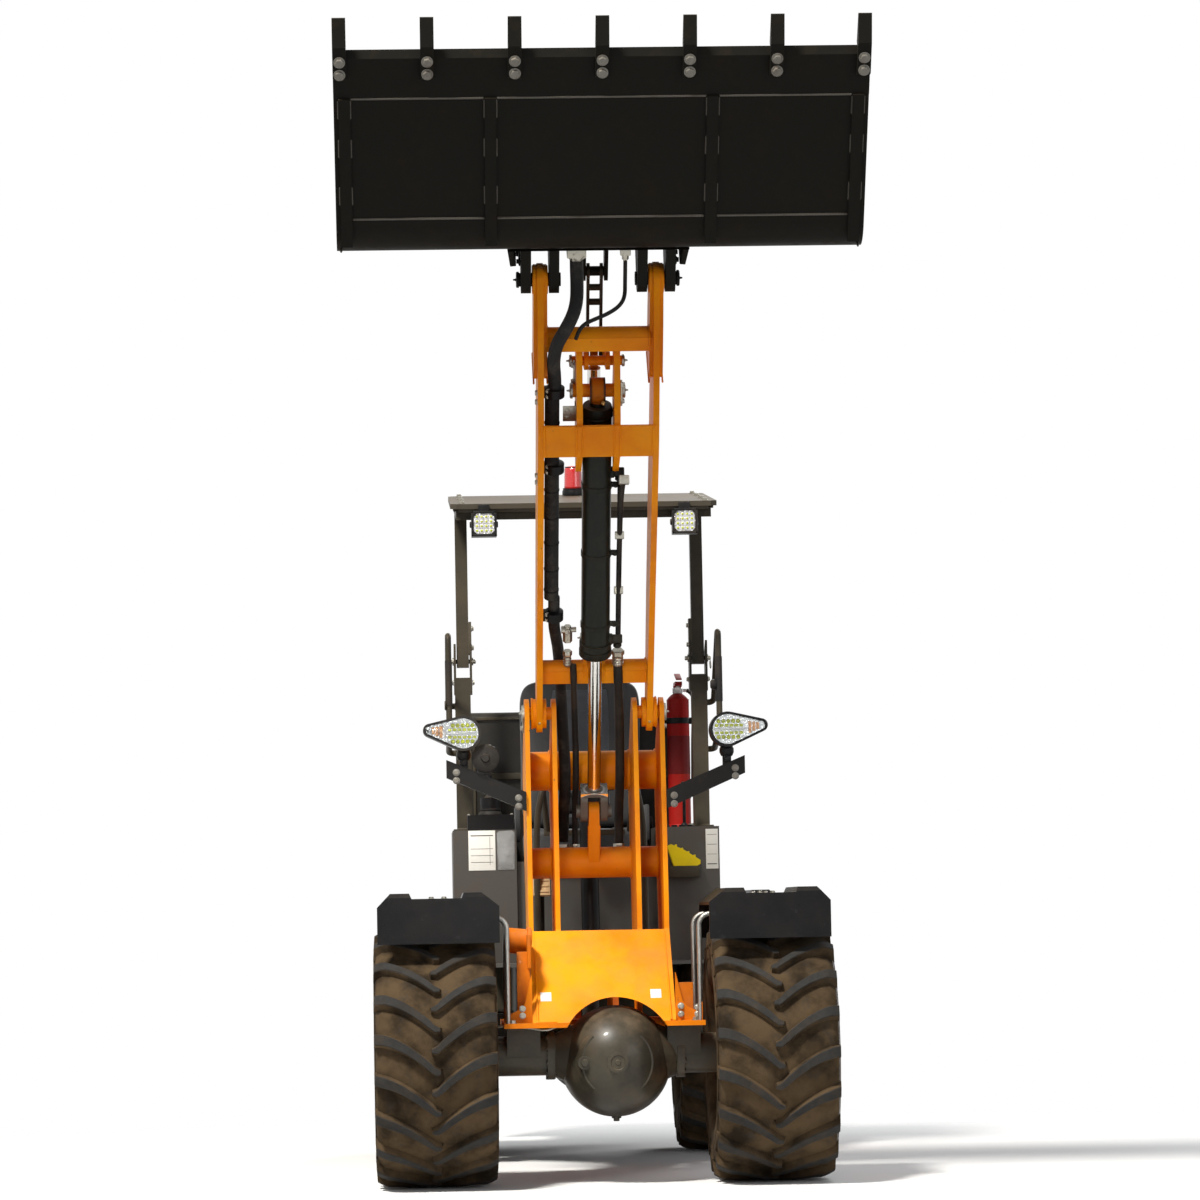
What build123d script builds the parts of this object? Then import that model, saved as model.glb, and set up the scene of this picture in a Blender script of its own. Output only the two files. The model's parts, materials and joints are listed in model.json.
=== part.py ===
from build123d import *
import math
import os

# Compact articulated wheel loader with a raised loader arm, a toothed bucket and a folding
# two-post canopy.  Millimetres, +Z up, the machine's front faces -Y and +X is its left side.
# The origin is on the ground, below the middle of the whole machine.

# ---------------------------------------------------------------- driving dimensions
# stations along the machine: "back" values are measured from the front axle
FRONT_AXLE_Y = -804.0
AXLE_TO_PIVOT = 965.0
PIVOT_TO_REAR_AXLE = 965.0

# wheels: 15.0/55-17 industrial tyres
TYRE_RADIUS = 425.0
TYRE_WIDTH = 400.0
TRACK = 1110.0
LUG_HEIGHT = 24.0
RIM_RADIUS = 216.0
RIM_WIDTH = 330.0
RIM_WALL = 10.0
HUB_RADIUS = 95.0

# axles
AXLE_TUBE_RADIUS = 66.0
DIFF_RADIUS = 184.0
DIFF_OFFSET = 40.0
DIFF_DROP = 22.0
CONE_REACH = 215.0
BOSS_RADIUS = 34.0
PLUG_RADIUS = 22.0
PLUG_OFFSET = 108.0
ARCH_RADIUS = 190.0

# front frame and loader tower
DECK_Z = 536.0
DECK_THICKNESS = 16.0
DECK_HALF_WIDTH = 330.0
DECK_FRONT_BACK = -180.0
DECK_REAR_BACK = 470.0
GUSSET_HEIGHT = 165.0
NECK_HALF_WIDTH = 75.0
NECK_LUG_RADIUS = 68.0
NECK_LUG_THICKNESS = 40.0
NECK_LOW_Z = 380.0
NECK_HIGH_Z = 620.0
PIVOT_PIN_RADIUS = 30.0
ARM_PIVOT_BACK = 250.0
ARM_PIVOT_Z = 1570.0
TOWER_PLATE = 16.0
TOWER_OUTER_X = 228.0
TOWER_INNER_X = 137.0
TOWER_HEAD_RADIUS = 55.0
BIG_TUBE_BACK = 520.0
BIG_TUBE_Z = 1383.0
BIG_TUBE_RADIUS = 67.0
LOW_TUBE_BACK = 490.0
LOW_TUBE_Z = 1066.0
LOW_TUBE_RADIUS = 53.0
CLEVIS_LUG_THICKNESS = 36.0
CLEVIS_LUG_RADIUS = 32.0
APRON_TOP_BACK = 150.0
APRON_TOP_Z = 835.0
APRON_FOOT_BACK = -150.0
APRON_PLATE = 14.0

# loader arm: distances along the arm run from its pivot to the bucket pin
ARM_LENGTH = 1628.0
ARM_PITCH = 56.0
ARM_PLATE = 20.0
ARM_X = 186.0
ARM_HEAD_PLATE = 50.0
ARM_INNER_X = 61.0
ARM_INNER_PLATE = 20.0
PIN_RADIUS = 22.0
LIFT_EYE_BEFORE = 378.0
LIFT_EYE_BELOW = 45.0

# lift cylinder
CLEVIS_BACK = 400.0
CLEVIS_Z = 1240.0
LIFT_BARREL_RADIUS = 48.0
LIFT_BARREL_LENGTH = 985.0
LIFT_ROD_RADIUS = 22.5
CLEVIS_EAR = 24.0

# tilt linkage: a parallelogram of arm, lever, link and coupler
LEVER_PIVOT_BEFORE = 298.0
LEVER_PIVOT_UP = 10.0
LEVER_LENGTH = 220.0
LEVER_ANGLE = 109.0
LEVER_PLATE = 14.0
LEVER_X = 35.0
LINK_PLATE = 10.0
LINK_X = 21.5
TILT_BASE_ALONG = 260.0
TILT_BASE_UP = 60.0
TILT_BARREL_RADIUS = 36.0
TILT_BARREL_LENGTH = 745.0
TILT_ROD_RADIUS = 22.0
TILT_EYE_WIDTH = 25.0

# bucket and coupler
BUCKET_WIDTH = 1660.0
BUCKET_PITCH = 57.0
BUCKET_FLOOR = 714.0
BUCKET_BACK = 560.0
BUCKET_HEEL = 120.0
BUCKET_SHEET = 12.0
PIN_ABOVE_FLOOR = 165.0
PIN_BEHIND_BACK = 140.0
EDGE_LENGTH = 157.0
EDGE_PLATE = 20.0
TOOTH_REACH = 105.0
TOOTH_COUNT = 7
TOOTH_WIDTH = 42.0
COUPLER_HALF_WIDTH = 289.0
COUPLER_PLATE = 16.0

# canopy
POST_BACK = 1330.0
POST_X = 428.0
UPPER_POST = 44.0
LOWER_POST = 56.0
FOLD_Z = 1812.0
LATCH_RISE = 63.0
ROOF_WIDTH = 940.0
ROOF_FRONT_BACK = 770.0
ROOF_REAR_BACK = 1540.0
ROOF_FRONT_Z = 2335.0
ROOF_PITCH = 7.5
ROOF_PLATE = 18.0
WORK_LAMP = 88.0

# operator's place and rear body
FLOOR_Z = 720.0
CONSOLE_FRONT_BACK = 1085.0
CONSOLE_REAR_BACK = 1600.0
CONSOLE_HALF_WIDTH = 476.0
CONSOLE_INNER_X = 250.0
CONSOLE_TOP_Z = 1195.0
SEAT_FRONT_BACK = 1060.0
SEAT_REAR_BACK = 1560.0
SEAT_WIDTH = 450.0
SEAT_Z = 1200.0
SEAT_CUSHION = 120.0
SEAT_TOP_Z = 1745.0
HOOD_FRONT_BACK = 1630.0
HOOD_REAR_BACK = 2800.0
HOOD_HALF_WIDTH = 410.0
HOOD_TOP_Z = 1640.0
HOOD_SILL_Z = 1010.0
HOOD_SHEET = 12.0
HINGE_RADIUS = 12.0
LOUVRE_COUNT = 7
LOUVRE_PITCH = 38.0
WEIGHT_REAR_BACK = 2860.0
WEIGHT_LOW_Z = 430.0
ENGINE_WIDTH = 400.0
ENGINE_LENGTH = 720.0
ENGINE_HEIGHT = 570.0
ENGINE_LOW_Z = 605.0

# clearances
PIN_CLEAR = 0.3
SIDE_CLEAR = 4.0

# ---------------------------------------------------------------- derived places
AXLE_Z = TYRE_RADIUS
PIVOT_Y = FRONT_AXLE_Y + AXLE_TO_PIVOT
REAR_AXLE_Y = PIVOT_Y + PIVOT_TO_REAR_AXLE
SIDES = (("left", 1), ("right", -1))

os.makedirs("parts", exist_ok=True)


def back(distance):
    """Y of a place this far behind the front axle."""
    return FRONT_AXLE_Y + distance


def side(x=0.0):
    """Lengthwise plane at x: sketch coordinates are Y and Z."""
    return Plane(origin=(x, 0, 0), x_dir=(0, 1, 0), z_dir=(1, 0, 0))


def across(y=0.0):
    """Crosswise plane at y, seen from the front: sketch coordinates are X and Z."""
    return Plane(origin=(0, y, 0), x_dir=(1, 0, 0), z_dir=(0, -1, 0))


def along(start, pitch, x=0.0):
    """Lengthwise plane at a point: sketch X runs forward and up at pitch, sketch Y up from it."""
    angle = math.radians(pitch)
    return Plane(
        origin=(x, start.Y, start.Z),
        x_dir=(0, -math.cos(angle), math.sin(angle)),
        z_dir=(-1, 0, 0),
    )


def outline(plane, points, radius=0.0):
    """A closed straight-sided outline, its corners rounded by one radius or by a list."""
    with BuildSketch(plane) as profile:
        with BuildLine():
            if radius:
                FilletPolyline(*points, radius=radius, close=True)
            else:
                Polyline(*points, close=True)
        make_face()
    return profile.sketch


def strap(plane, length, radius, start_radius=0.0):
    """A bar from the plane's origin along its X axis, with round ends."""
    first = start_radius or radius
    with BuildSketch(plane) as profile:
        Circle(first)
        with Locations((length, 0)):
            Circle(radius)
        make_hull()
    return profile.sketch


def plate(face, thickness, mode=Mode.ADD):
    """A flat plate, half its thickness on each side of its outline."""
    return extrude(face, amount=thickness / 2, both=True, mode=mode)


def crosswise(at, radius, length, mode=Mode.ADD, x=0.0):
    """A cylinder along X through a point of the lengthwise plane."""
    with Locations(Location((x, at.Y, at.Z), (0, 90, 0))):
        return Cylinder(radius, length, mode=mode)


def lengthwise(start, direction, radius, length, mode=Mode.ADD):
    """A cylinder that starts at a point and runs along a direction."""
    with Locations(Plane(origin=start, z_dir=direction).location):
        return Cylinder(
            radius, length, align=(Align.CENTER, Align.CENTER, Align.MIN), mode=mode
        )


def block(size, at, mode=Mode.ADD, turn=(0, 0, 0)):
    """A box about its centre."""
    with Locations(Location(at, turn)):
        return Box(*size, mode=mode)


def save(builder, name):
    """Label a finished piece and write its file."""
    builder.part.label = name
    export_step(builder.part, f"parts/{name}.step")


# ---------------------------------------------------------------- linkage points
ARM_PIVOT = Vector(0, back(ARM_PIVOT_BACK), ARM_PIVOT_Z)
CLEVIS = Vector(0, back(CLEVIS_BACK), CLEVIS_Z)
BIG_TUBE = Vector(0, back(BIG_TUBE_BACK), BIG_TUBE_Z)
LOW_TUBE = Vector(0, back(LOW_TUBE_BACK), LOW_TUBE_Z)
ARM_PLANE = along(ARM_PIVOT, ARM_PITCH)


def on_arm(distance, up=0.0):
    """A point this far along the arm and this far above its line."""
    return ARM_PLANE.from_local_coords(Vector(distance, up, 0))


BUCKET_PIN = on_arm(ARM_LENGTH)
LIFT_EYE = on_arm(ARM_LENGTH - LIFT_EYE_BEFORE, -LIFT_EYE_BELOW)
LEVER_PIVOT = on_arm(ARM_LENGTH - LEVER_PIVOT_BEFORE, LEVER_PIVOT_UP)
LEVER_TURN = math.radians(LEVER_ANGLE)
LEVER_REACH = (LEVER_LENGTH * math.cos(LEVER_TURN), LEVER_LENGTH * math.sin(LEVER_TURN))
LEVER_TIP = on_arm(
    ARM_LENGTH - LEVER_PIVOT_BEFORE + LEVER_REACH[0], LEVER_PIVOT_UP + LEVER_REACH[1]
)
COUPLER_EYE = on_arm(ARM_LENGTH + LEVER_REACH[0], LEVER_REACH[1])
TILT_BASE = on_arm(TILT_BASE_ALONG, TILT_BASE_UP)


# ---------------------------------------------------------------- wheels
HALF_TYRE = TYRE_WIDTH / 2
GROOVE_RADIUS = TYRE_RADIUS - LUG_HEIGHT
BEAD_X = RIM_WIDTH / 2
WHEELS = (
    # name, axle's Y, side
    ("front_left", FRONT_AXLE_Y, 1),
    ("front_right", FRONT_AXLE_Y, -1),
    ("rear_left", REAR_AXLE_Y, 1),
    ("rear_right", REAR_AXLE_Y, -1),
)
# herringbone bars, in degrees round the axle; one of them touches the ground
BAR_COUNT = 19
BAR_PITCH = 360 / BAR_COUNT
BAR_FLANK = 0.9
BAR_TOP = 4.0
BAR_END = 2 * BAR_FLANK + BAR_TOP
NOSE_LEAN = 2.2
SHOULDER_LEAN = 15.3
FIRST_BAR = -90 - NOSE_LEAN - BAR_FLANK
# tyre rings: distance from the middle, the bars' lean, corners of each bar as degrees and radius
BEAD_TURN = BAR_END / 2 - BAR_PITCH / 4
BEAD_RADIUS = RIM_RADIUS + 2
WALL_RADIUS = TYRE_RADIUS - 73


def bar_corners(groove, top):
    """Corners of one bar: up its flank, over its top and down again."""
    return (
        (0, groove),
        (BAR_FLANK, top),
        (BAR_FLANK + BAR_TOP, top),
        (BAR_END, groove),
    )


TYRE_RINGS = (
    (
        BEAD_X - RIM_WALL,
        SHOULDER_LEAN,
        ((BEAD_TURN, BEAD_RADIUS), (BEAD_TURN + BAR_PITCH / 2, BEAD_RADIUS)),
    ),
    (
        HALF_TYRE,
        SHOULDER_LEAN,
        ((BAR_FLANK / 2, WALL_RADIUS), (BAR_END - BAR_FLANK / 2, WALL_RADIUS)),
    ),
    (HALF_TYRE - 14, SHOULDER_LEAN, bar_corners(GROOVE_RADIUS - 16, TYRE_RADIUS - 10)),
    (0.52 * HALF_TYRE, 10.5, bar_corners(GROOVE_RADIUS, TYRE_RADIUS - 1)),
    (0.07 * HALF_TYRE, NOSE_LEAN, bar_corners(GROOVE_RADIUS, TYRE_RADIUS)),
)


def tyre_ring(hand, x, lean, corners):
    """Points round the axle; the right half's bars come half a pitch after the left half's."""
    late = 0 if hand > 0 else BAR_PITCH / 2
    points = []
    for bar in range(BAR_COUNT):
        for degrees, radius in corners:
            turn = math.radians(FIRST_BAR + lean + late + bar * BAR_PITCH + degrees)
            points.append(Vector(hand * x, -radius * math.cos(turn), radius * math.sin(turn)))
    shift = 0 if hand > 0 else len(corners) // 2
    return points[len(points) - shift :] + points[: len(points) - shift]


def tyre_strip(first, second):
    """Triangles between two rings, of which one may have twice the points."""
    count = max(len(first), len(second))
    faces = []
    for n in range(count):
        a = first[n * len(first) // count]
        a_next = first[(n + 1) * len(first) // count % len(first)]
        b = second[n * len(second) // count]
        b_next = second[(n + 1) * len(second) // count % len(second)]
        if b is not b_next:
            faces.append(Face(Wire.make_polygon([a, b, b_next])))
        if a is not a_next:
            faces.append(Face(Wire.make_polygon([a, b_next, a_next])))
    return faces


right_rings = [tyre_ring(-1, *row) for row in TYRE_RINGS]
left_rings = [tyre_ring(1, *row) for row in TYRE_RINGS]
# the halves meet in a groove under the bars' noses
middle_ring = [
    Vector(0, left.Y + right.Y, left.Z + right.Z).normalized() * GROOVE_RADIUS
    for left, right in zip(left_rings[-1], right_rings[-1])
]
tyre_rings = [*right_rings, middle_ring, *reversed(left_rings), right_rings[0]]
tyre_faces = []
for first, second in zip(tyre_rings, tyre_rings[1:]):
    tyre_faces.extend(tyre_strip(first, second))
tyre_solid = Solid(Shell(tyre_faces))
HUB_FACE = 18.0
RIM_DISC = 12.0

for name, axle_y, hand in WHEELS:
    centre = Vector(hand * TRACK / 2, axle_y, AXLE_Z)
    # the section's sketch runs along the axle and out from it
    section_plane = Plane(origin=centre, x_dir=(hand, 0, 0), z_dir=(0, -hand, 0))
    axle_line = Axis(origin=centre, direction=(1, 0, 0))
    with BuildPart() as tyre:
        add(tyre_solid.moved(Location(centre)))
    save(tyre, f"{name}_tyre")

    with BuildPart() as rim:
        with BuildSketch(section_plane):
            with BuildLine():
                Polyline(
                    (-BEAD_X, RIM_RADIUS),
                    (BEAD_X, RIM_RADIUS),
                    (BEAD_X, RIM_RADIUS - RIM_WALL),
                    (HUB_FACE + RIM_DISC, RIM_RADIUS - RIM_WALL - 14),
                    (HUB_FACE + RIM_DISC, 0),
                    (HUB_FACE, 0),
                    (HUB_FACE, RIM_RADIUS - RIM_WALL - 14),
                    (-BEAD_X, RIM_RADIUS - RIM_WALL),
                    close=True,
                )
            make_face()
        revolve(axis=axle_line)
        cap_start = centre + Vector(hand * (HUB_FACE + RIM_DISC), 0, 0)
        lengthwise(cap_start, (hand, 0, 0), HUB_RADIUS * 0.8, 55)
    save(rim, f"{name}_rim")

# ---------------------------------------------------------------- axles
HUB_END = TRACK / 2 + HUB_FACE - SIDE_CLEAR / 2
PAD_TOP = DECK_Z - DECK_THICKNESS
for name, axle_y, way in (("front_axle", FRONT_AXLE_Y, -1), ("rear_axle", REAR_AXLE_Y, 1)):
    axle_centre = Vector(0, axle_y, AXLE_Z)
    with BuildPart() as axle:
        crosswise(axle_centre, AXLE_TUBE_RADIUS, 2 * (HUB_END - 110))
        for _, hand in SIDES:
            crosswise(axle_centre, HUB_RADIUS, 110, x=hand * (HUB_END - 55))
            block((110, 150, PAD_TOP - AXLE_Z), (hand * 265, axle_y, (PAD_TOP + AXLE_Z) / 2))
        diff = Vector(DIFF_OFFSET, axle_y, AXLE_Z - DIFF_DROP)
        with Locations(diff):
            Sphere(DIFF_RADIUS)
        # cast cones run from the ball out to the tubes, with a flange where the tubes bolt on
        for cone_way in (-1, 1):
            with Locations(Plane(origin=(DIFF_OFFSET, axle_y, AXLE_Z), z_dir=(cone_way, 0, 0)).location):
                Cone(
                    DIFF_RADIUS - DIFF_DROP,
                    AXLE_TUBE_RADIUS,
                    CONE_REACH,
                    align=(Align.CENTER, Align.CENTER, Align.MIN),
                )
            crosswise(axle_centre, AXLE_TUBE_RADIUS + 14, 22, x=DIFF_OFFSET + cone_way * CONE_REACH)
        lengthwise(Vector(DIFF_OFFSET, axle_y, AXLE_Z), (0, -way, 0), 80, 330)
        # raised boss and filler plug on the outer face, and a drain plug below
        lengthwise(diff, (0, way, 0), BOSS_RADIUS, DIFF_RADIUS + 4)
        plug_depth = math.sqrt(DIFF_RADIUS**2 - PLUG_OFFSET**2)
        lengthwise(diff - Vector(PLUG_OFFSET, 0, 0), (0, way, 0), PLUG_RADIUS, plug_depth + 10)
        lengthwise(diff, (0, 0, -1), PLUG_RADIUS - 6, DIFF_RADIUS + 5)
    save(axle, name)

# ---------------------------------------------------------------- front frame
NECK_PLATE = 20.0
ARCH_START = Vector(DIFF_OFFSET, back(DECK_FRONT_BACK - 20), AXLE_Z)
ARCH_LENGTH = 420.0
STEER_X = 190.0
STEER_BACK = 320.0
STEER_Z = 480.0
STEER_PIN = 14.0
STEER_EYE = 30.0
STEER_PLATE = 12.0
STEER_EYE_HEIGHT = 34.0
STEER_FORK_STEP = STEER_EYE_HEIGHT / 2 + 3 + STEER_PLATE / 2
STEER_REAR = Vector(STEER_X, PIVOT_Y + STEER_BACK, STEER_Z)
STEER_FRONT = Vector(STEER_X, PIVOT_Y - STEER_BACK, STEER_Z)
DECK_MID_Z = DECK_Z - DECK_THICKNESS / 2
DECK_LENGTH = DECK_REAR_BACK - DECK_FRONT_BACK
NECK_START_BACK = 330.0
NECK_END_BACK = AXLE_TO_PIVOT - 100
with BuildPart() as front_chassis:
    block(
        (2 * DECK_HALF_WIDTH, DECK_LENGTH, DECK_THICKNESS),
        (0, back(DECK_FRONT_BACK + DECK_LENGTH / 2), DECK_MID_Z),
    )
    for _, hand in SIDES:
        web = outline(
            side(hand * (NECK_HALF_WIDTH - NECK_PLATE / 2)),
            [
                (back(DECK_REAR_BACK - 60), DECK_Z - DECK_THICKNESS),
                (back(DECK_REAR_BACK), NECK_HIGH_Z + NECK_LUG_THICKNESS / 2),
                (back(NECK_END_BACK), NECK_HIGH_Z + NECK_LUG_THICKNESS / 2),
                (back(NECK_END_BACK), NECK_LOW_Z - NECK_LUG_THICKNESS / 2),
                (back(NECK_START_BACK), NECK_LOW_Z - NECK_LUG_THICKNESS / 2),
                (back(NECK_START_BACK), DECK_Z - DECK_THICKNESS),
            ],
        )
        plate(web, NECK_PLATE)
    for lug_z in (NECK_LOW_Z, NECK_HIGH_Z):
        with BuildSketch(Plane.XY.offset(lug_z)):
            with Locations((0, PIVOT_Y)):
                Circle(NECK_LUG_RADIUS)
            with Locations((0, back(NECK_END_BACK - 60))):
                Rectangle(2 * NECK_HALF_WIDTH, 120)
            make_hull()
            with Locations((0, PIVOT_Y)):
                Circle(PIVOT_PIN_RADIUS + PIN_CLEAR, mode=Mode.SUBTRACT)
        extrude(amount=NECK_LUG_THICKNESS / 2, both=True)
    # fork for the steering cylinder's rod, under the deck's rear corner
    for way in (-1, 1):
        with BuildSketch(Plane.XY.offset(STEER_FRONT.Z + way * STEER_FORK_STEP)):
            with Locations((STEER_X, STEER_FRONT.Y)):
                Circle(STEER_EYE)
            with Locations((STEER_X, back(DECK_REAR_BACK - 25))):
                Rectangle(90, 50)
            make_hull()
        extrude(amount=STEER_PLATE / 2, both=True)
    fork_low = STEER_Z - STEER_FORK_STEP - STEER_PLATE / 2
    fork_high = DECK_Z - DECK_THICKNESS
    block(
        (90, 50, fork_high - fork_low),
        (STEER_X, back(DECK_REAR_BACK - 25), (fork_high + fork_low) / 2),
    )
    # the pin's ends show outside the fork
    for way in (-1, 1):
        pin_face = STEER_FRONT + Vector(0, 0, way * (STEER_FORK_STEP + STEER_PLATE / 2))
        lengthwise(pin_face, (0, 0, way), STEER_PIN, 10)
    # the deck is arched over the differential
    lengthwise(ARCH_START, (0, 1, 0), ARCH_RADIUS, ARCH_LENGTH, Mode.SUBTRACT)
    # curved gussets stand on the deck's front corners, outside the tower
    for _, hand in SIDES:
        root = hand * (TOWER_OUTER_X + TOWER_PLATE / 2)
        tip = hand * (DECK_HALF_WIDTH - 6)
        gusset = outline(
            across(back(DECK_FRONT_BACK + 60)),
            (
                (root, DECK_Z - 4),
                (tip, DECK_Z - 4),
                (tip, DECK_Z + 22),
                (root + hand * 26, DECK_Z + 52),
                (root, DECK_Z + GUSSET_HEIGHT),
            ),
            [1, 1, 8, 40, 1],
        )
        plate(gusset, APRON_PLATE)
save(front_chassis, "front_chassis")

# ---------------------------------------------------------------- loader tower
TOWER_FOOT_FRONT = -130.0
TOWER_FOOT_REAR = 440.0
TOWER_SHAPE = (
    (back(TOWER_FOOT_FRONT), DECK_Z),
    (back(TOWER_FOOT_REAR), DECK_Z),
    (back(LOW_TUBE_BACK + 70), LOW_TUBE_Z),
    (back(BIG_TUBE_BACK + 90), BIG_TUBE_Z),
    (back(ARM_PIVOT_BACK + 30), ARM_PIVOT_Z + TOWER_HEAD_RADIUS),
    (back(ARM_PIVOT_BACK - TOWER_HEAD_RADIUS), ARM_PIVOT_Z + 30),
    (back(ARM_PIVOT_BACK - TOWER_HEAD_RADIUS), ARM_PIVOT_Z - 60),
    (back(APRON_TOP_BACK), APRON_TOP_Z + 120),
    (back(APRON_TOP_BACK), APRON_TOP_Z),
)
TOWER_ROUND = [20, 20, 80, 60, 50, 40, 60, 40, 20]
with BuildPart() as tower:
    for _, hand in SIDES:
        for x in (TOWER_OUTER_X, TOWER_INNER_X):
            plate(outline(side(hand * x), TOWER_SHAPE, TOWER_ROUND), TOWER_PLATE)
    crosswise(BIG_TUBE, BIG_TUBE_RADIUS, 2 * TOWER_OUTER_X)
    crosswise(LOW_TUBE, LOW_TUBE_RADIUS, 2 * TOWER_OUTER_X)
    lug = strap(
        Plane(origin=CLEVIS, x_dir=(LOW_TUBE - CLEVIS).normalized(), z_dir=(1, 0, 0)),
        (LOW_TUBE - CLEVIS).length,
        LOW_TUBE_RADIUS - 4,
        CLEVIS_LUG_RADIUS,
    )
    plate(lug, CLEVIS_LUG_THICKNESS)
    crosswise(LOW_TUBE, LOW_TUBE_RADIUS, 2 * TOWER_OUTER_X)
    apron = outline(
        side(),
        (
            (back(APRON_FOOT_BACK), DECK_Z),
            (back(APRON_TOP_BACK), APRON_TOP_Z),
            (back(APRON_TOP_BACK + APRON_PLATE), APRON_TOP_Z),
            (back(APRON_FOOT_BACK + APRON_PLATE), DECK_Z),
        ),
    )
    plate(apron, 2 * TOWER_OUTER_X + TOWER_PLATE)
    for _, hand in SIDES:
        start = Vector(hand * (TOWER_INNER_X - TOWER_PLATE / 2), ARM_PIVOT.Y, ARM_PIVOT.Z)
        pin_length = TOWER_OUTER_X - TOWER_INNER_X + TOWER_PLATE
        lengthwise(start, (hand, 0, 0), PIN_RADIUS, pin_length)
    lengthwise(ARCH_START, (0, 1, 0), ARCH_RADIUS, ARCH_LENGTH, Mode.SUBTRACT)
save(tower, "loader_tower")

# ---------------------------------------------------------------- loader arm
HEAD_RADIUS = 50.0
FOOT_RADIUS = 60.0
# side plate's outline: along the arm, up from its line
ARM_SHAPE = (
    (-FOOT_RADIUS, -FOOT_RADIUS),
    (0.25 * ARM_LENGTH, -95),
    (ARM_LENGTH - 508, -162),
    (ARM_LENGTH - 128, -105),
    (ARM_LENGTH + HEAD_RADIUS, -HEAD_RADIUS),
    (ARM_LENGTH + HEAD_RADIUS, HEAD_RADIUS),
    (ARM_LENGTH - 298, 70),
    (0.25 * ARM_LENGTH, 85),
    (-FOOT_RADIUS, FOOT_RADIUS),
)
ARM_ROUND = [55, 400, 300, 200, 45, 45, 300, 400, 55]
# inner plate's outline: before the bucket pin, up from the arm's line
INNER_SHAPE = (
    (668, -60),
    (568, -150),
    (428, -150),
    (198, -60),
    (188, 35),
    (248, 48),
    (298, -10),
    (378, 12),
    (548, -8),
)
TOP_MEMBER = (ARM_LENGTH - 176, -62.0)
MID_MEMBER = (ARM_LENGTH - 506, -154.0)
LOW_MEMBER = (150.0, 37.0)
MEMBER_RADIUS = 33.0
DOUBLER_PLATE = 12.0
DOUBLER_STEP = (ARM_PLATE + DOUBLER_PLATE) / 2
# outline of the plates that double the arm's head
HEAD_DOUBLER = (
    (ARM_LENGTH - 330, -95),
    (ARM_LENGTH - 128, -82),
    (ARM_LENGTH + HEAD_RADIUS - 3, -HEAD_RADIUS + 3),
    (ARM_LENGTH + HEAD_RADIUS - 3, HEAD_RADIUS - 3),
    (ARM_LENGTH - 290, 58),
)
DOUBLER_ROUND = [30, 100, 42, 42, 30]
FOOT_BOSS = 48.0
SPAN = 2 * ARM_X
with BuildPart() as arm:
    for _, hand in SIDES:
        face = outline(ARM_PLANE.offset(-hand * ARM_X), ARM_SHAPE, ARM_ROUND)
        plate(face, ARM_PLATE)
        inner_points = [(ARM_LENGTH - before, up) for before, up in INNER_SHAPE]
        inner = outline(ARM_PLANE.offset(-hand * ARM_INNER_X), inner_points)
        plate(inner, ARM_INNER_PLATE)
        # plates doubled at the head
        for x in (ARM_X - DOUBLER_STEP, ARM_X + DOUBLER_STEP):
            doubler = outline(ARM_PLANE.offset(-hand * x), HEAD_DOUBLER, DOUBLER_ROUND)
            plate(doubler, DOUBLER_PLATE)
    crosswise(on_arm(*TOP_MEMBER), MEMBER_RADIUS, SPAN)
    crosswise(on_arm(*LOW_MEMBER), MEMBER_RADIUS, SPAN)
    # a formed lip closes the front of each round member
    for distance, up in (TOP_MEMBER, LOW_MEMBER):
        lip = outline(
            ARM_PLANE,
            (
                (distance - MEMBER_RADIUS - 4, up - MEMBER_RADIUS),
                (distance + 10, up - MEMBER_RADIUS),
                (distance + 10, up - MEMBER_RADIUS + 10),
                (distance - MEMBER_RADIUS - 4, up - MEMBER_RADIUS + 10),
            ),
        )
        plate(lip, SPAN)
    mid = outline(
        ARM_PLANE,
        (
            (MID_MEMBER[0] - 55, MID_MEMBER[1] - 6),
            (MID_MEMBER[0] + 55, MID_MEMBER[1] - 6),
            (MID_MEMBER[0] + 55, MID_MEMBER[1] + 6),
            (MID_MEMBER[0] - 55, MID_MEMBER[1] + 6),
        ),
    )
    plate(mid, SPAN)
    for _, hand in SIDES:
        crosswise(ARM_PIVOT, 50, FOOT_BOSS, x=hand * ARM_X)
        crosswise(BUCKET_PIN, HEAD_RADIUS - 4, ARM_HEAD_PLATE, x=hand * ARM_X)
    # eyes and pins
    for _, hand in SIDES:
        crosswise(ARM_PIVOT, PIN_RADIUS + PIN_CLEAR, FOOT_BOSS, Mode.SUBTRACT, hand * ARM_X)
        crosswise(
            BUCKET_PIN, PIN_RADIUS + PIN_CLEAR, ARM_HEAD_PLATE, Mode.SUBTRACT, hand * ARM_X
        )
    inner_gap = 2 * (ARM_INNER_X + ARM_INNER_PLATE / 2)
    crosswise(LIFT_EYE, PIN_RADIUS, inner_gap + 20)
    crosswise(LEVER_PIVOT, 16, inner_gap + 20)
    # ears for the tilt cylinder, on the low member
    for _, hand in SIDES:
        ear_start = on_arm(*LOW_MEMBER)
        ear_way = TILT_BASE - ear_start
        ear = strap(
            Plane(
                origin=ear_start + Vector(hand * 30, 0, 0),
                x_dir=ear_way.normalized(),
                z_dir=(-1, 0, 0),
            ),
            ear_way.length,
            24,
        )
        plate(ear, 12)
    crosswise(TILT_BASE, 14, 72)
save(arm, "lift_arm")

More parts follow.
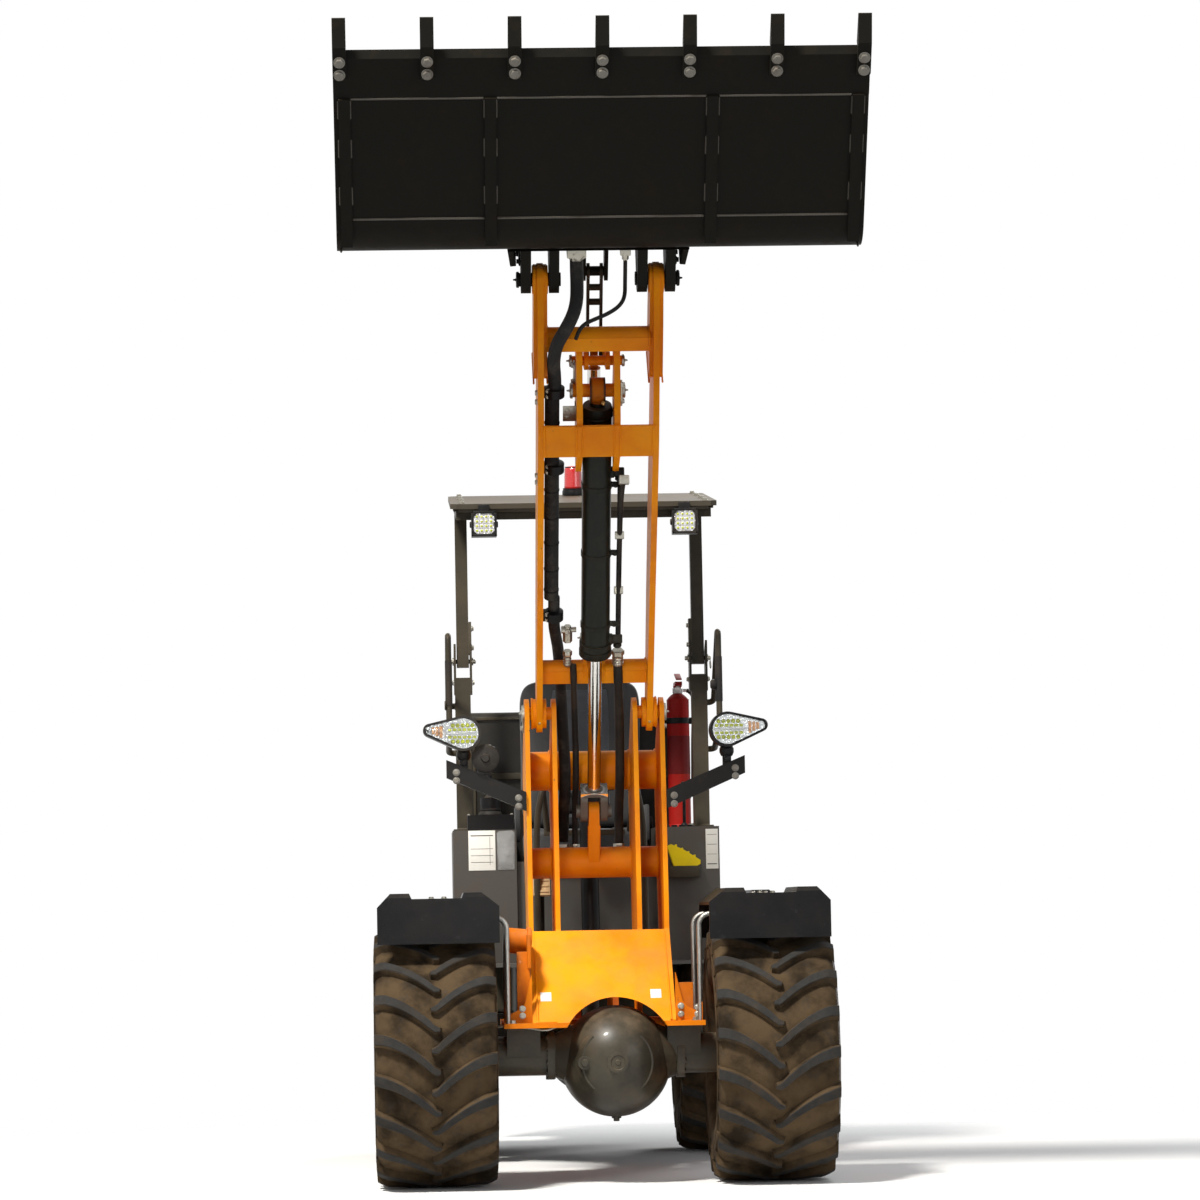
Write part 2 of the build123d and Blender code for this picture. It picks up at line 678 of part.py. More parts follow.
# ---------------------------------------------------------------- lift cylinder
LIFT_WAY = (CLEVIS - LIFT_EYE).normalized()
LIFT_REST = (CLEVIS - LIFT_EYE).length
EYE_WALL = 20.0
EYE_WIDTH = 50.0
EYE_NECK = 64.0
with BuildPart() as lift_barrel:
    lengthwise(LIFT_EYE, LIFT_WAY, EYE_WIDTH / 2, EYE_NECK)
    lengthwise(
        LIFT_EYE + LIFT_WAY * EYE_NECK, LIFT_WAY, LIFT_BARREL_RADIUS, LIFT_BARREL_LENGTH - EYE_NECK
    )
    crosswise(LIFT_EYE, PIN_RADIUS + EYE_WALL, EYE_WIDTH)
    crosswise(LIFT_EYE, PIN_RADIUS + PIN_CLEAR, EYE_WIDTH, Mode.SUBTRACT)
    lengthwise(
        LIFT_EYE + LIFT_WAY * 90,
        LIFT_WAY,
        LIFT_ROD_RADIUS + PIN_CLEAR,
        LIFT_BARREL_LENGTH,
        Mode.SUBTRACT,
    )
save(lift_barrel, "lift_barrel")

CROTCH = 76.0
CROSSHEAD = 14.0
EAR_RADIUS = 35.0
CLEVIS_X = CLEVIS_LUG_THICKNESS / 2 + SIDE_CLEAR + CLEVIS_EAR / 2
ROD_INSIDE = 365.0
with BuildPart() as lift_rod:
    rod_start = CLEVIS - LIFT_WAY * (LIFT_REST - LIFT_BARREL_LENGTH + ROD_INSIDE)
    rod_length = LIFT_REST - LIFT_BARREL_LENGTH + ROD_INSIDE - CROTCH - CROSSHEAD / 2
    lengthwise(rod_start, LIFT_WAY, LIFT_ROD_RADIUS, rod_length)
    crosshead_centre = CLEVIS - LIFT_WAY * (CROTCH + CROSSHEAD / 2)
    with BuildSketch(Plane(origin=crosshead_centre, x_dir=(1, 0, 0), z_dir=LIFT_WAY)):
        Rectangle(2 * (CLEVIS_X + CLEVIS_EAR / 2), 2 * EAR_RADIUS)
    extrude(amount=CROSSHEAD / 2, both=True)
    for _, hand in SIDES:
        ear = strap(
            Plane(origin=CLEVIS + Vector(hand * CLEVIS_X, 0, 0), x_dir=-LIFT_WAY, z_dir=(1, 0, 0)),
            CROTCH + CROSSHEAD - EAR_RADIUS,
            EAR_RADIUS,
        )
        plate(ear, CLEVIS_EAR)
        crosswise(CLEVIS, PIN_RADIUS, 14, x=hand * (CLEVIS_X + CLEVIS_EAR / 2 + 7))
save(lift_rod, "lift_rod")

# ---------------------------------------------------------------- tilt linkage
TILT_WAY = (LEVER_TIP - TILT_BASE).normalized()
TILT_REST = (LEVER_TIP - TILT_BASE).length
with BuildPart() as tilt_barrel:
    lengthwise(TILT_BASE + TILT_WAY * 45, TILT_WAY, TILT_BARREL_RADIUS, TILT_BARREL_LENGTH - 45)
    lengthwise(TILT_BASE, TILT_WAY, 19, 60)
    crosswise(TILT_BASE, 34, 40)
    crosswise(TILT_BASE, 14 + PIN_CLEAR, 60, Mode.SUBTRACT)
    lengthwise(
        TILT_BASE + TILT_WAY * 80,
        TILT_WAY,
        TILT_ROD_RADIUS + PIN_CLEAR,
        TILT_BARREL_LENGTH,
        Mode.SUBTRACT,
    )
save(tilt_barrel, "tilt_barrel")

TILT_INSIDE = 330.0
TILT_NECK = 55.0
with BuildPart() as tilt_rod:
    start = LEVER_TIP - TILT_WAY * (TILT_REST - TILT_BARREL_LENGTH + TILT_INSIDE)
    length = TILT_REST - TILT_BARREL_LENGTH + TILT_INSIDE - TILT_NECK
    lengthwise(start, TILT_WAY, TILT_ROD_RADIUS, length)
    eye = strap(
        Plane(origin=LEVER_TIP, x_dir=-TILT_WAY, z_dir=(1, 0, 0)), TILT_NECK - 15, 20, 28
    )
    plate(eye, TILT_EYE_WIDTH)
    crosswise(LEVER_TIP, 16, 40, Mode.SUBTRACT)
save(tilt_rod, "tilt_rod")

LEVER_WAY = (LEVER_TIP - LEVER_PIVOT).normalized()
with BuildPart() as tilt_lever:
    for _, hand in SIDES:
        cheek = strap(
            Plane(origin=LEVER_PIVOT + Vector(hand * LEVER_X, 0, 0), x_dir=LEVER_WAY, z_dir=(-1, 0, 0)),
            LEVER_LENGTH,
            25,
            30,
        )
        plate(cheek, LEVER_PLATE)
        crosswise(LEVER_TIP, 13, 20, x=hand * (LEVER_X - LEVER_PLATE / 2 - 6 + 4))
    crosswise(LEVER_PIVOT, 16 + PIN_CLEAR, 200, Mode.SUBTRACT)
save(tilt_lever, "tilt_lever")

LINK_WAY = (COUPLER_EYE - LEVER_TIP).normalized()
LINK_LENGTH = (COUPLER_EYE - LEVER_TIP).length
with BuildPart() as tilt_link:
    for _, hand in SIDES:
        bar = strap(
            Plane(origin=LEVER_TIP + Vector(hand * LINK_X, 0, 0), x_dir=LINK_WAY, z_dir=(-1, 0, 0)),
            LINK_LENGTH,
            15,
        )
        plate(bar, LINK_PLATE)
        for end in (LEVER_TIP, COUPLER_EYE):
            crosswise(end, 26, LINK_PLATE, x=hand * LINK_X)
    for share in (0.62, 0.8):
        crosswise(LEVER_TIP + LINK_WAY * (LINK_LENGTH * share), 11, 2 * LINK_X)
    crosswise(LEVER_TIP, 13 + PIN_CLEAR, 100, Mode.SUBTRACT)
    crosswise(COUPLER_EYE, 16 + PIN_CLEAR, 100, Mode.SUBTRACT)
save(tilt_link, "tilt_link")

# ---------------------------------------------------------------- bucket and coupler
BUCKET_TURN = math.radians(BUCKET_PITCH)
TO_EDGE = Vector(0, -math.cos(BUCKET_TURN), math.sin(BUCKET_TURN))
TO_INSIDE = Vector(0, math.sin(BUCKET_TURN), math.cos(BUCKET_TURN))
HEEL = BUCKET_PIN + TO_EDGE * PIN_BEHIND_BACK - TO_INSIDE * PIN_ABOVE_FLOOR
# sketch X runs from the heel to the cutting edge, sketch Y up from the floor
BUCKET_PLANE = along(HEEL, BUCKET_PITCH)
HALF_BUCKET = BUCKET_WIDTH / 2
LIP = 60.0
STRIP_WIDTH = 36.0
STRIP_OUTER_X = HALF_BUCKET - 33.0
STRIP_INNER_X = 0.4157 * HALF_BUCKET


def in_bucket(forward, up, x=0.0):
    """A point in the bucket's own frame."""
    return BUCKET_PLANE.from_local_coords(Vector(forward, up, -x))


with BuildPart() as bucket:
    with BuildSketch(BUCKET_PLANE):
        with BuildLine():
            FilletPolyline(
                (BUCKET_FLOOR - EDGE_LENGTH, 0),
                (0, 0),
                (0, BUCKET_BACK),
                (LIP, BUCKET_BACK + LIP),
                radius=[BUCKET_HEEL, 80],
            )
            FilletPolyline(
                (BUCKET_FLOOR - EDGE_LENGTH, BUCKET_SHEET),
                (BUCKET_SHEET, BUCKET_SHEET),
                (BUCKET_SHEET, BUCKET_BACK - 5),
                (LIP + 8, BUCKET_BACK + LIP - 9),
                radius=[BUCKET_HEEL - BUCKET_SHEET, 68],
            )
            Line((BUCKET_FLOOR - EDGE_LENGTH, 0), (BUCKET_FLOOR - EDGE_LENGTH, BUCKET_SHEET))
            Line((LIP, BUCKET_BACK + LIP), (LIP + 8, BUCKET_BACK + LIP - 9))
        make_face()
    extrude(amount=HALF_BUCKET, both=True)
    edge = outline(
        BUCKET_PLANE,
        (
            (BUCKET_FLOOR - EDGE_LENGTH, -4),
            (BUCKET_FLOOR - 25, -4),
            (BUCKET_FLOOR, 10),
            (BUCKET_FLOOR - 6, EDGE_PLATE - 4),
            (BUCKET_FLOOR - EDGE_LENGTH, EDGE_PLATE - 4),
        ),
    )
    plate(edge, BUCKET_WIDTH)
    for _, hand in SIDES:
        cheek_x = HALF_BUCKET - BUCKET_SHEET / 2
        with BuildSketch(BUCKET_PLANE.offset(-hand * cheek_x)):
            with BuildLine():
                FilletPolyline(
                    (BUCKET_FLOOR - 30, 6),
                    (6, 6),
                    (6, BUCKET_BACK),
                    (LIP + 2, BUCKET_BACK + LIP - 6),
                    (LIP + 90, BUCKET_BACK + LIP - 40),
                    radius=[BUCKET_HEEL - 6, 70, 25],
                )
                Line((LIP + 90, BUCKET_BACK + LIP - 40), (BUCKET_FLOOR - 30, 6))
            make_face()
        extrude(amount=BUCKET_SHEET / 2, both=True)
    for x in (-STRIP_OUTER_X, -STRIP_INNER_X, STRIP_INNER_X, STRIP_OUTER_X):
        strip = outline(
            BUCKET_PLANE.offset(-x),
            (
                (60, -12),
                (BUCKET_FLOOR - EDGE_LENGTH, -12),
                (BUCKET_FLOOR - EDGE_LENGTH, 4),
                (60, 4),
            ),
        )
        plate(strip, STRIP_WIDTH)
save(bucket, "bucket")

TOOTH_PITCH = (BUCKET_WIDTH - TOOTH_WIDTH) / (TOOTH_COUNT - 1)
with BuildPart() as teeth:
    for n in range(TOOTH_COUNT):
        x = (n - (TOOTH_COUNT - 1) / 2) * TOOTH_PITCH
        tooth = outline(
            BUCKET_PLANE.offset(-x),
            (
                (BUCKET_FLOOR - 95, -4),
                (BUCKET_FLOOR - 80, -26),
                (BUCKET_FLOOR + 20, -26),
                (BUCKET_FLOOR + TOOTH_REACH, 4),
                (BUCKET_FLOOR + TOOTH_REACH, 10),
                (BUCKET_FLOOR + 6, 22),
                (BUCKET_FLOOR, 10),
                (BUCKET_FLOOR - 25, -4),
            ),
        )
        plate(tooth, TOOTH_WIDTH)
save(teeth, "bucket_teeth")

EAR_GAP = ARM_HEAD_PLATE / 2 + SIDE_CLEAR
EAR_PLATE = 32.0
EARS = (ARM_X - EAR_GAP - EAR_PLATE / 2, ARM_X + EAR_GAP + EAR_PLATE / 2)
COUPLER_BACK = COUPLER_PLATE
with BuildPart() as coupler:
    back_plate = outline(
        BUCKET_PLANE,
        ((0, 130), (-COUPLER_BACK, 110), (-COUPLER_BACK, 470), (0, 470)),
    )
    plate(back_plate, 2 * COUPLER_HALF_WIDTH)
    for _, hand in SIDES:
        for x in EARS:
            with BuildSketch(BUCKET_PLANE.offset(-hand * x)):
                with Locations((-PIN_BEHIND_BACK, PIN_ABOVE_FLOOR)):
                    Circle(44)
                with Locations((-COUPLER_BACK - 1, 230)):
                    Rectangle(2, 230)
                make_hull()
            extrude(amount=EAR_PLATE / 2, both=True)
        pin_x = hand * ARM_X
        crosswise(BUCKET_PIN, PIN_RADIUS, EARS[1] - EARS[0] + EAR_PLATE + 12, x=pin_x)
        with BuildSketch(BUCKET_PLANE.offset(-hand * 36)):
            eye_place = BUCKET_PLANE.to_local_coords(COUPLER_EYE)
            with Locations((eye_place.X, eye_place.Y)):
                Circle(32)
            with Locations((-COUPLER_BACK - 1, 380)):
                Rectangle(2, 140)
            make_hull()
        extrude(amount=6, both=True)
    crosswise(COUPLER_EYE, 16, 84)
save(coupler, "coupler")

# ---------------------------------------------------------------- fenders
FENDER_SHEET = 10.0
FENDER_WIDTH = 398.0
FENDER_X = 541.0
FENDER_TOP_Z = 967.0
FENDER_REACH = 290.0
FENDER_DROP = 165.0
TROUGH = 18.0
STAY_RADIUS = 8.0
STAY_Z = FENDER_TOP_Z - 82
STAY_PLACES = (-150.0, 150.0)
RIB_HEIGHT = FENDER_TOP_Z - TROUGH - FENDER_SHEET / 2 - STAY_Z - STAY_RADIUS


def fender_side(axle_y, inset):
    """Side view of a fender: a flat top, an upright front and a sloping rear end."""
    front = axle_y - FENDER_REACH + inset
    rear = axle_y + FENDER_REACH - inset
    top = FENDER_TOP_Z - inset
    low = FENDER_TOP_Z - FENDER_DROP - (1 if inset else 0)
    return (
        (front, low),
        (front, top - 14),
        (front + 14, top),
        (rear - 100, top),
        (rear, low),
    )


def fender_front(hand, inset):
    """Front view of a fender: bevelled corners, and a shallow trough along its top."""
    half = FENDER_WIDTH / 2 + (1 if inset else 0)
    top = FENDER_TOP_Z - inset
    low = FENDER_TOP_Z - FENDER_DROP - 2
    rows = (
        # outwards from the fender's middle, height
        (-half, low),
        (-half, top - 45),
        (-half + 57, top),
        (-84, top),
        (-77, top - TROUGH),
        (86, top - TROUGH),
        (94, top),
        (half - 43, top),
        (half, top - 45),
        (half, low),
    )
    return [(hand * (FENDER_X + out), height) for out, height in rows]


for name, axle_y in (("front_fenders", FRONT_AXLE_Y), ("rear_fenders", REAR_AXLE_Y)):
    with BuildPart() as fenders:
        for _, hand in SIDES:
            shells = []
            for inset in (0, FENDER_SHEET):
                lengthwise_form = plate(
                    outline(side(hand * FENDER_X), fender_side(axle_y, inset)),
                    FENDER_WIDTH,
                    Mode.PRIVATE,
                )
                crosswise_form = plate(
                    outline(across(axle_y), fender_front(hand, inset)),
                    2 * FENDER_REACH + 20,
                    Mode.PRIVATE,
                )
                shells.append(lengthwise_form & crosswise_form)
            outer, inner = shells
            add(outer - inner)
            # ribs reach down to the stays
            for place in STAY_PLACES:
                rib_z = STAY_Z + STAY_RADIUS + RIB_HEIGHT / 2
                block((60, 24, RIB_HEIGHT), (hand * FENDER_X, axle_y + place, rib_z))
    save(fenders, name)

# ---------------------------------------------------------------- front lamps
LAMP_BACK = 190.0
LAMP_Z = 1502.0
LAMP_INNER_X = 385.0
LAMP_OUTER_X = 580.0
LAMP_RADIUS = 59.0
LAMP_TIP_RADIUS = 22.0
LAMP_DEPTH = 70.0
LAMP_RIM = 7.0
LENS_DEPTH = 9.0
LAMP_BAR_DEPTH = 60.0
LAMP_BAR_ROOT = (TOWER_OUTER_X + TOWER_PLATE / 2, 1271.0)
LAMP_BAR_TIP = (503.0, 1385.0)
LAMP_POST = 28.0
LAMP_X = LAMP_INNER_X + LAMP_RADIUS
with BuildPart() as brackets:
    for _, hand in SIDES:
        root_x, root_z = LAMP_BAR_ROOT
        tip_x, tip_z = LAMP_BAR_TIP
        bar = outline(
            across(back(LAMP_BACK)),
            (
                (hand * root_x, root_z - 32),
                (hand * tip_x, tip_z - 30),
                (hand * tip_x, tip_z + 30),
                (hand * root_x, root_z + 32),
            ),
        )
        plate(bar, LAMP_BAR_DEPTH)
        post_high = LAMP_Z - LAMP_RADIUS
        block(
            (LAMP_POST, LAMP_POST, post_high - tip_z + 20),
            (hand * LAMP_X, back(LAMP_BACK), (post_high + tip_z - 20) / 2),
        )
        # two bent stays carry each fender from the deck's edge
        for stay_back in STAY_PLACES:
            foot = (hand * (DECK_HALF_WIDTH - 14), back(stay_back), DECK_Z)
            knee = (hand * (DECK_HALF_WIDTH - 14), back(stay_back), STAY_Z)
            tip = (hand * (DECK_HALF_WIDTH + 330), back(stay_back), STAY_Z)
            with BuildLine() as line:
                FilletPolyline(foot, knee, tip, radius=40)
            with BuildSketch(Plane(origin=foot, z_dir=(0, 0, 1))) as ring:
                Circle(STAY_RADIUS)
            sweep(ring.sketch, path=line.line)
save(brackets, "front_brackets")

with BuildPart() as headlamps:
    for _, hand in SIDES:
        with BuildSketch(across(back(LAMP_BACK + LAMP_POST / 2))):
            with Locations((hand * LAMP_X, LAMP_Z)):
                Circle(LAMP_RADIUS)
            with Locations((hand * (LAMP_OUTER_X - LAMP_TIP_RADIUS), LAMP_Z + 12)):
                Circle(LAMP_TIP_RADIUS)
            make_hull()
        extrude(amount=LAMP_DEPTH + LAMP_POST / 2)
        with BuildSketch(across(back(LAMP_BACK) - LAMP_DEPTH)):
            with Locations((hand * LAMP_X, LAMP_Z)):
                Circle(LAMP_RADIUS - LAMP_RIM)
            with Locations((hand * (LAMP_OUTER_X - LAMP_TIP_RADIUS), LAMP_Z + 12)):
                Circle(LAMP_TIP_RADIUS - LAMP_RIM)
            make_hull()
        extrude(amount=-LENS_DEPTH, mode=Mode.SUBTRACT)
save(headlamps, "headlamps")

# ---------------------------------------------------------------- rear frame
PLATFORM_SHEET = 12.0
REAR_RAIL_X = 230.0
REAR_RAIL = 24.0
REAR_LUG_GAP = 3.0
REAR_NECK_FROM = PIVOT_Y + 110
RAIL_START = PIVOT_Y + 310
RAIL_END = back(HOOD_REAR_BACK - 60)
RAIL_LOW_Z = PAD_TOP
RAIL_HIGH_Z = FLOOR_Z - PLATFORM_SHEET
RAIL_MID_Z = (RAIL_LOW_Z + RAIL_HIGH_Z) / 2
RAIL_DEPTH = RAIL_HIGH_Z - RAIL_LOW_Z
BAY_X = 320.0
BAY_SHEET = 12.0
BAY_TOP_Z = HOOD_SILL_Z - 6
CROSS_PLATE = 30.0
with BuildPart() as rear_chassis:
    # lugs outside the front frame's lugs, with the pivot pin
    lug_step = NECK_LUG_THICKNESS + REAR_LUG_GAP
    for z in (NECK_LOW_Z - lug_step, NECK_HIGH_Z + lug_step):
        with BuildSketch(Plane.XY.offset(z)):
            with Locations((0, PIVOT_Y)):
                Circle(NECK_LUG_RADIUS)
            with Locations((0, (REAR_NECK_FROM + RAIL_START) / 2)):
                Rectangle(2 * NECK_HALF_WIDTH, RAIL_START - REAR_NECK_FROM)
            make_hull()
        extrude(amount=NECK_LUG_THICKNESS / 2, both=True)
    pin_low = NECK_LOW_Z - lug_step - NECK_LUG_THICKNESS / 2
    pin_high = NECK_HIGH_Z + lug_step + NECK_LUG_THICKNESS / 2
    lengthwise(Vector(0, PIVOT_Y, pin_low), (0, 0, 1), PIVOT_PIN_RADIUS, pin_high - pin_low)
    block(
        (2 * NECK_HALF_WIDTH, 40, pin_high - pin_low),
        (0, RAIL_START - 20, (pin_low + pin_high) / 2),
    )
    block(
        (2 * REAR_RAIL_X + REAR_RAIL, CROSS_PLATE, RAIL_DEPTH),
        (0, RAIL_START + CROSS_PLATE / 2, RAIL_MID_Z),
    )
    for _, hand in SIDES:
        block(
            (REAR_RAIL, RAIL_END - RAIL_START, RAIL_DEPTH),
            (hand * REAR_RAIL_X, (RAIL_START + RAIL_END) / 2, RAIL_MID_Z),
        )
        # beams under the operator's floor, above the pivot
        beam_length = RAIL_START - back(760)
        block(
            (40, beam_length + CROSS_PLATE, 24),
            (hand * 170, RAIL_START + CROSS_PLATE - (beam_length + CROSS_PLATE) / 2, RAIL_HIGH_Z - 12),
        )
        # engine bay side with the sill that the hood closes on
        bay_start = back(HOOD_FRONT_BACK)
        bay_middle = (bay_start + RAIL_END) / 2
        block(
            (BAY_SHEET, RAIL_END - bay_start, BAY_TOP_Z - RAIL_HIGH_Z + 10),
            (hand * BAY_X, bay_middle, (BAY_TOP_Z + RAIL_HIGH_Z - 10) / 2),
        )
        block(
            (BAY_X - REAR_RAIL_X + 12, RAIL_END - bay_start, 10),
            (hand * (BAY_X + REAR_RAIL_X) / 2, bay_middle, RAIL_HIGH_Z - 5),
        )
        # bars that carry the rear fender
        for place in STAY_PLACES:
            bar_start = BAY_X
            bar_end = FENDER_X + 40
            block(
                (bar_end - bar_start, 30, 2 * STAY_RADIUS),
                (hand * (bar_start + bar_end) / 2, REAR_AXLE_Y + place, STAY_Z),
            )
        sill_width = HOOD_HALF_WIDTH - BAY_X - 6
        block(
            (sill_width, RAIL_END - bay_start, 10),
            (hand * (BAY_X + sill_width / 2), bay_middle, BAY_TOP_Z - 5),
        )
    for bar_back in (2160, 2560):
        block((2 * REAR_RAIL_X, 60, 20), (0, back(bar_back), ENGINE_LOW_Z - 10))
    # fork for the steering cylinder's barrel
    for way in (-1, 1):
        with BuildSketch(Plane.XY.offset(STEER_REAR.Z + way * STEER_FORK_STEP)):
            with Locations((STEER_X, STEER_REAR.Y)):
                Circle(STEER_EYE)
            with Locations((STEER_X, STEER_REAR.Y + 85)):
                Rectangle(90, 50)
            make_hull()
        extrude(amount=STEER_PLATE / 2, both=True)
    fork_low = STEER_Z - STEER_FORK_STEP - STEER_PLATE / 2
    block(
        (90, 50, RAIL_LOW_Z - fork_low),
        (STEER_X, STEER_REAR.Y + 85, (RAIL_LOW_Z + fork_low) / 2),
    )
    lengthwise(STEER_REAR - Vector(0, 0, 32), (0, 0, 1), STEER_PIN, 64)
save(rear_chassis, "rear_chassis")

with BuildPart() as engine:
    block(
        (ENGINE_WIDTH, ENGINE_LENGTH, ENGINE_HEIGHT),
        (0, back(2240), ENGINE_LOW_Z + ENGINE_HEIGHT / 2),
    )
save(engine, "engine_block")

HITCH_Y = back(WEIGHT_REAR_BACK + 35)
HITCH_Z = 640.0
HITCH_GAP = 60.0
HITCH_PLATE = 20.0
HITCH_HOLE = 16.0
with BuildPart() as counterweight:
    weight = outline(
        side(),
        (
            (RAIL_END, WEIGHT_LOW_Z + 90),
            (RAIL_END + 60, WEIGHT_LOW_Z),
            (back(WEIGHT_REAR_BACK - 40), WEIGHT_LOW_Z + 30),
            (back(WEIGHT_REAR_BACK), WEIGHT_LOW_Z + 120),
            (back(WEIGHT_REAR_BACK), HOOD_SILL_Z - 90),
            (back(WEIGHT_REAR_BACK - 30), HOOD_SILL_Z - 30),
            (RAIL_END, HOOD_SILL_Z - 30),
        ),
    )
    plate(weight, 2 * HOOD_HALF_WIDTH)
    rear_corners = counterweight.edges().filter_by(Axis.Z).group_by(Axis.Y)[-1]
    fillet(rear_corners, 40)
    # towing jaw with a hole for a drawbar pin
    for z in (HITCH_Z - HITCH_GAP / 2 - HITCH_PLATE, HITCH_Z + HITCH_GAP / 2):
        with BuildSketch(Plane.XY.offset(z)):
            with Locations((0, HITCH_Y)):
                Circle(30)
            with Locations((0, HITCH_Y - 50)):
                Rectangle(90, 40)
            make_hull()
            with Locations((0, HITCH_Y)):
                Circle(HITCH_HOLE, mode=Mode.SUBTRACT)
        extrude(amount=HITCH_PLATE)
save(counterweight, "counterweight")


def hood_line(inset, low_z):
    """Side view of the hood, moved inwards by the inset, down to its lower edge."""
    front = back(HOOD_FRONT_BACK) + inset
    rear = back(HOOD_REAR_BACK) - inset
    top = HOOD_TOP_Z - inset
    return (
        (front, low_z),
        (rear, low_z),
        (rear, top - 300),
        (rear - 70, top - 130),
        (front + 300, top),
        (front, top),
    )


with BuildPart() as hood:
    plate(outline(side(), hood_line(0, HOOD_SILL_Z), [1, 1, 80, 90, 90, 30]), 2 * HOOD_HALF_WIDTH)
    plate(
        outline(side(), hood_line(HOOD_SHEET, HOOD_SILL_Z - 1), [1, 1, 68, 80, 80, 18]),
        2 * (HOOD_HALF_WIDTH - HOOD_SHEET),
        Mode.SUBTRACT,
    )
    # louvres in the rear end and both sides
    for n in range(LOUVRE_COUNT):
        rear_z = HOOD_SILL_Z + 90 + n * LOUVRE_PITCH
        rear_slot = (2 * HOOD_HALF_WIDTH - 260, 3 * HOOD_SHEET, 16)
        block(rear_slot, (0, back(HOOD_REAR_BACK), rear_z), Mode.SUBTRACT)
        side_y = back(HOOD_REAR_BACK - 250 - n * LOUVRE_PITCH)
        block((2 * HOOD_HALF_WIDTH + 2, 18, 190), (0, side_y, HOOD_SILL_Z + 240), Mode.SUBTRACT)
    # hinge barrels on the lower rear edge
    for _, hand in SIDES:
        crosswise(Vector(0, back(HOOD_REAR_BACK), HOOD_SILL_Z), HINGE_RADIUS, 70, x=hand * 280)
save(hood, "engine_hood")

# ---------------------------------------------------------------- operator's place
CONSOLE_SHEET = 6.0
STEP_X = 450.0
STEP_BACK = 1230.0
STEP_LENGTH = 240.0
STEP_Z = 430.0


def cover(size, at):
    """A sheet-metal box about its centre, open underneath."""
    block(size, at)
    inner = (size[0] - 2 * CONSOLE_SHEET, size[1] - 2 * CONSOLE_SHEET, size[2])
    low = (at[0], at[1], at[2] - CONSOLE_SHEET)
    block(inner, low, Mode.SUBTRACT)


with BuildPart() as platform:
    with BuildSketch(Plane.XY.offset(FLOOR_Z - PLATFORM_SHEET)):
        with BuildLine():
            Polyline(
                (-200, back(730)),
                (200, back(730)),
                (CONSOLE_HALF_WIDTH, back(1010)),
                (CONSOLE_HALF_WIDTH, back(CONSOLE_REAR_BACK)),
                (-CONSOLE_HALF_WIDTH, back(CONSOLE_REAR_BACK)),
                (-CONSOLE_HALF_WIDTH, back(1010)),
                close=True,
            )
        make_face()
    extrude(amount=PLATFORM_SHEET)
    console_low = FLOOR_Z - PLATFORM_SHEET
    console_length = CONSOLE_REAR_BACK - CONSOLE_FRONT_BACK
    console_width = CONSOLE_HALF_WIDTH - CONSOLE_INNER_X
    for _, hand in SIDES:
        cover(
            (console_width, console_length, CONSOLE_TOP_Z - console_low),
            (
                hand * (CONSOLE_INNER_X + console_width / 2),
                back(CONSOLE_FRONT_BACK + console_length / 2),
                (CONSOLE_TOP_Z + console_low) / 2,
            ),
        )
    seat_length = CONSOLE_REAR_BACK - SEAT_FRONT_BACK - 60
    seat_base_top = SEAT_Z - SEAT_CUSHION
    cover(
        (2 * (CONSOLE_INNER_X + CONSOLE_SHEET), seat_length, seat_base_top - console_low),
        (0, back(CONSOLE_REAR_BACK - seat_length / 2), (seat_base_top + console_low) / 2),
    )
    # a step hangs from the floor on each side
    for _, hand in SIDES:
        block((150, STEP_LENGTH, 24), (hand * STEP_X, back(STEP_BACK), STEP_Z))
        for way in (-1, 1):
            hanger_y = back(STEP_BACK) + way * (STEP_LENGTH / 2 - 6)
            hanger_top = FLOOR_Z + 30
            block(
                (CONSOLE_HALF_WIDTH - 402, 12, hanger_top - STEP_Z),
                (hand * (CONSOLE_HALF_WIDTH + 398) / 2, hanger_y, (hanger_top + STEP_Z) / 2),
            )
save(platform, "operator_platform")

with BuildPart() as cushion:
    with BuildSketch(Plane.XY.offset(SEAT_Z - SEAT_CUSHION)):
        with Locations((0, back(SEAT_FRONT_BACK + 200))):
            RectangleRounded(SEAT_WIDTH, 400, 50)
    extrude(amount=SEAT_CUSHION)
    fillet(cushion.faces().sort_by(Axis.Z)[-1].edges(), 25)
save(cushion, "seat_cushion")

with BuildPart() as backrest:
    with BuildSketch(across(back(SEAT_REAR_BACK - 50))):
        with Locations((0, (SEAT_Z + SEAT_TOP_Z) / 2 + 5)):
            RectangleRounded(SEAT_WIDTH, SEAT_TOP_Z - SEAT_Z - 10, 90)
    extrude(amount=50, both=True)
    fillet(backrest.faces().sort_by(Axis.Y)[0].edges(), 25)
save(backrest, "seat_backrest")

WHEEL_CENTRE = Vector(0, back(930), 1400)
COLUMN_FOOT = Vector(0, back(800), FLOOR_Z + 40)
COLUMN_WAY = (WHEEL_CENTRE - COLUMN_FOOT).normalized()
with BuildPart() as column:
    lengthwise(COLUMN_FOOT - Vector(0, 0, 40), (0, 0, 1), 70, 80)
    lengthwise(COLUMN_FOOT, COLUMN_WAY, 32, (WHEEL_CENTRE - COLUMN_FOOT).length - 26)
save(column, "steering_column")

with BuildPart() as steering_wheel:
    wheel_plane = Plane(origin=WHEEL_CENTRE, x_dir=(1, 0, 0), z_dir=COLUMN_WAY)
    with Locations(wheel_plane.location):
        Torus(175, 13)
        Cylinder(34, 50)
    for turn in (90, 210, 330):
        angle = math.radians(turn)
        way = wheel_plane.x_dir * math.cos(angle) + wheel_plane.y_dir * math.sin(angle)
        lengthwise(WHEEL_CENTRE, way, 9, 172)
save(steering_wheel, "steering_wheel")

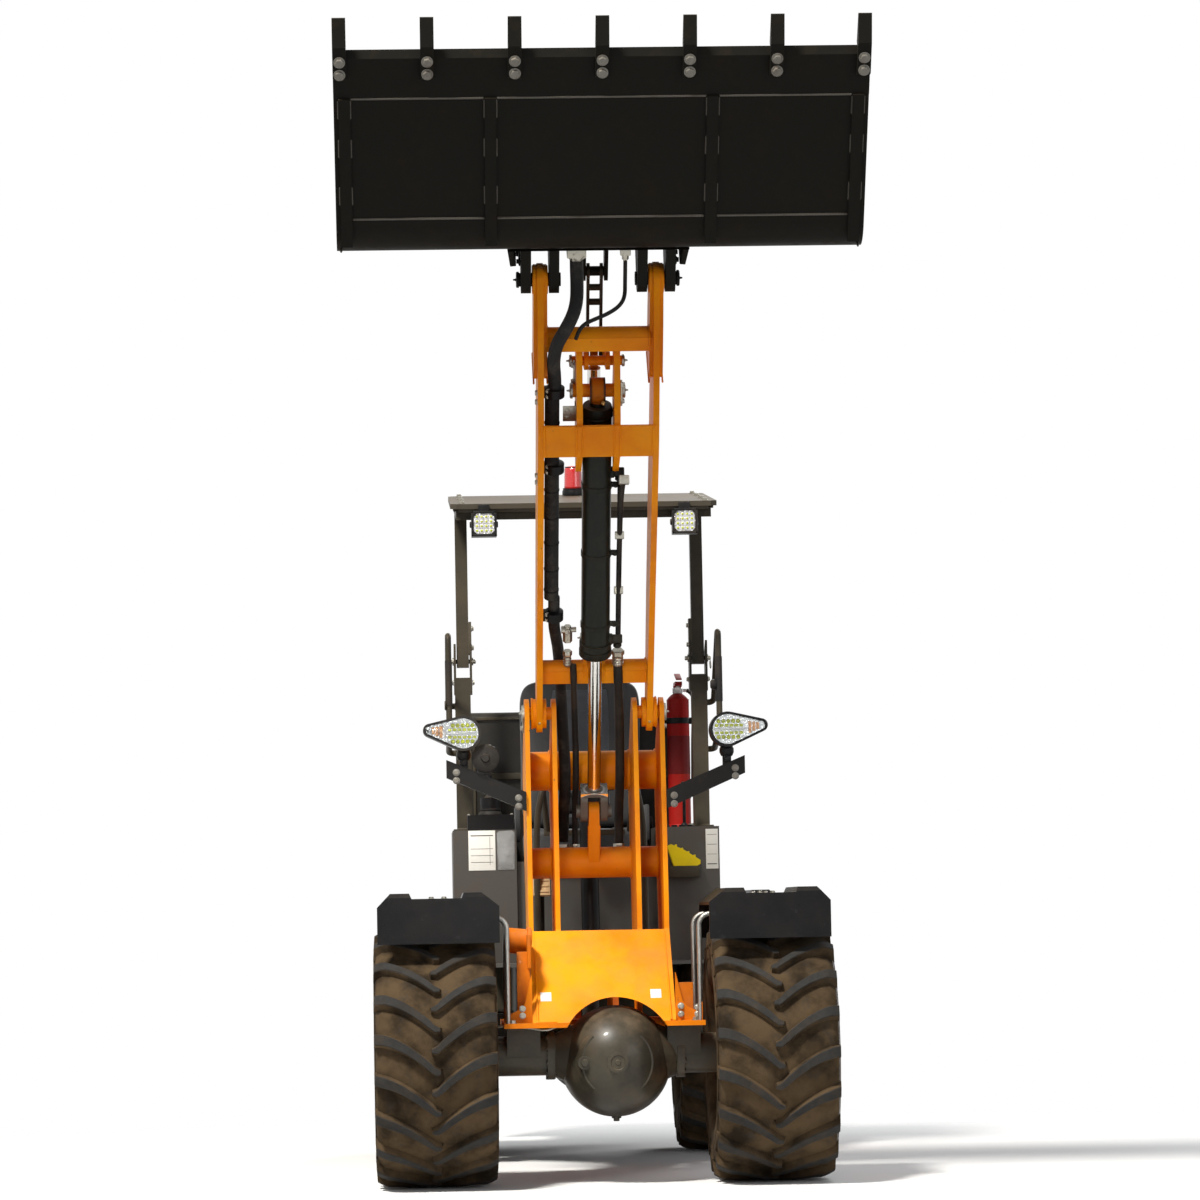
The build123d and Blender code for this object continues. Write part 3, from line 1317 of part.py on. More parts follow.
STICK = Vector(-340, back(1180), CONSOLE_TOP_Z)
with BuildPart() as joystick:
    with BuildSketch(Plane.XY.offset(STICK.Z)):
        with Locations((STICK.X, STICK.Y)):
            Rectangle(165, 110)
    extrude(amount=55)
    lengthwise(STICK + Vector(0, 0, 55), (0, 0, 1), 36, 62)
    lengthwise(STICK + Vector(0, 0, 110), (0, 0, 1), 9, 150)
    with Locations(STICK + Vector(0, 0, 270)):
        Sphere(26)
save(joystick, "control_console")

with BuildPart() as extinguisher:
    base = Vector(362, back(1500), CONSOLE_TOP_Z)
    lengthwise(base, (0, 0, 1), 41, 475)
    lengthwise(base + Vector(0, 0, 475), (0, 0, 1), 16, 50)
    block((26, 110, 14), base + Vector(0, -20, 530))
save(extinguisher, "fire_extinguisher")

# ---------------------------------------------------------------- canopy
HANDLE_X = 483.0
HANDLE_RADIUS = 11.0
POST_OUTER_X = POST_X + 2 + LOWER_POST / 2
FORK_STEP = UPPER_POST / 2 + 3 + 4
FORK_PLATE = 8.0
FORK_PIN = 8.0
with BuildPart() as lower_posts:
    for _, hand in SIDES:
        block(
            (LOWER_POST, LOWER_POST + 12, FOLD_Z - 60 - CONSOLE_TOP_Z),
            (hand * (POST_X + 2), back(POST_BACK), (FOLD_Z - 60 + CONSOLE_TOP_Z) / 2),
        )
        # fork plates that hold the folding joint
        for step in (-FORK_STEP, FORK_STEP):
            fork = outline(
                side(hand * POST_X + step),
                (
                    (back(POST_BACK) - 34, FOLD_Z - 120),
                    (back(POST_BACK) + 34, FOLD_Z - 120),
                    (back(POST_BACK) + 34, FOLD_Z + 14),
                    (back(POST_BACK) + 16, FOLD_Z + 30),
                    (back(POST_BACK) - 34, FOLD_Z + LATCH_RISE),
                ),
            )
            plate(fork, FORK_PLATE)
        crosswise(Vector(0, back(POST_BACK), FOLD_Z), FORK_PIN, 2 * FORK_STEP, x=hand * POST_X)
        loop = (
            (hand * (POST_OUTER_X - 10), back(POST_BACK), 1650),
            (hand * HANDLE_X, back(POST_BACK), 1650),
            (hand * HANDLE_X, back(1042), 1915),
            (hand * HANDLE_X, back(1042), 1560),
            (hand * HANDLE_X, back(POST_BACK), 1480),
            (hand * (POST_OUTER_X - 10), back(POST_BACK), 1480),
        )
        with BuildLine() as line:
            FilletPolyline(*loop, radius=20)
        with BuildSketch(Plane(origin=loop[0], z_dir=(hand, 0, 0))) as ring:
            Circle(HANDLE_RADIUS)
        sweep(ring.sketch, path=line.line)
save(lower_posts, "canopy_lower_posts")

ROOF_TURN = math.radians(ROOF_PITCH)
ROOF_UNDER = ROOF_PLATE / math.cos(ROOF_TURN)
ROOF_NORMAL = Vector(0, -math.sin(ROOF_TURN), math.cos(ROOF_TURN))
CANOPY_RAIL = 40.0


def roof_z(distance):
    """Height of the roof's top this far behind the front axle."""
    return ROOF_FRONT_Z + (distance - ROOF_FRONT_BACK) * math.tan(ROOF_TURN)


def under_roof(distance, drop):
    """A Y, Z point this far below the roof's underside."""
    return (back(distance), roof_z(distance) - ROOF_UNDER - drop)


with BuildPart() as canopy_frame:
    post_top = under_roof(POST_BACK, 10)[1]
    post_low = FOLD_Z - 22
    for _, hand in SIDES:
        block(
            (UPPER_POST, UPPER_POST, post_top - post_low),
            (hand * POST_X, back(POST_BACK), (post_top + post_low) / 2),
        )
        rail = outline(
            side(hand * POST_X),
            (
                under_roof(ROOF_FRONT_BACK + 30, CANOPY_RAIL),
                under_roof(ROOF_REAR_BACK - 30, CANOPY_RAIL),
                under_roof(ROOF_REAR_BACK - 30, 0),
                under_roof(ROOF_FRONT_BACK + 30, 0),
            ),
        )
        plate(rail, UPPER_POST)
        crosswise(
            Vector(0, back(POST_BACK), FOLD_Z),
            FORK_PIN + PIN_CLEAR,
            UPPER_POST + 10,
            Mode.SUBTRACT,
            hand * POST_X,
        )
    for beam_back in (ROOF_FRONT_BACK + 48, POST_BACK, ROOF_REAR_BACK - 48):
        beam_y, beam_z = under_roof(beam_back, CANOPY_RAIL / 2 + 1)
        block((2 * POST_X, 36, CANOPY_RAIL - 2), (0, beam_y, beam_z), turn=(ROOF_PITCH, 0, 0))
save(canopy_frame, "canopy_frame")

with BuildPart() as roof:
    roof_length = (ROOF_REAR_BACK - ROOF_FRONT_BACK) / math.cos(ROOF_TURN)
    roof_start = Vector(0, back(ROOF_FRONT_BACK), ROOF_FRONT_Z)
    with BuildSketch(Plane(origin=roof_start, x_dir=(1, 0, 0), z_dir=ROOF_NORMAL)):
        with Locations((0, roof_length / 2)):
            slab = Rectangle(ROOF_WIDTH, roof_length)
        chamfer(slab.vertices(), 22)
    extrude(amount=-ROOF_PLATE)
save(roof, "canopy_roof")

BEACON_BACK = 1450.0
with BuildPart() as roof_lamps:
    for _, hand in SIDES:
        block((WORK_LAMP, 62, WORK_LAMP), (hand * 353, back(ROOF_FRONT_BACK - 8), 2261))
    beacon_start = Vector(-10, back(BEACON_BACK), roof_z(BEACON_BACK))
    lengthwise(beacon_start, ROOF_NORMAL, 38, 26)
    lengthwise(beacon_start, ROOF_NORMAL, 30, 106)
save(roof_lamps, "roof_lamps")

with BuildPart() as tail_lamps:
    for _, hand in SIDES:
        block((60, 14, 110), (hand * 330, back(WEIGHT_REAR_BACK) + 7, 800))
save(tail_lamps, "tail_lamps")

# ---------------------------------------------------------------- steering cylinder
STEER_BARREL = 420.0
STEER_ROD = 405.0
STEER_BARREL_RADIUS = 28.0
STEER_ROD_RADIUS = 14.0
EYE_BOTTOM = Vector(0, 0, -STEER_EYE_HEIGHT / 2)
with BuildPart() as steering_barrel:
    lengthwise(STEER_REAR, (0, -1, 0), 16, 60)
    lengthwise(STEER_REAR - Vector(0, 40, 0), (0, -1, 0), STEER_BARREL_RADIUS, STEER_BARREL - 40)
    lengthwise(STEER_REAR + EYE_BOTTOM, (0, 0, 1), STEER_EYE, STEER_EYE_HEIGHT)
    lengthwise(
        STEER_REAR + EYE_BOTTOM, (0, 0, 1), STEER_PIN + PIN_CLEAR, STEER_EYE_HEIGHT, Mode.SUBTRACT
    )
    lengthwise(
        STEER_REAR - Vector(0, 70, 0),
        (0, -1, 0),
        STEER_ROD_RADIUS + PIN_CLEAR,
        STEER_BARREL,
        Mode.SUBTRACT,
    )
save(steering_barrel, "steering_barrel")
with BuildPart() as steering_rod:
    lengthwise(STEER_FRONT, (0, 1, 0), STEER_ROD_RADIUS, STEER_ROD)
    lengthwise(STEER_FRONT + EYE_BOTTOM, (0, 0, 1), STEER_EYE - 2, STEER_EYE_HEIGHT)
save(steering_rod, "steering_rod")

# ---------------------------------------------------------------- hoses held along the arm
HOSE_X = -148.0
HOSE_RADIUS = 24.0
HOSE_RUN = (
    # share of the arm's length, up from its line
    (0.785, -75.0),
    (0.69, -75.0),
    (0.30, -62.0),
)
with BuildPart() as arm_hoses:
    run = [on_arm(share * ARM_LENGTH, up) + Vector(HOSE_X, 0, 0) for share, up in HOSE_RUN]
    with BuildLine() as line:
        FilletPolyline(*run, radius=60)
    with BuildSketch(Plane(origin=run[0], z_dir=(run[1] - run[0]).normalized())) as ring:
        Circle(HOSE_RADIUS)
    sweep(ring.sketch, path=line.line)
save(arm_hoses, "arm_hoses")
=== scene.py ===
# %% [markdown]
# # A compact wheel loader, dressed for the studio
# The loader's solids come from a packed CAD model: frames, arm, cylinders, wheels and canopy, each
# riding on its own moving body.  This lesson gives them real finishes and adds what solids leave
# out: rubber lugs, bolts, weld beads, lamp glass, hoses and a sewn seat.

# %% Load the CAD model and keep its size
import json
import math

import bmesh
import bpy
from mathutils import Matrix, Vector
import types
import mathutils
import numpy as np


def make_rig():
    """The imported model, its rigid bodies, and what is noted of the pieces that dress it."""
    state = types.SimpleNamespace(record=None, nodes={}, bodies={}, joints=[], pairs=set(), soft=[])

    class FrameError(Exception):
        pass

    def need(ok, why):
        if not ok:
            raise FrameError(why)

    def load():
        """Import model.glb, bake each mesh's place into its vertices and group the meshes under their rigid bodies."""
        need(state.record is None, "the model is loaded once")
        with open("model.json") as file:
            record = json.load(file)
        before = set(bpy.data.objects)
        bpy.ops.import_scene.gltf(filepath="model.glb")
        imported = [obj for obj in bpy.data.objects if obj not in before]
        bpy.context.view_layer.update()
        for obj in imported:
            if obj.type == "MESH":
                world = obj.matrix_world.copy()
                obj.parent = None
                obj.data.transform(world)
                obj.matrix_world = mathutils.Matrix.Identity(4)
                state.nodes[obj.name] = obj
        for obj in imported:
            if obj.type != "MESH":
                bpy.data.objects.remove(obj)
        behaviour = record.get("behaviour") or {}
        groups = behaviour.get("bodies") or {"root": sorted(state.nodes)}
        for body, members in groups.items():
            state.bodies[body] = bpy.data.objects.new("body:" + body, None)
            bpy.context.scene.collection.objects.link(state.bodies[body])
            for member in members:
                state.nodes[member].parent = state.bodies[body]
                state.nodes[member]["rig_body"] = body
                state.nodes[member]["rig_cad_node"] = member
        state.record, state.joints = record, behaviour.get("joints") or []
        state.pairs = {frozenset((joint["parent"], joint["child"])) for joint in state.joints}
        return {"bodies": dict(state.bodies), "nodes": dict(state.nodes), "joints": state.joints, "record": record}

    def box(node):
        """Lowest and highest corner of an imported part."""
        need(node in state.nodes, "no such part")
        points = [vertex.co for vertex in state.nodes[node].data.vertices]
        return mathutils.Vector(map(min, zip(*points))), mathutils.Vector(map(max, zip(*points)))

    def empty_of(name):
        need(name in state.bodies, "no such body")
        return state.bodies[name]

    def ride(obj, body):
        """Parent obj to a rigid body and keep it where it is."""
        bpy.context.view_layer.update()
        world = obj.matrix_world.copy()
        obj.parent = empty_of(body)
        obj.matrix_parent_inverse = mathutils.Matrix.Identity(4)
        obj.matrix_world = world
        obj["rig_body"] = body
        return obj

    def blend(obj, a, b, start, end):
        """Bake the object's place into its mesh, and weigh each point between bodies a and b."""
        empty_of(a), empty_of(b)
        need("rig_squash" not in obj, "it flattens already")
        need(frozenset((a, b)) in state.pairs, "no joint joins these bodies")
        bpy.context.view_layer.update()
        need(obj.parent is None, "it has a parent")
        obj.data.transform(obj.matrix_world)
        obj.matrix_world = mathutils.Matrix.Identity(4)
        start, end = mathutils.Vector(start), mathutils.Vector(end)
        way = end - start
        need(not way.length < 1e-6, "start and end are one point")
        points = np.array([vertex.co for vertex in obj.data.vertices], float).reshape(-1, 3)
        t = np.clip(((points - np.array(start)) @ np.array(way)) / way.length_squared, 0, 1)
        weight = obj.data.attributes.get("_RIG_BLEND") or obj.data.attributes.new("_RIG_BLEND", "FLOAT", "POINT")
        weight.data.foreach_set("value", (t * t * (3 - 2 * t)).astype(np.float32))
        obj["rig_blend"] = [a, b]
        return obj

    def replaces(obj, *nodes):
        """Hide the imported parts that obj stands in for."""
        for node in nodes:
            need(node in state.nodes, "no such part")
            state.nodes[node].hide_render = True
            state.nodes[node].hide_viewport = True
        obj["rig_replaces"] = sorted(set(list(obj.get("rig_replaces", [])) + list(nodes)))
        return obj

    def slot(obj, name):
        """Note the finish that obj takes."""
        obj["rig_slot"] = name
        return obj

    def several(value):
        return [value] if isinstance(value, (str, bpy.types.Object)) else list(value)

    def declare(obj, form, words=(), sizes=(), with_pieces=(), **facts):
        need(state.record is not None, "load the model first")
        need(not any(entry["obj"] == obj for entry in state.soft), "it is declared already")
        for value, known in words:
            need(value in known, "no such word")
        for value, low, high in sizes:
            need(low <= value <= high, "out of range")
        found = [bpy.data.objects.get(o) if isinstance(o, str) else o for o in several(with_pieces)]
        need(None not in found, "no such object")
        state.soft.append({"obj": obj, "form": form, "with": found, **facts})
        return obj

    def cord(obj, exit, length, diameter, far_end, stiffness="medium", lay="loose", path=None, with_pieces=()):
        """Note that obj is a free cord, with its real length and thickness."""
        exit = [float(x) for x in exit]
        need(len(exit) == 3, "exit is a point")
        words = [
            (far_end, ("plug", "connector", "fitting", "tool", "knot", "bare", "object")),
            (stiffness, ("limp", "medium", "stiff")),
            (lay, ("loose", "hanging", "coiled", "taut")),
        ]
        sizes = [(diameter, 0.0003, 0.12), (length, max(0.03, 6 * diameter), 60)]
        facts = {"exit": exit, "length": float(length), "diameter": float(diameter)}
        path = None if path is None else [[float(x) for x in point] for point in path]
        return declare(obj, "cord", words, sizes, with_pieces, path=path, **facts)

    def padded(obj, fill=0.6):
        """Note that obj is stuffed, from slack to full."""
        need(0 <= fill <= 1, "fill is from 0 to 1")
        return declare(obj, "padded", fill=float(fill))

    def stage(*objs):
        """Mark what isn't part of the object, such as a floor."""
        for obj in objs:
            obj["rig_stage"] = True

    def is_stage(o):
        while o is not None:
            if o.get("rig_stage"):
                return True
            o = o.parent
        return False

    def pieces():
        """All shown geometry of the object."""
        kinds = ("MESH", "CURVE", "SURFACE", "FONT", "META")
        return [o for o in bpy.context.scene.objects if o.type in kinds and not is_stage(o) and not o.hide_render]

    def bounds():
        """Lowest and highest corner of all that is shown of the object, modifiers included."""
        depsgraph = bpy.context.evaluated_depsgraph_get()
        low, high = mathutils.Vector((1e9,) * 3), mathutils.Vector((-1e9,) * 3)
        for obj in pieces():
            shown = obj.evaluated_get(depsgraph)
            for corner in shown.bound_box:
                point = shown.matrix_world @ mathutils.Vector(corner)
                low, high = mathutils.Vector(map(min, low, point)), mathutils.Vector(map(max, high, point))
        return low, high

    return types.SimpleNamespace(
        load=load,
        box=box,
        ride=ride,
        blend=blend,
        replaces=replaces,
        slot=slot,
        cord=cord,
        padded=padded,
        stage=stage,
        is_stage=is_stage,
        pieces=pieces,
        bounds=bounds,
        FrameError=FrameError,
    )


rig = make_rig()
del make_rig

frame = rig.load()
cad_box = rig.bounds()
nodes = frame["nodes"]
joints = {joint["name"]: joint for joint in frame["joints"]}
scene = bpy.context.scene
print("CAD box", [tuple(round(v, 3) for v in corner) for corner in cad_box])


# %% [markdown]
# ## Places on the machine
# Pieces must sit on the solids exactly, so every position is worked out from the model's own nodes
# and hinges.  Small helpers turn "how far behind the front axle", "how far along the arm" and "how
# far along the bucket's floor" into points in space.

# %% Reading the model
def middle(node):
    """Centre of a CAD node's box."""
    low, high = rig.box(node)
    return (low + high) / 2


def plain(name):
    """A material's name without Blender's number for a second one of that name."""
    return name.split(".")[0]


def hinge(joint):
    """Where a joint sits."""
    return Vector(joints[joint]["pos_m"])


print(len(nodes), "nodes and", len(joints), "joints")

# %% Directions, axles, arm line and bucket floor
X_WAY = Vector((1, 0, 0))
UP, DOWN, AHEAD, REARWARD = (Vector(way) for way in ((0, 0, 1), (0, 0, -1), (0, -1, 0), (0, 1, 0)))
HANDS = (-1, 1)
SIDES = ((-1, "right"), (1, "left"))
WHEELS = ("front_left", "front_right", "rear_left", "rear_right")
FRONT_AXLE = middle("front_left_tyre").y
REAR_AXLE = middle("rear_left_tyre").y
TYRE_R = middle("front_left_tyre").z
WHEEL_Z = TYRE_R  # the tyres stand on the ground
ARM_PIVOT = hinge("arm_lift")
BUCKET_PIN = hinge("bucket_tilt")
ARM_WAY = (BUCKET_PIN - ARM_PIVOT).normalized()
ARM_UP = Vector((0, ARM_WAY.z, -ARM_WAY.y))
BUCKET_PITCH = math.radians(57)
TO_EDGE = Vector((0, -math.cos(BUCKET_PITCH), math.sin(BUCKET_PITCH)))
TO_INSIDE = Vector((0, math.sin(BUCKET_PITCH), math.cos(BUCKET_PITCH)))
PIN_BEHIND_HEEL, PIN_OVER_FLOOR = 0.140, 0.165
HEEL = BUCKET_PIN + TO_EDGE * PIN_BEHIND_HEEL - TO_INSIDE * PIN_OVER_FLOOR
print("arm up", [round(v, 3) for v in ARM_UP], "wheelbase", round(REAR_AXLE - FRONT_AXLE, 3))

# %% Ways to name a place
def back(distance):
    """Y of a place this far behind the front axle."""
    return FRONT_AXLE + distance


def at_x(x, point):
    """The same place, moved to a crosswise x."""
    return Vector((x, point.y, point.z))


def on_arm(distance, up, x):
    """A point along the arm, up from its line, at a crosswise x."""
    return at_x(x, ARM_PIVOT + ARM_WAY * distance + ARM_UP * up)


def in_bucket(forward, up, x):
    """A point in the bucket: forward along its floor from the heel, up from the floor."""
    return at_x(x, HEEL + TO_EDGE * forward + TO_INSIDE * up)


def across(way):
    """A turn that keeps X and lays Y along a direction."""
    return Matrix((X_WAY, way, X_WAY.cross(way))).transposed()


def tilted(degrees, axis="X"):
    """A turn about one axis."""
    return Matrix.Rotation(math.radians(degrees), 3, axis)


def circle(count, radius, start=0.0):
    """Places round a circle, as (number, radius x cosine, radius x sine)."""
    for n in range(count):
        angle = 2 * math.pi * (n + start) / count
        yield n, radius * math.cos(angle), radius * math.sin(angle)


def run_of(maker, *places):
    """A route of places, each made from its row of numbers."""
    return [maker(*place) for place in places]


def line_of(*places):
    """A route of plain places."""
    return [Vector(place) for place in places]


print("bucket heel", [round(v, 3) for v in in_bucket(0, 0, 0)])


# %% [markdown]
# ## Studio
# The machine stands on a pale floor in a bright room.  The world glows evenly for soft fill, three
# soft lamps give the shading its direction, and a narrow spot reaches in under the arm to the
# tower.  Rays that come straight from the camera, or by a mirror or through glass, see plain white
# behind everything.

# %% World
world = bpy.data.worlds.new("studio")
scene.world = world
world.use_nodes = True
sky = world.node_tree.nodes
sky.clear()
fill_light, backdrop = (sky.new("ShaderNodeBackground") for _ in range(2))
for glow, colour, strength in ((fill_light, (0.93, 0.96, 1.0), 0.28), (backdrop, (1, 1, 1), 1.0)):
    glow.inputs["Color"].default_value = (*colour, 1)
    glow.inputs["Strength"].default_value = strength
path = sky.new("ShaderNodeLightPath")
seen, mirrored = (sky.new("ShaderNodeMath") for _ in range(2))
seen.operation = mirrored.operation = "MAXIMUM"
choose = sky.new("ShaderNodeMixShader")
room = sky.new("ShaderNodeOutputWorld")
for source, target in (
    (path.outputs["Is Glossy Ray"], mirrored.inputs[0]),
    (path.outputs["Is Transmission Ray"], mirrored.inputs[1]),
    (path.outputs["Is Camera Ray"], seen.inputs[0]),
    (mirrored.outputs[0], seen.inputs[1]),
    (seen.outputs[0], choose.inputs[0]),
    (fill_light.outputs[0], choose.inputs[1]),
    (backdrop.outputs[0], choose.inputs[2]),
    (choose.outputs[0], room.inputs["Surface"]),
):
    world.node_tree.links.new(source, target)
print(len(sky), "nodes light the room")

# %% Lamps
def lamp(kind, name, place, target, power, colour, **settings):
    """A lamp that looks at a target; the settings are its kind's own."""
    data = bpy.data.lights.new(name, kind)
    data.energy = power
    data.color = colour
    for key, value in settings.items():
        setattr(data, key, value)
    made = bpy.data.objects.new(name, data)
    scene.collection.objects.link(made)
    made.location = place
    made.rotation_euler = (Vector(target) - Vector(place)).to_track_quat("-Z", "Y").to_euler()


lamp("AREA", "sun_side", (-3.6, -6.2, 10.6), (0, -0.4, 1.2), 2350, (1.0, 0.97, 0.91), size=1.6)
lamp("AREA", "front_fill", (6.0, -9.0, 4.5), (0, -0.5, 1.5), 150, (0.95, 0.97, 1.0), size=4.0)
lamp("AREA", "rear_rim", (4.0, 8.0, 6.5), (0, 0.5, 1.5), 520, (1.0, 1.0, 1.0), size=4.0)
lamp(
    "SPOT", "tower_kicker", (-1.2, -8.0, 2.3), (0, 0.4, 1.25), 620, (1.0, 0.96, 0.9),
    spot_size=math.radians(13), spot_blend=0.7, shadow_soft_size=0.5,
)
print("lamps", [o.name for o in scene.objects if o.type == "LIGHT"])

# %% Camera
# a long lens from low in front, as far away as its perspective asks
VIEW_YAW, VIEW_PITCH, VIEW_ROLL = 0.0439, 0.0709, -0.0186
SENSOR_MM, LENS_MM = 36.0, 131.3661
level = Vector((math.sin(VIEW_YAW), math.cos(VIEW_YAW), 0))
forward = level * math.cos(VIEW_PITCH) + UP * math.sin(VIEW_PITCH)
level_right = Vector((math.cos(VIEW_YAW), -math.sin(VIEW_YAW), 0))
level_up = level_right.cross(forward)
right = level_right * math.cos(VIEW_ROLL) + level_up * math.sin(VIEW_ROLL)
view_up = level_up * math.cos(VIEW_ROLL) - level_right * math.sin(VIEW_ROLL)
camera_data = bpy.data.cameras.new("camera")
camera_data.sensor_width = SENSOR_MM
camera_data.lens = LENS_MM
camera_data.clip_end = 200
camera = bpy.data.objects.new("camera", camera_data)
scene.collection.objects.link(camera)
turn = Matrix((right, view_up, -forward)).transposed().to_4x4()
camera.matrix_world = Matrix.Translation((-0.623, back(-14.5707), 0.8989)) @ turn
scene.camera = camera
scene.view_settings.view_transform = "Standard"
print("lens", round(camera_data.lens, 1), "mm")


# %% [markdown]
# ## Shader maths as plain expressions
# A finish is a small graph of nodes.  Wiring each Math node by hand hides the idea, so a value in
# the graph is wrapped in a class that knows +, - and *, from either side.  `1 - mask` then builds
# its own node, and one method makes every other kind of node.

# %% Values
class Value:
    """One output of a shader graph, usable in arithmetic."""

    def __init__(self, finish, socket):
        self.finish = finish
        self.socket = socket

    def __add__(self, other):
        return self.finish.maths("ADD", self, other)

    def __radd__(self, other):
        return self.finish.maths("ADD", other, self)

    def __sub__(self, other):
        return self.finish.maths("SUBTRACT", self, other)

    def __rsub__(self, other):
        return self.finish.maths("SUBTRACT", other, self)

    def __mul__(self, other):
        return self.finish.maths("MULTIPLY", self, other)

    def __rmul__(self, other):
        return self.finish.maths("MULTIPLY", other, self)

    def between(self, low, high):
        """0 below low, 1 above high, smooth in between."""
        settings = {"interpolation_type": "SMOOTHSTEP"}
        return self.finish.node("ShaderNodeMapRange", settings, {0: self, 1: low, 2: high})


print("values add, take away and multiply from either side")

# %% A finish and its nodes
class Finish:
    """One material and the few moves that its graph needs."""

    def __init__(self, name, metallic=0.0, specular=0.5, coat=0.0, sheen=0.0):
        self.material = bpy.data.materials.new(name)
        self.material.use_nodes = True
        self.tree = self.material.node_tree
        self.shader = self.tree.nodes["Principled BSDF"]
        self.use(
            Metallic=metallic, Specular_IOR_Level=specular, Coat_Weight=coat, Sheen_Weight=sheen
        )
        self.places = self.node("ShaderNodeTexCoord", output="Object")

    def fill(self, socket, value):
        """Links a value to a socket, or sets a number or a colour there."""
        if isinstance(value, Value):
            self.tree.links.new(value.socket, socket)
        elif isinstance(value, tuple) and socket.type == "RGBA":
            socket.default_value = (*value, 1)
        else:
            socket.default_value = value

    def node(self, kind, settings=None, values=None, output=0):
        """Any node: its settings first, then the values or links of its sockets."""
        made = self.tree.nodes.new(kind)
        for key, setting in (settings or {}).items():
            setattr(made, key, setting)
        for key, value in (values or {}).items():
            self.fill(made.inputs[key], value)
        return Value(self, made.outputs[output])

    def maths(self, operation, *values):
        """A Math node on values or numbers."""
        return self.node("ShaderNodeMath", {"operation": operation}, dict(enumerate(values)))

    def noise(self, scale, detail=3.0, roughness=0.55, stretch=(1, 1, 1)):
        """Cloudy values from 0 to 1, scale in features to the metre."""
        place = self.node("ShaderNodeMapping", values={0: self.places, 3: stretch})
        values = {"Vector": place, "Scale": scale, "Detail": detail, "Roughness": roughness}
        return self.node("ShaderNodeTexNoise", values=values)

    def cells(self, scale):
        """Distances inside a field of random cells."""
        values = {"Vector": self.places, "Scale": scale}
        return self.node("ShaderNodeTexVoronoi", values=values, output="Distance")

    def waves(self, direction, scale):
        """Straight ribs across a direction."""
        values = {"Vector": self.places, "Scale": scale}
        return self.node("ShaderNodeTexWave", {"bands_direction": direction}, values)

    def along(self, axis, source=None):
        """The X, Y or Z coordinate in metres, or that of another vector."""
        return self.node("ShaderNodeSeparateXYZ", values={0: source or self.places}, output=axis)

    def facing_up(self):
        """How far the surface faces up, -1 to 1, in its own body."""
        return self.along(2, self.node("ShaderNodeTexCoord", output="Normal"))

    def distance(self, place=(0, 0, 0)):
        """Metres from a place."""
        offset = self.node(
            "ShaderNodeVectorMath", {"operation": "SUBTRACT"}, {0: self.places, 1: place}
        )
        return self.node("ShaderNodeVectorMath", {"operation": "LENGTH"}, {0: offset}, "Value")

    def mix(self, first, second, mask):
        """First colour where the mask is 0, second where it is 1."""
        values = {0: mask, 6: first, 7: second}
        return self.node("ShaderNodeMix", {"data_type": "RGBA"}, values, output=2)

    def bump(self, height, depth):
        """Small relief, depth in metres."""
        values = {"Height": height, "Distance": depth, "Strength": 1.0}
        return self.node("ShaderNodeBump", values=values, output="Normal")

    def use(self, **values):
        """Link or set the shader's own sockets by name."""
        for name, value in values.items():
            self.fill(self.shader.inputs[name.replace("_", " ")], value)
        return self.material


print("a finish can", [move for move in vars(Finish) if not move.startswith("_")])

# %% Colours
def from_bytes(red, green, blue):
    """A colour as it is seen, from 0 to 255, turned into the linear light that shaders use."""

    def linear(byte):
        share = byte / 255
        return share / 12.92 if share <= 0.04045 else ((share + 0.055) / 1.055) ** 2.4

    return (linear(red), linear(green), linear(blue))


def scaled(colour, factor, lift=0.0):
    """A lighter or darker colour."""
    return tuple(part * factor + lift for part in colour)


print("paint orange", [round(v, 3) for v in from_bytes(250, 165, 0)])


# %% [markdown]
# ## Finishes that tell a working life
# A loader that has moved earth is never one flat colour.  Paint fades in clouds, chips down to dull
# primer, and tan dust settles wherever a surface looks up.  Each finish below layers those few
# masks over its base colour, and the same masks make the dust rough and the chips sunken.

# %% Worn paint
DUST = from_bytes(142, 120, 92)
DIRT = from_bytes(70, 55, 40)
PRIMER = (0.05, 0.035, 0.025)
DULL_SPECULAR = 0.12


def worn_paint(name, colour, shade, dust=0.5, chips=0.5, gloss=DULL_SPECULAR, rough=0.42):
    """Sprayed paint with cloudy fading, settled dust, runs of dirt and small chips."""
    finish = Finish(name, coat=gloss * 0.2, specular=gloss)
    clouds = finish.noise(3.5, 5)
    fine = finish.noise(60, 4, 0.6)
    looks_up = finish.facing_up().between(0.1, 0.95)
    settled = looks_up * finish.noise(9, 6, 0.65).between(0.34, 0.66) * dust
    film = finish.noise(6, 5, 0.7).between(0.42, 0.72) * (dust * 0.35)
    runs = finish.noise(14, 4, 0.6, stretch=(1, 1, 0.12)).between(0.6, 0.75) * (dust * 0.5)
    chip_edge = 0.7 - chips * 0.06
    chipped = finish.noise(48, 6, 0.72).between(chip_edge, chip_edge + 0.025)
    paint = finish.mix(colour, shade, clouds.between(0.35, 0.7))
    chipped_paint = finish.mix(finish.mix(paint, DIRT, runs), PRIMER, chipped)
    return finish.use(
        Base_Color=finish.mix(chipped_paint, DUST, settled + film),
        Roughness=rough + settled * 0.4 + runs * 0.2 + fine * 0.06,
        Normal=finish.bump(fine * 0.15 - chipped, 0.0004),
    )


print("dust", [round(v, 3) for v in DUST])

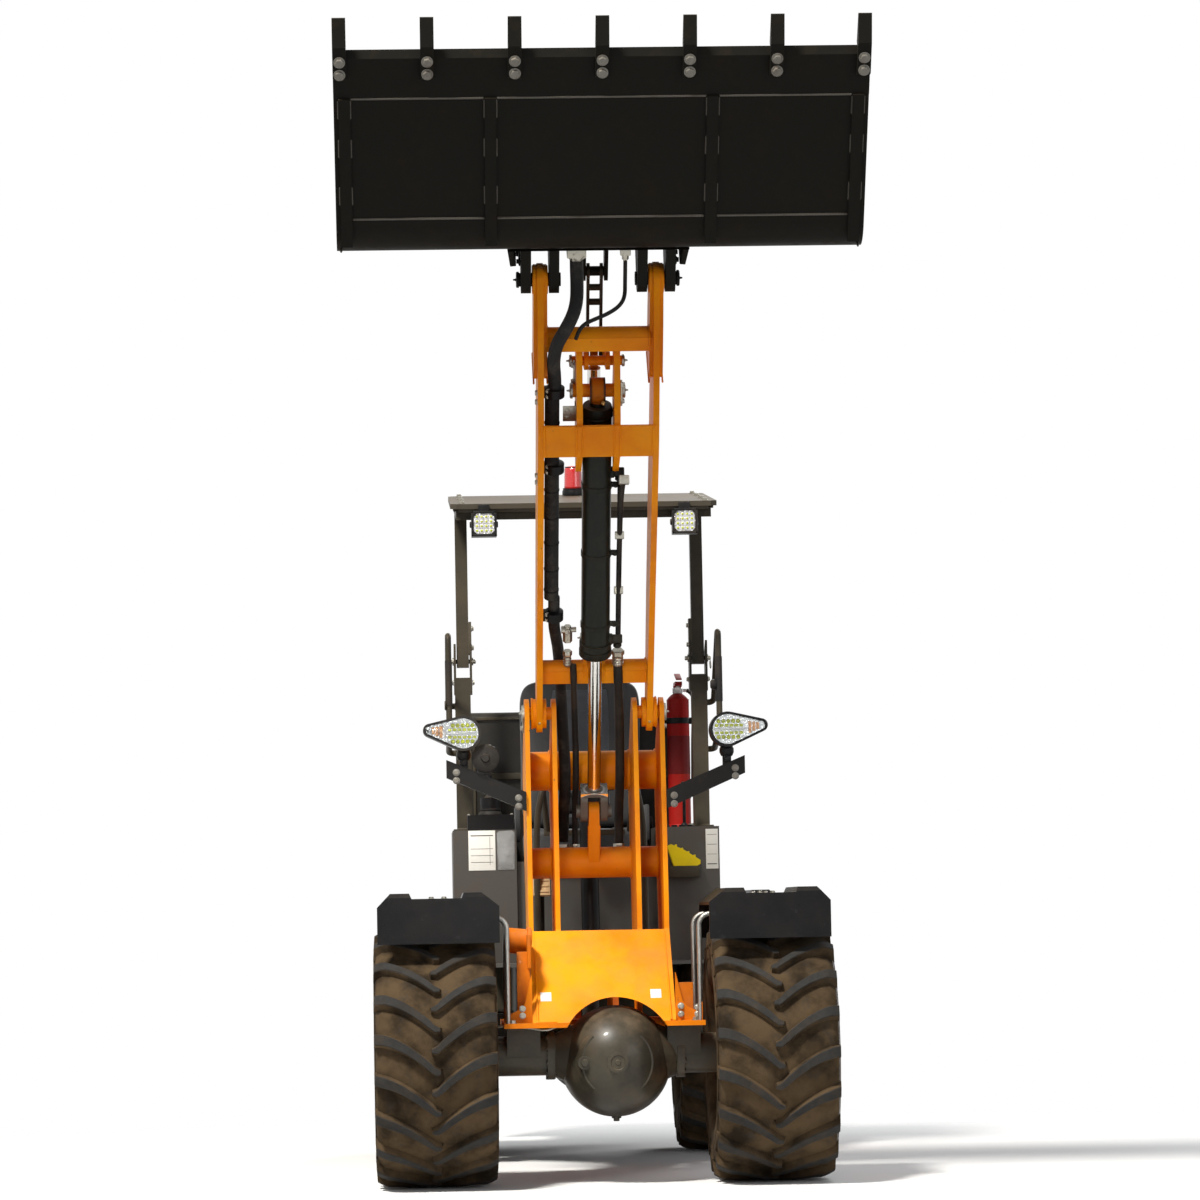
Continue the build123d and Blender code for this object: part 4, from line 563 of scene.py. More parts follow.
# %% Bare steel
def bare_steel(name, colour, rust, metallic=0.85, rough=0.4, dust=0.3, wear=0.5, gloss=0.5):
    """Steel rubbed bright in places and browned by rust in others."""
    finish = Finish(name, metallic=metallic, specular=gloss)
    blotches = finish.noise(11, 6, 0.65)
    grain = finish.noise(150, 3, 0.5)
    scratches = finish.noise(5, 8, 0.8, stretch=(1, 1, 5)).between(0.66, 0.74) * (wear * 0.35)
    rusty = blotches.between(0.48, 0.74) * wear
    looks_up = finish.facing_up().between(0.2, 0.9)
    settled = looks_up * finish.noise(13, 5, 0.6).between(0.36, 0.8) * dust
    scuffed = finish.mix(finish.mix(colour, rust, rusty), scaled(colour, 2.5, 0.02), scratches)
    return finish.use(
        Base_Color=finish.mix(scuffed, DUST, settled),
        Roughness=rough + rusty * 0.3 + settled * 0.3 + grain * 0.08,
        Metallic=metallic - rusty * 0.5 - settled * 0.6,
        Normal=finish.bump(grain * 0.3 + blotches * 0.7, 0.0003),
    )


print("paint and bare steel ready")

# %% Moulded plastic and rubber
def moulded(name, colour, dust=0.4, rough=0.5, pebble=0.0003):
    """Moulded plastic or rubber: a pebbled skin, greyed by fine dust and handling."""
    finish = Finish(name, specular=DULL_SPECULAR)
    pebbles = finish.cells(420)
    haze = finish.noise(7, 6, 0.6)
    looks_up = finish.facing_up().between(-0.1, 1.0)
    settled = (0.25 + looks_up) * haze.between(0.38, 0.68) * dust
    scuffs = finish.noise(30, 4, 0.6, stretch=(1, 6, 1)).between(0.64, 0.7) * 0.35
    faded = finish.mix(colour, scaled(colour, 1.6, 0.002), haze)
    scuffed = finish.mix(faded, scaled(colour, 3, 0.01), scuffs)
    return finish.use(
        Base_Color=finish.mix(scuffed, DUST, settled),
        Roughness=rough + settled * 0.3 + scuffs * 0.2,
        Normal=finish.bump(pebbles + haze * 0.5, pebble),
    )


print("moulded finishes ready")

# %% One finish for each slot
YELLOW, YELLOW_SHADE = from_bytes(246, 152, 2), from_bytes(226, 124, 2)
KHAKI, KHAKI_SHADE = from_bytes(62, 57, 47), from_bytes(48, 44, 36)
AXLE, AXLE_SHADE = from_bytes(62, 58, 48), from_bytes(40, 37, 30)
made_finishes = (
    worn_paint("yellow_paint", YELLOW, YELLOW_SHADE, dust=0.22, chips=0.35),
    worn_paint("khaki_paint", KHAKI, KHAKI_SHADE, dust=0.18, chips=0.25),
    worn_paint("roof_paint", from_bytes(74, 68, 58), KHAKI, dust=0.15, chips=0.15),
    worn_paint("axle_paint", AXLE, AXLE_SHADE, dust=0.3, chips=0.3, gloss=0.25, rough=0.34),
    worn_paint(
        "cylinder_paint", from_bytes(30, 32, 27), from_bytes(22, 23, 19), dust=0.2, chips=0.3
    ),
    worn_paint("rim_paint", YELLOW, YELLOW_SHADE, dust=0.6, chips=0.6),
    worn_paint(
        "hood_plastic", from_bytes(42, 41, 38), from_bytes(36, 35, 33), dust=0.07, chips=0.05
    ),
    worn_paint("red_paint", (0.4, 0.012, 0.01), (0.3, 0.01, 0.008), dust=0.15, chips=0.2),
    bare_steel(
        "dark_steel", (0.0085, 0.0078, 0.0058), (0.020, 0.014, 0.008), 0.05, 0.5, 0.12, gloss=0.08
    ),
    bare_steel("engine_iron", (0.05, 0.05, 0.052), (0.08, 0.05, 0.03), 0.5, 0.5),
    bare_steel(
        "chrome_rod", (0.72, 0.71, 0.68), (0.5, 0.46, 0.4), 1.0, 0.12, dust=0.05, wear=0.12
    ),
    bare_steel("floor_steel", (0.06, 0.055, 0.048), (0.07, 0.04, 0.025), 0.4, 0.55),
    moulded("black_plastic", (0.0045, 0.0045, 0.005), dust=0.04, rough=0.33),
    moulded("tyre_rubber", (0.018, 0.017, 0.016), dust=0.6, rough=0.75),
    moulded("lamp_body", (0.01, 0.01, 0.01), dust=0.2, rough=0.35),
    moulded("seat_cover", (0.014, 0.014, 0.015), dust=0.2, rough=0.6, pebble=0.0002),
    moulded("hose_rubber", (0.012, 0.012, 0.012), dust=0.3, rough=0.55),
)
finishes = {plain(material.name): material for material in made_finishes}
print(len(finishes), "finishes")

# %% Give every CAD node its slot's finish
for obj in nodes.values():
    slot = plain(obj.data.materials[0].name)
    obj.data.materials.clear()
    obj.data.materials.append(finishes[slot])
print(len(nodes), "nodes finished")


# %% [markdown]
# ## Solids that are made of two materials
# A cylinder's rod is chromed but its eye is a painted casting, and a lamp bar is black where its
# fender stays are plated.  The CAD keeps each as one solid, so the finish changes by place: a mask
# measured along the part chooses between the two colours.

# %% Where finishes change, and how two meet on one part
LIFT_EYE = hinge("lift_barrel_swing")
LIFT_WAY = Vector(joints["lift_rod_slide"]["axis"])
LEVER_TIP = hinge("tilt_link_swing")
CLEVIS = Vector((0, back(0.400), 1.240))


def near(place, radius):
    """A mask maker: 1 inside a ball round a place, 0 outside, with a short soft edge."""
    return lambda finish: 1 - finish.distance(tuple(place)).between(radius - 0.002, radius + 0.002)


def two_part(name, first, second, mask_of, metals, rough):
    """Two paints or metals on one solid: where the mask is 1 the second shows."""
    finish = Finish(name, metallic=metals[0], specular=DULL_SPECULAR)
    mask = mask_of(finish)
    clouds = finish.noise(9, 5, 0.6)
    grit = finish.noise(70, 4, 0.6)
    grime = finish.noise(16, 5, 0.7).between(0.52, 0.8) * 0.5
    settled = finish.facing_up().between(0.3, 1.0) * clouds.between(0.4, 0.7) * 0.25
    base = finish.mix(first, scaled(first, 0.72), clouds)
    other = finish.mix(second, scaled(second, 0.66), clouds)
    dirty = finish.mix(finish.mix(base, other, mask), DIRT, grime * (mask * 0.6 + 0.4))
    return finish.use(
        Base_Color=finish.mix(dirty, DUST, settled),
        Roughness=rough[0] + mask * (rough[1] - rough[0]) + grit * 0.06 + grime * 0.2,
        Metallic=metals[0] + mask * (metals[1] - metals[0]) - grime * 0.3 * metals[1],
        Normal=finish.bump(grit * mask, 0.0004),
    )


print("lift rod runs along", [round(v, 3) for v in LIFT_WAY])

# %% Rods, cast eyes and orange eyes
CHROME = (0.74, 0.73, 0.70)
CAST_GREY = from_bytes(112, 110, 104)
# the eyes of the tilt rod and the lift barrel take a darker orange than the yellow paint
EYE_ORANGE = from_bytes(196, 108, 14)
special = {
    "lift_rod": two_part(
        "lift_rod_metal", CHROME, CAST_GREY, near(CLEVIS, 0.096), (1.0, 0.3), (0.10, 0.45)
    ),
    "tilt_rod": two_part(
        "tilt_rod_metal", CHROME, EYE_ORANGE, near(LEVER_TIP, 0.062), (1.0, 0.0), (0.12, 0.5)
    ),
    "lift_barrel": two_part(
        "lift_barrel_paint", from_bytes(34, 37, 32), EYE_ORANGE,
        near(LIFT_EYE, 0.046), (0.0, 0.0), (0.26, 0.5),
    ),
    "front_brackets": two_part(
        "bracket_metal", from_bytes(26, 25, 24), (0.42, 0.41, 0.38),
        lambda finish: 1 - finish.along(2).between(0.98, 1.0), (0.0, 0.9), (0.4, 0.38),
    ),
    "front_chassis": worn_paint(
        "deck_paint", from_bytes(226, 124, 4), from_bytes(176, 88, 6), dust=0.15, chips=0.5
    ),
}
for node_name, material in special.items():
    nodes[node_name].data.materials[0] = material
print(sorted(special), "have finishes of their own")


# %% [markdown]
# ## Building pieces
# Everything added below is a mesh or a curve made in code.  Small builders (hexagon bolts, turned
# parts, boxes with broken edges) put their faces on one bench, and `piece` takes all that lies on
# the bench as a named piece that rides a body, so that a hundred bolts become one piece.

# %% The bench
class Bench:
    """Where faces gather until a piece takes them."""

    def __init__(self):
        self.edit = bmesh.new()

    def corner(self, place):
        """One new vertex."""
        return self.edit.verts.new(place)

    def face(self, corners, finish=0):
        """One new face, with the number of its finish."""
        self.edit.faces.new(corners).material_index = finish

    def skin(self, rows, wrap=True, loop=False, finish=0):
        """Faces between rows of corners; wrap closes each row, loop joins the last to the first."""
        for low, high in zip(rows, rows[1:] + (rows[:1] if loop else [])):
            for n in range(len(low) if wrap else len(low) - 1):
                after = (n + 1) % len(low)
                self.face((low[n], low[after], high[after], high[n]), finish)

    def take(self, name):
        """All that lies on the bench, as a mesh."""
        mesh = bpy.data.meshes.new(name)
        bmesh.ops.recalc_face_normals(self.edit, faces=self.edit.faces)
        self.edit.to_mesh(mesh)
        self.edit.free()
        self.edit = bmesh.new()
        return mesh


bench = Bench()
pieces = []
print("bench ready")

# %% Handing a piece over
def place_piece(obj, body, slot):
    """Names the body that a finished piece rides, and its slot."""
    scene.collection.objects.link(obj)
    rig.ride(obj, body)
    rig.slot(obj, slot)
    pieces.append(obj.name)
    return obj


def piece(name, finish, body, slot=None, angle=40):
    """What lies on the bench, with a slot's own finish by name, one material or a list of them."""
    mesh = bench.take(name)
    if isinstance(finish, str):
        slot = slot or finish
        finish = finishes[finish]
    for material in finish if isinstance(finish, list) else [finish]:
        mesh.materials.append(material)
    mesh.shade_smooth()
    mesh.set_sharp_from_angle(angle=math.radians(angle))
    return place_piece(bpy.data.objects.new(name, mesh), body, slot)


def tell(what):
    """Prints what a cell has done and how many pieces there are."""
    print(what, "-", len(pieces), "pieces so far")


tell("ready to dress")

# %% Smooth curves and pipes
def nurbs(name, points, steps):
    """A curve that passes smoothly near its points."""
    curve = bpy.data.curves.new(name, "CURVE")
    curve.dimensions = "3D"
    curve.resolution_u = steps
    line = curve.splines.new("NURBS")
    line.points.add(len(points) - 1)
    for knot, place in zip(line.points, points):
        knot.co = (*place, 1)
    line.order_u = 3
    line.use_endpoint_u = True
    return curve


def pipe(name, points, radius, finish, body, slot="hose_rubber"):
    """A round pipe or hose."""
    curve = nurbs(name, points, 10)
    curve.bevel_depth = radius
    curve.bevel_resolution = 5
    curve.use_fill_caps = True
    curve.materials.append(finish)
    place_piece(bpy.data.objects.new(name, curve), body, slot)


print("curves and pipes ready")


# %% Turned parts and bolts
def facing_frame(place, way, spin=0.0):
    """A matrix at a place whose Z axis runs along a direction."""
    turn = Vector(way).normalized().to_track_quat("Z", "Y").to_matrix().to_4x4()
    return Matrix.Translation(place) @ turn @ Matrix.Rotation(spin, 4, "Z")


def turned(place, way, profile, segments=24, spin=0.0, finish=0, closed=True):
    """A lathe part: profile rows are (distance along, radius); closed fills both its ends."""
    matrix = facing_frame(place, way, spin)
    rings = [
        [bench.corner(matrix @ Vector((x, y, along))) for _, x, y in circle(segments, radius)]
        for along, radius in profile
    ]
    bench.skin(rings, finish=finish)
    if closed:
        bench.face(rings[0], finish)
        bench.face(rings[-1], finish)


def bolt(place, way, across_flats, spin=0.0, washer=True):
    """A hexagon head with a broken top edge, on a washer."""
    corner = across_flats / math.sqrt(3)
    high = across_flats * 0.42
    start = 0.0
    if washer:
        start = corner * 0.2
        ring = [(0, corner * 1.32), (corner * 0.16, corner * 1.32), (start, corner * 1.2)]
        turned(place, way, ring, 20)
    head = [(start, corner), (start + high * 0.85, corner), (start + high, corner * 0.86)]
    turned(place, way, head, 6, spin)


print("turned parts and bolts ready")

# %% Boxes and tubes
def box(size, centre, edge=0.003, turn=None, finish=0):
    """A box with all its edges broken, turned by a rotation matrix."""
    matrix = Matrix.Translation(centre) @ (turn.to_4x4() if turn else Matrix())
    made = bmesh.ops.create_cube(bench.edit, size=1.0)["verts"]
    for vert in made:
        vert.co = Vector(c * s for c, s in zip(vert.co, size))
    edges = list({e for v in made for e in v.link_edges})
    result = bmesh.ops.bevel(
        bench.edit, geom=edges, offset=edge, segments=2, profile=0.6, affect="EDGES"
    )
    verts = {v for f in result["faces"] for v in f.verts} | {v for v in made if v.is_valid}
    faces = {f for v in verts for f in v.link_faces}
    for face in faces:
        face.material_index = finish
    for vert in {v for f in faces for v in f.verts}:
        vert.co = matrix @ vert.co


def boxes(*rows):
    """Several boxes, each row as box takes it."""
    for row in rows:
        box(*row)


def tube(path, radius, segments=14):
    """Rings swept along a path without twisting."""
    side = X_WAY
    rings = []
    for n, place in enumerate(path):
        ahead = (path[min(n + 1, len(path) - 1)] - path[max(n - 1, 0)]).normalized()
        side = (side - ahead * side.dot(ahead)).normalized()
        other = ahead.cross(side)
        ring = [place + side * x + other * y for _, x, y in circle(segments, radius)]
        rings.append([bench.corner(corner) for corner in ring])
    bench.skin(rings)
    bench.face(rings[0])
    bench.face(rings[-1])


print("builders ready")


# %% [markdown]
# ## Tyres
# An industrial herringbone tyre: nineteen bars a side, each starting past the centre line, leaning
# back steeply and flattening towards the shoulder.  The two sides are half a pitch apart.  The mesh
# carries one number per corner, its height above the groove, and the rubber's finish reads it: soil
# stays in the grooves while the tops of the bars are scrubbed to dark rubber.

# %% Rubber that keeps soil in its grooves
tread = Finish("tread_rubber", specular=0.08)
height = tread.node("ShaderNodeAttribute", {"attribute_name": "above_groove"}, output="Fac")
soil_noise = tread.noise(22, 6, 0.68)
fine_grit = tread.noise(240, 3, 0.6)
scrubbed = height.between(0.55, 0.98)
soil_cover = (1 - scrubbed) * soil_noise.between(0.12, 0.5)
top_dust = scrubbed * tread.noise(16, 5, 0.7).between(0.42, 0.75) * 0.4
soil_cloud = tread.noise(9, 4).between(0.35, 0.7)
soil = tread.mix(from_bytes(82, 67, 49), from_bytes(38, 31, 23), soil_cloud)
rubber = tread.mix((0.017, 0.0165, 0.016), (0.044, 0.042, 0.040), tread.noise(35, 5, 0.65))
TREAD = tread.use(
    Base_Color=tread.mix(rubber, soil, soil_cover + top_dust),
    Roughness=0.72 + soil_cover * 0.2 + fine_grit * 0.08,
    Normal=tread.bump(soil_noise * (1 - scrubbed) + fine_grit * 0.25, 0.0022),
)
print("tread rubber ready")

# %% The tyre's section
TYRE_HALF = (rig.box("front_left_tyre")[1].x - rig.box("front_left_tyre")[0].x) / 2
BARS = 19
BAR_LEAN = 0.27
BAR_INNER, BAR_OUTER = -0.07, 0.985  # where a bar starts and ends, as shares of the half width
BAR_STEPS = 13
FIRST_BAR = math.radians(-90.2)
BAR_HIGH = 0.024
GROOVE_R = TYRE_R - BAR_HIGH
CARCASS_STEPS = 114
# carcass section: x as a share of half width, radius, height above the groove
CARCASS = (
    (0.0, GROOVE_R, 0.0),
    (0.40, GROOVE_R - 0.001, 0.0),
    (0.70, GROOVE_R - 0.004, 0.0),
    (0.86, GROOVE_R - 0.010, 0.05),
    (0.955, GROOVE_R - 0.026, 0.2),
    (0.99, GROOVE_R - 0.055, 0.45),
    (1.0, 0.325, 0.5),
    (0.985, 0.300, 0.5),
    (0.99, 0.296, 0.7),
    (0.975, 0.262, 0.5),
    (0.94, 0.242, 0.4),
    (0.87, 0.228, 0.4),
    (0.80, 0.2175, 0.3),
)
print(len(CARCASS), "corners in the tyre's section")

# %% Where a bar runs and how it rises
def tread_lift(share):
    """Radius of the bars' tops across the tread."""
    return TYRE_R - 0.006 * share**2 - 0.016 * max(0.0, share - 0.84) / 0.16


def bar_line(share):
    """How far a bar has leaned back at this share of the half width, in radians."""
    return BAR_LEAN * (1 - (1 - max(share, 0.0)) ** 1.7)


def tread_corner(x, radius, angle, rise):
    """A vertex about the wheel's centre, axle along X, with its height above the groove."""
    vert = bench.corner((x, -radius * math.cos(angle), radius * math.sin(angle)))
    vert[bench.edit.verts.layers.float["above_groove"]] = rise
    return vert


print("a bar leans", round(math.degrees(BAR_LEAN)), "degrees or so")

# %% One bar
def bar_row(side, start, n):
    """The n-th cut across a bar, from its foot over its top to its other foot."""
    share = BAR_INNER + (BAR_OUTER - BAR_INNER) * n / (BAR_STEPS - 1)
    blunt = 1 - 0.55 * max(0.0, 1 - n / 1.5)
    half = (0.0155 + 0.004 * max(share, 0) ** 2) * blunt
    top = tread_lift(abs(share)) - 0.004 * (1 - blunt)
    floor = GROOVE_R - 0.006 - 0.036 * max(0.0, share - 0.8) / 0.2
    angle = start + bar_line(share)
    cuts = ((0.006, floor, 0.0), (0.0, top - 0.003, 0.7), (-0.003, top, 1.0))
    feet = [(-half - w, r, a) for w, r, a in cuts] + [(half + w, r, a) for w, r, a in cuts[::-1]]
    x = side * share * TYRE_HALF
    return [tread_corner(x, r, angle + w / TYRE_R, a) for w, r, a in feet]


def tread_bar(side, start):
    """One bar, with its toe down the shoulder and its blunt nose."""
    rows = [bar_row(side, start, n) for n in range(BAR_STEPS)]
    bench.skin(rows, wrap=False)
    end_angle = start + bar_line(BAR_OUTER)
    toe = []
    for spread in (-1.25, -1.1, -0.9, 0.9, 1.1, 1.25):
        angle = end_angle + spread * 0.0195 / TYRE_R
        toe.append(tread_corner(side * 1.004 * TYRE_HALF, GROOVE_R - 0.045, angle, 0.35))
    bench.skin([rows[-1], toe], wrap=False)
    nose = []
    for foot in (rows[0][0], rows[0][-1]):
        nose.append(tread_corner(foot.co.x - side * 0.008, GROOVE_R - 0.004, 0, 0))
        nose[-1].co.yz = foot.co.yz
    bench.face((*nose, *reversed(rows[0])))


print(BARS, "bars on each side")


# %% One tyre for each wheel
for wheel in WHEELS:
    bench.edit.verts.layers.float.new("above_groove")
    section = [(-s, r, a) for s, r, a in reversed(CARCASS[1:])] + list(CARCASS)
    rings = []
    for step in range(CARCASS_STEPS):
        angle = 2 * math.pi * step / CARCASS_STEPS
        rings.append([tread_corner(s * TYRE_HALF, r, angle, a) for s, r, a in section])
    bench.skin(rings, wrap=False, loop=True)
    for side in HANDS:
        for bar in range(BARS):
            shift = 0.0 if side > 0 else 0.5
            tread_bar(side, FIRST_BAR + 2 * math.pi * (bar + shift) / BARS)
    # moulded rings on each sidewall
    for side in HANDS:
        for radius, thick in ((0.352, 0.0022), (0.315, 0.0016)):
            ring = [(0, radius + thick), (thick, radius + thick / 2), (thick, radius - 0.004)]
            ring.append((0, radius - 0.005))
            place = (side * (TYRE_HALF * 0.994 - 0.0005), 0, 0)
            turned(place, (side, 0, 0), ring, 96, closed=False)
    bmesh.ops.translate(bench.edit, verts=bench.edit.verts, vec=middle(f"{wheel}_tyre"))
    tyre = piece(f"tyre_{wheel}", TREAD, f"{wheel}_wheel", "tyre_rubber", angle=32)
    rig.replaces(tyre, f"{wheel}_tyre")
print("tyre faces", len(tyre.data.polygons))


# %% [markdown]
# ## Welds, bolts and pins
# A fabricated machine is held together by things a smooth solid forgets: a rippled bead where each
# tube meets its plate, hexagon heads on washers, and keeper plates that stop the pins from turning.
# A bead is a lathe part whose radius rises and falls; round a tube it is the same bead bent into a
# ring.  Fasteners that are made together share one mesh.

# %% Weld beads
RIPPLE = 0.009
BEAD_SIDES = 6


def weld(start, end, radius=0.0035):
    """A bead of overlapping ripples laid from start to end."""
    way = Vector(end) - Vector(start)
    count = max(3, int(way.length / RIPPLE))
    profile = []
    for ripple in range(count):
        at = way.length * ripple / count
        profile += [(at, radius * 0.76), (at + way.length / count * 0.6, radius)]
    turned(start, way, profile + [(way.length, radius * 0.5)], BEAD_SIDES)


def ring_weld(centre, way, ring, radius=0.005):
    """The same bead round a tube."""
    matrix = facing_frame(centre, way)
    rows = []
    for step, x, y in circle(max(24, int(2 * math.pi * ring / 0.010) // 2 * 2), 1.0):
        thick = radius * (1.0 if step % 2 else 0.8)
        row = []
        for _, out, up in circle(BEAD_SIDES, thick):
            row.append(bench.corner(matrix @ Vector((x * (ring + out), y * (ring + out), up))))
        rows.append(row)
    bench.skin(rows, loop=True)


print("weld beads ready")

# %% Pin ends and keeper plates
def pin_end(place, hand, radius=0.026):
    """A pin's dished end, with a centre mark and a grease nipple."""
    dish = [(0, radius), (0.007, radius), (0.009, radius * 0.9), (0.009, radius * 0.45)]
    turned(place, (hand, 0, 0), dish + [(0.006, 0.004)])
    nipple = [(0.006, 0.0045), (0.012, 0.0045), (0.012, 0.003), (0.016, 0.0032), (0.019, 0.0015)]
    turned(place, (hand, 0, 0), nipple, 10)


def keeper(place, hand, run):
    """A flat keeper with two bolts, lying along a direction beside a pin."""
    thick, long, wide = 0.006, 0.085, 0.022
    run = Vector(run).normalized()
    box((thick, long, wide), place, 0.0015, across(run))
    for end in HANDS:
        head = Vector(place) + run * (end * long * 0.34) + X_WAY * (hand * thick / 2)
        bolt(head, (hand, 0, 0), 0.014, 0.3 * end)


print("pin ends and keepers ready")

# %% Zinc and worn steel
zinc = Finish("zinc_plate", metallic=0.9)
zinc_cloud = zinc.noise(30, 5, 0.6)
zinc_dirt = zinc.noise(55, 4, 0.65).between(0.55, 0.7)
zinc_tone = zinc.mix((0.42, 0.41, 0.37), (0.3, 0.28, 0.22), zinc_cloud)
ZINC = zinc.use(
    Base_Color=zinc.mix(zinc_tone, DIRT, zinc_dirt * 0.6),
    Roughness=0.36 + zinc_dirt * 0.4 + zinc_cloud * 0.1,
    Metallic=0.9 - zinc_dirt * 0.6,
)
WORN_WELDS = bare_steel(
    "worn_welds", (0.10, 0.09, 0.075), (0.04, 0.028, 0.018), 0.5, 0.5, gloss=0.3
)
WORN_BOLTS = bare_steel("worn_bolts", (0.16, 0.15, 0.13), (0.09, 0.06, 0.04), 0.7, 0.45, dust=0.4)
print("bead, ring, pin and keeper builders")

# %% The bucket's bolts and seams
BUCKET_HALF = (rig.box("bucket")[1].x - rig.box("bucket")[0].x) / 2
TEETH = 7
TOOTH_STEP = (2 * BUCKET_HALF - 0.042) / (TEETH - 1)
INNER_STRIP, OUTER_STRIP = 0.4157 * BUCKET_HALF, BUCKET_HALF - 0.033
STRIPS = (-OUTER_STRIP, -INNER_STRIP, INNER_STRIP, OUTER_STRIP)
for tooth in range(TEETH):
    for forward_place, spin in ((0.686, 0.2 * tooth), (0.645, 0.5 + 0.3 * tooth)):
        place = in_bucket(forward_place, -0.026, (tooth - 3) * TOOTH_STEP)
        bolt(place, -TO_INSIDE, 0.024, spin)
piece("tooth_bolts", WORN_BOLTS, "bucket", "dark_steel")


def bucket_weld(start, end, radius):
    """A bead between two places given as in_bucket takes them."""
    weld(in_bucket(*start), in_bucket(*end), radius)


for strip, after in zip(STRIPS, STRIPS[1:]):
    left, right_end = strip + 0.020, after - 0.020
    bucket_weld((0.556, -0.002, left), (0.556, -0.002, right_end), 0.005)
    bucket_weld((0.150, -0.0005, left), (0.150, -0.0005, right_end), 0.0045)
for strip in STRIPS:
    for x in (strip - 0.0185, strip + 0.0185):
        for start, end in ((0.20, 0.26), (0.36, 0.42), (0.49, 0.55)):
            bucket_weld((start, -0.001, x), (end, -0.001, x), 0.004)
for hand in HANDS:
    bucket_weld((0.03, 0.02, hand * 0.8165), (0.03, 0.50, hand * 0.8165), 0.004)
    for x in (0.141, 0.231):
        for face in (-0.0165, 0.0165):
            place = hand * x + face
            bucket_weld((-0.018, 0.13, place), (-0.018, 0.33, place), 0.004)
piece("bucket_welds", WORN_WELDS, "bucket", "dark_steel")

for hand in HANDS:
    pin_end(at_x(hand * 0.253, BUCKET_PIN), hand)
    keeper(in_bucket(-0.085, 0.215, hand * 0.250), hand, TO_INSIDE)
    # slanted side plates of the coupler catch the light
    tilt = tilted(-33) @ Matrix.Rotation(hand * 0.12, 3, "Z")
    box((0.020, 0.10, 0.10), in_bucket(-0.028, 0.19, hand * 0.277), 0.003, tilt)
    for up in (0.25, 0.42):
        bolt(in_bucket(-0.016, up, hand * 0.265), -TO_EDGE, 0.022, up)
piece("coupler_pins", "dark_steel", "bucket")
tell("bucket dressed")

# %% The arm's seams
def arm_weld(start, end, radius=0.0035):
    """A bead between two places given as on_arm takes them."""
    weld(on_arm(*start), on_arm(*end), radius)


for distance, rise, face_x in ((1.452, -0.062, 0.164), (0.150, 0.037, 0.176)):
    for hand in HANDS:
        ring_weld(on_arm(distance, rise, hand * face_x), X_WAY, 0.035, 0.0045)
for hand in HANDS:
    for rise in (-0.147, -0.161):
        arm_weld((1.068, rise, hand * 0.176), (1.176, rise, hand * 0.176), 0.004)
    for face in (0.051, 0.071):
        arm_weld((1.068, -0.161, hand * face), (1.176, -0.161, hand * face))
    ring_weld(on_arm(0, 0, hand * 0.210), X_WAY, 0.050, 0.004)
    # edge of the plates doubled at the head
    for x in (0.164, 0.208):
        arm_weld((1.300, -0.092, hand * x), (1.340, 0.052, hand * x))
# seams of the tilt cylinder's ears
for x in (-0.036, -0.024, 0.024, 0.036):
    ring_weld(on_arm(0.150, 0.037, x), X_WAY, 0.0335, 0.003)
piece("arm_welds", "yellow_paint", "lift_arm")
tell("arm welded")

# %% The arm's pins and keepers
for distance in (1.264, 1.231, 0.962, 0.936):
    bolt(on_arm(distance, -0.085, -0.196), -X_WAY, 0.015, distance)
for hand in HANDS:
    pin_end(on_arm(1.250, -0.045, hand * 0.081), hand)
    pin_end(on_arm(1.330, 0.010, hand * 0.081), hand, 0.020)
    pin_end(on_arm(0.260, 0.060, hand * 0.036), hand, 0.018)
keeper(on_arm(1.265, -0.095, 0.075), 1, ARM_WAY)
keeper(on_arm(1.300, -0.020, -0.075), -1, ARM_WAY)
piece("arm_pins", ZINC, "lift_arm", "dark_steel")
tell("arm pinned")

# %% Grease nipples
NIPPLE = [(0, 0.006), (0.006, 0.006), (0.006, 0.004), (0.012, 0.004), (0.014, 0.0052)]
turned(on_arm(1.229, -0.089, 0.017), -ARM_UP, NIPPLE + [(0.018, 0.002)], 10)
for distance, rise in ((1.628, -0.047), (0.0, -0.051)):
    for x in (0.186, -0.186):
        turned(on_arm(distance, rise, x), -ARM_UP, NIPPLE + [(0.018, 0.002)], 10)
brass = Finish("brass", metallic=1.0)
brass_tarnish = brass.noise(90, 4, 0.6)
brass.use(
    Base_Color=brass.mix((0.62, 0.42, 0.14), (0.3, 0.2, 0.09), brass_tarnish),
    Roughness=0.25 + brass_tarnish * 0.3,
)
piece("grease_nipples", brass.material, "lift_arm", "dark_steel")
tell("arm dressed")


# %% [markdown]
# ## Hoses
# A loader's hoses are cut to length and tied only where they must not rub, so they bow between the
# clamps.  Each is one NURBS line through a few listed points.  Hoses that cross a joint are
# turned into meshes and blended from one body to the other, so that they bend with the machine.

# %% Braided sleeve and rubber
sleeve = Finish("braided_sleeve", specular=0.3)
braid = sleeve.maths("MAXIMUM", sleeve.waves("DIAGONAL", 160.0), sleeve.waves("Z", 190.0))
sleeve_dust = sleeve.noise(18, 5, 0.6).between(0.45, 0.75)
SLEEVE = sleeve.use(
    Base_Color=sleeve.mix((0.010, 0.010, 0.010), (0.10, 0.088, 0.07), sleeve_dust * 0.4),
    Roughness=0.62 + braid * 0.2,
    Normal=sleeve.bump(braid, 0.0009),
)
RUBBER = finishes["hose_rubber"]
print("sleeve ready")

# %% A hose that crosses a joint
def spline_points(points, steps=12):
    """Points read from the NURBS line through some control points."""
    curve = nurbs("route", points, steps)
    route = bpy.data.objects.new("route", curve)
    mesh = bpy.data.meshes.new_from_object(route)
    read = [vert.co.copy() for vert in mesh.vertices]
    bpy.data.meshes.remove(mesh)
    bpy.data.objects.remove(route)
    bpy.data.curves.remove(curve)
    return read


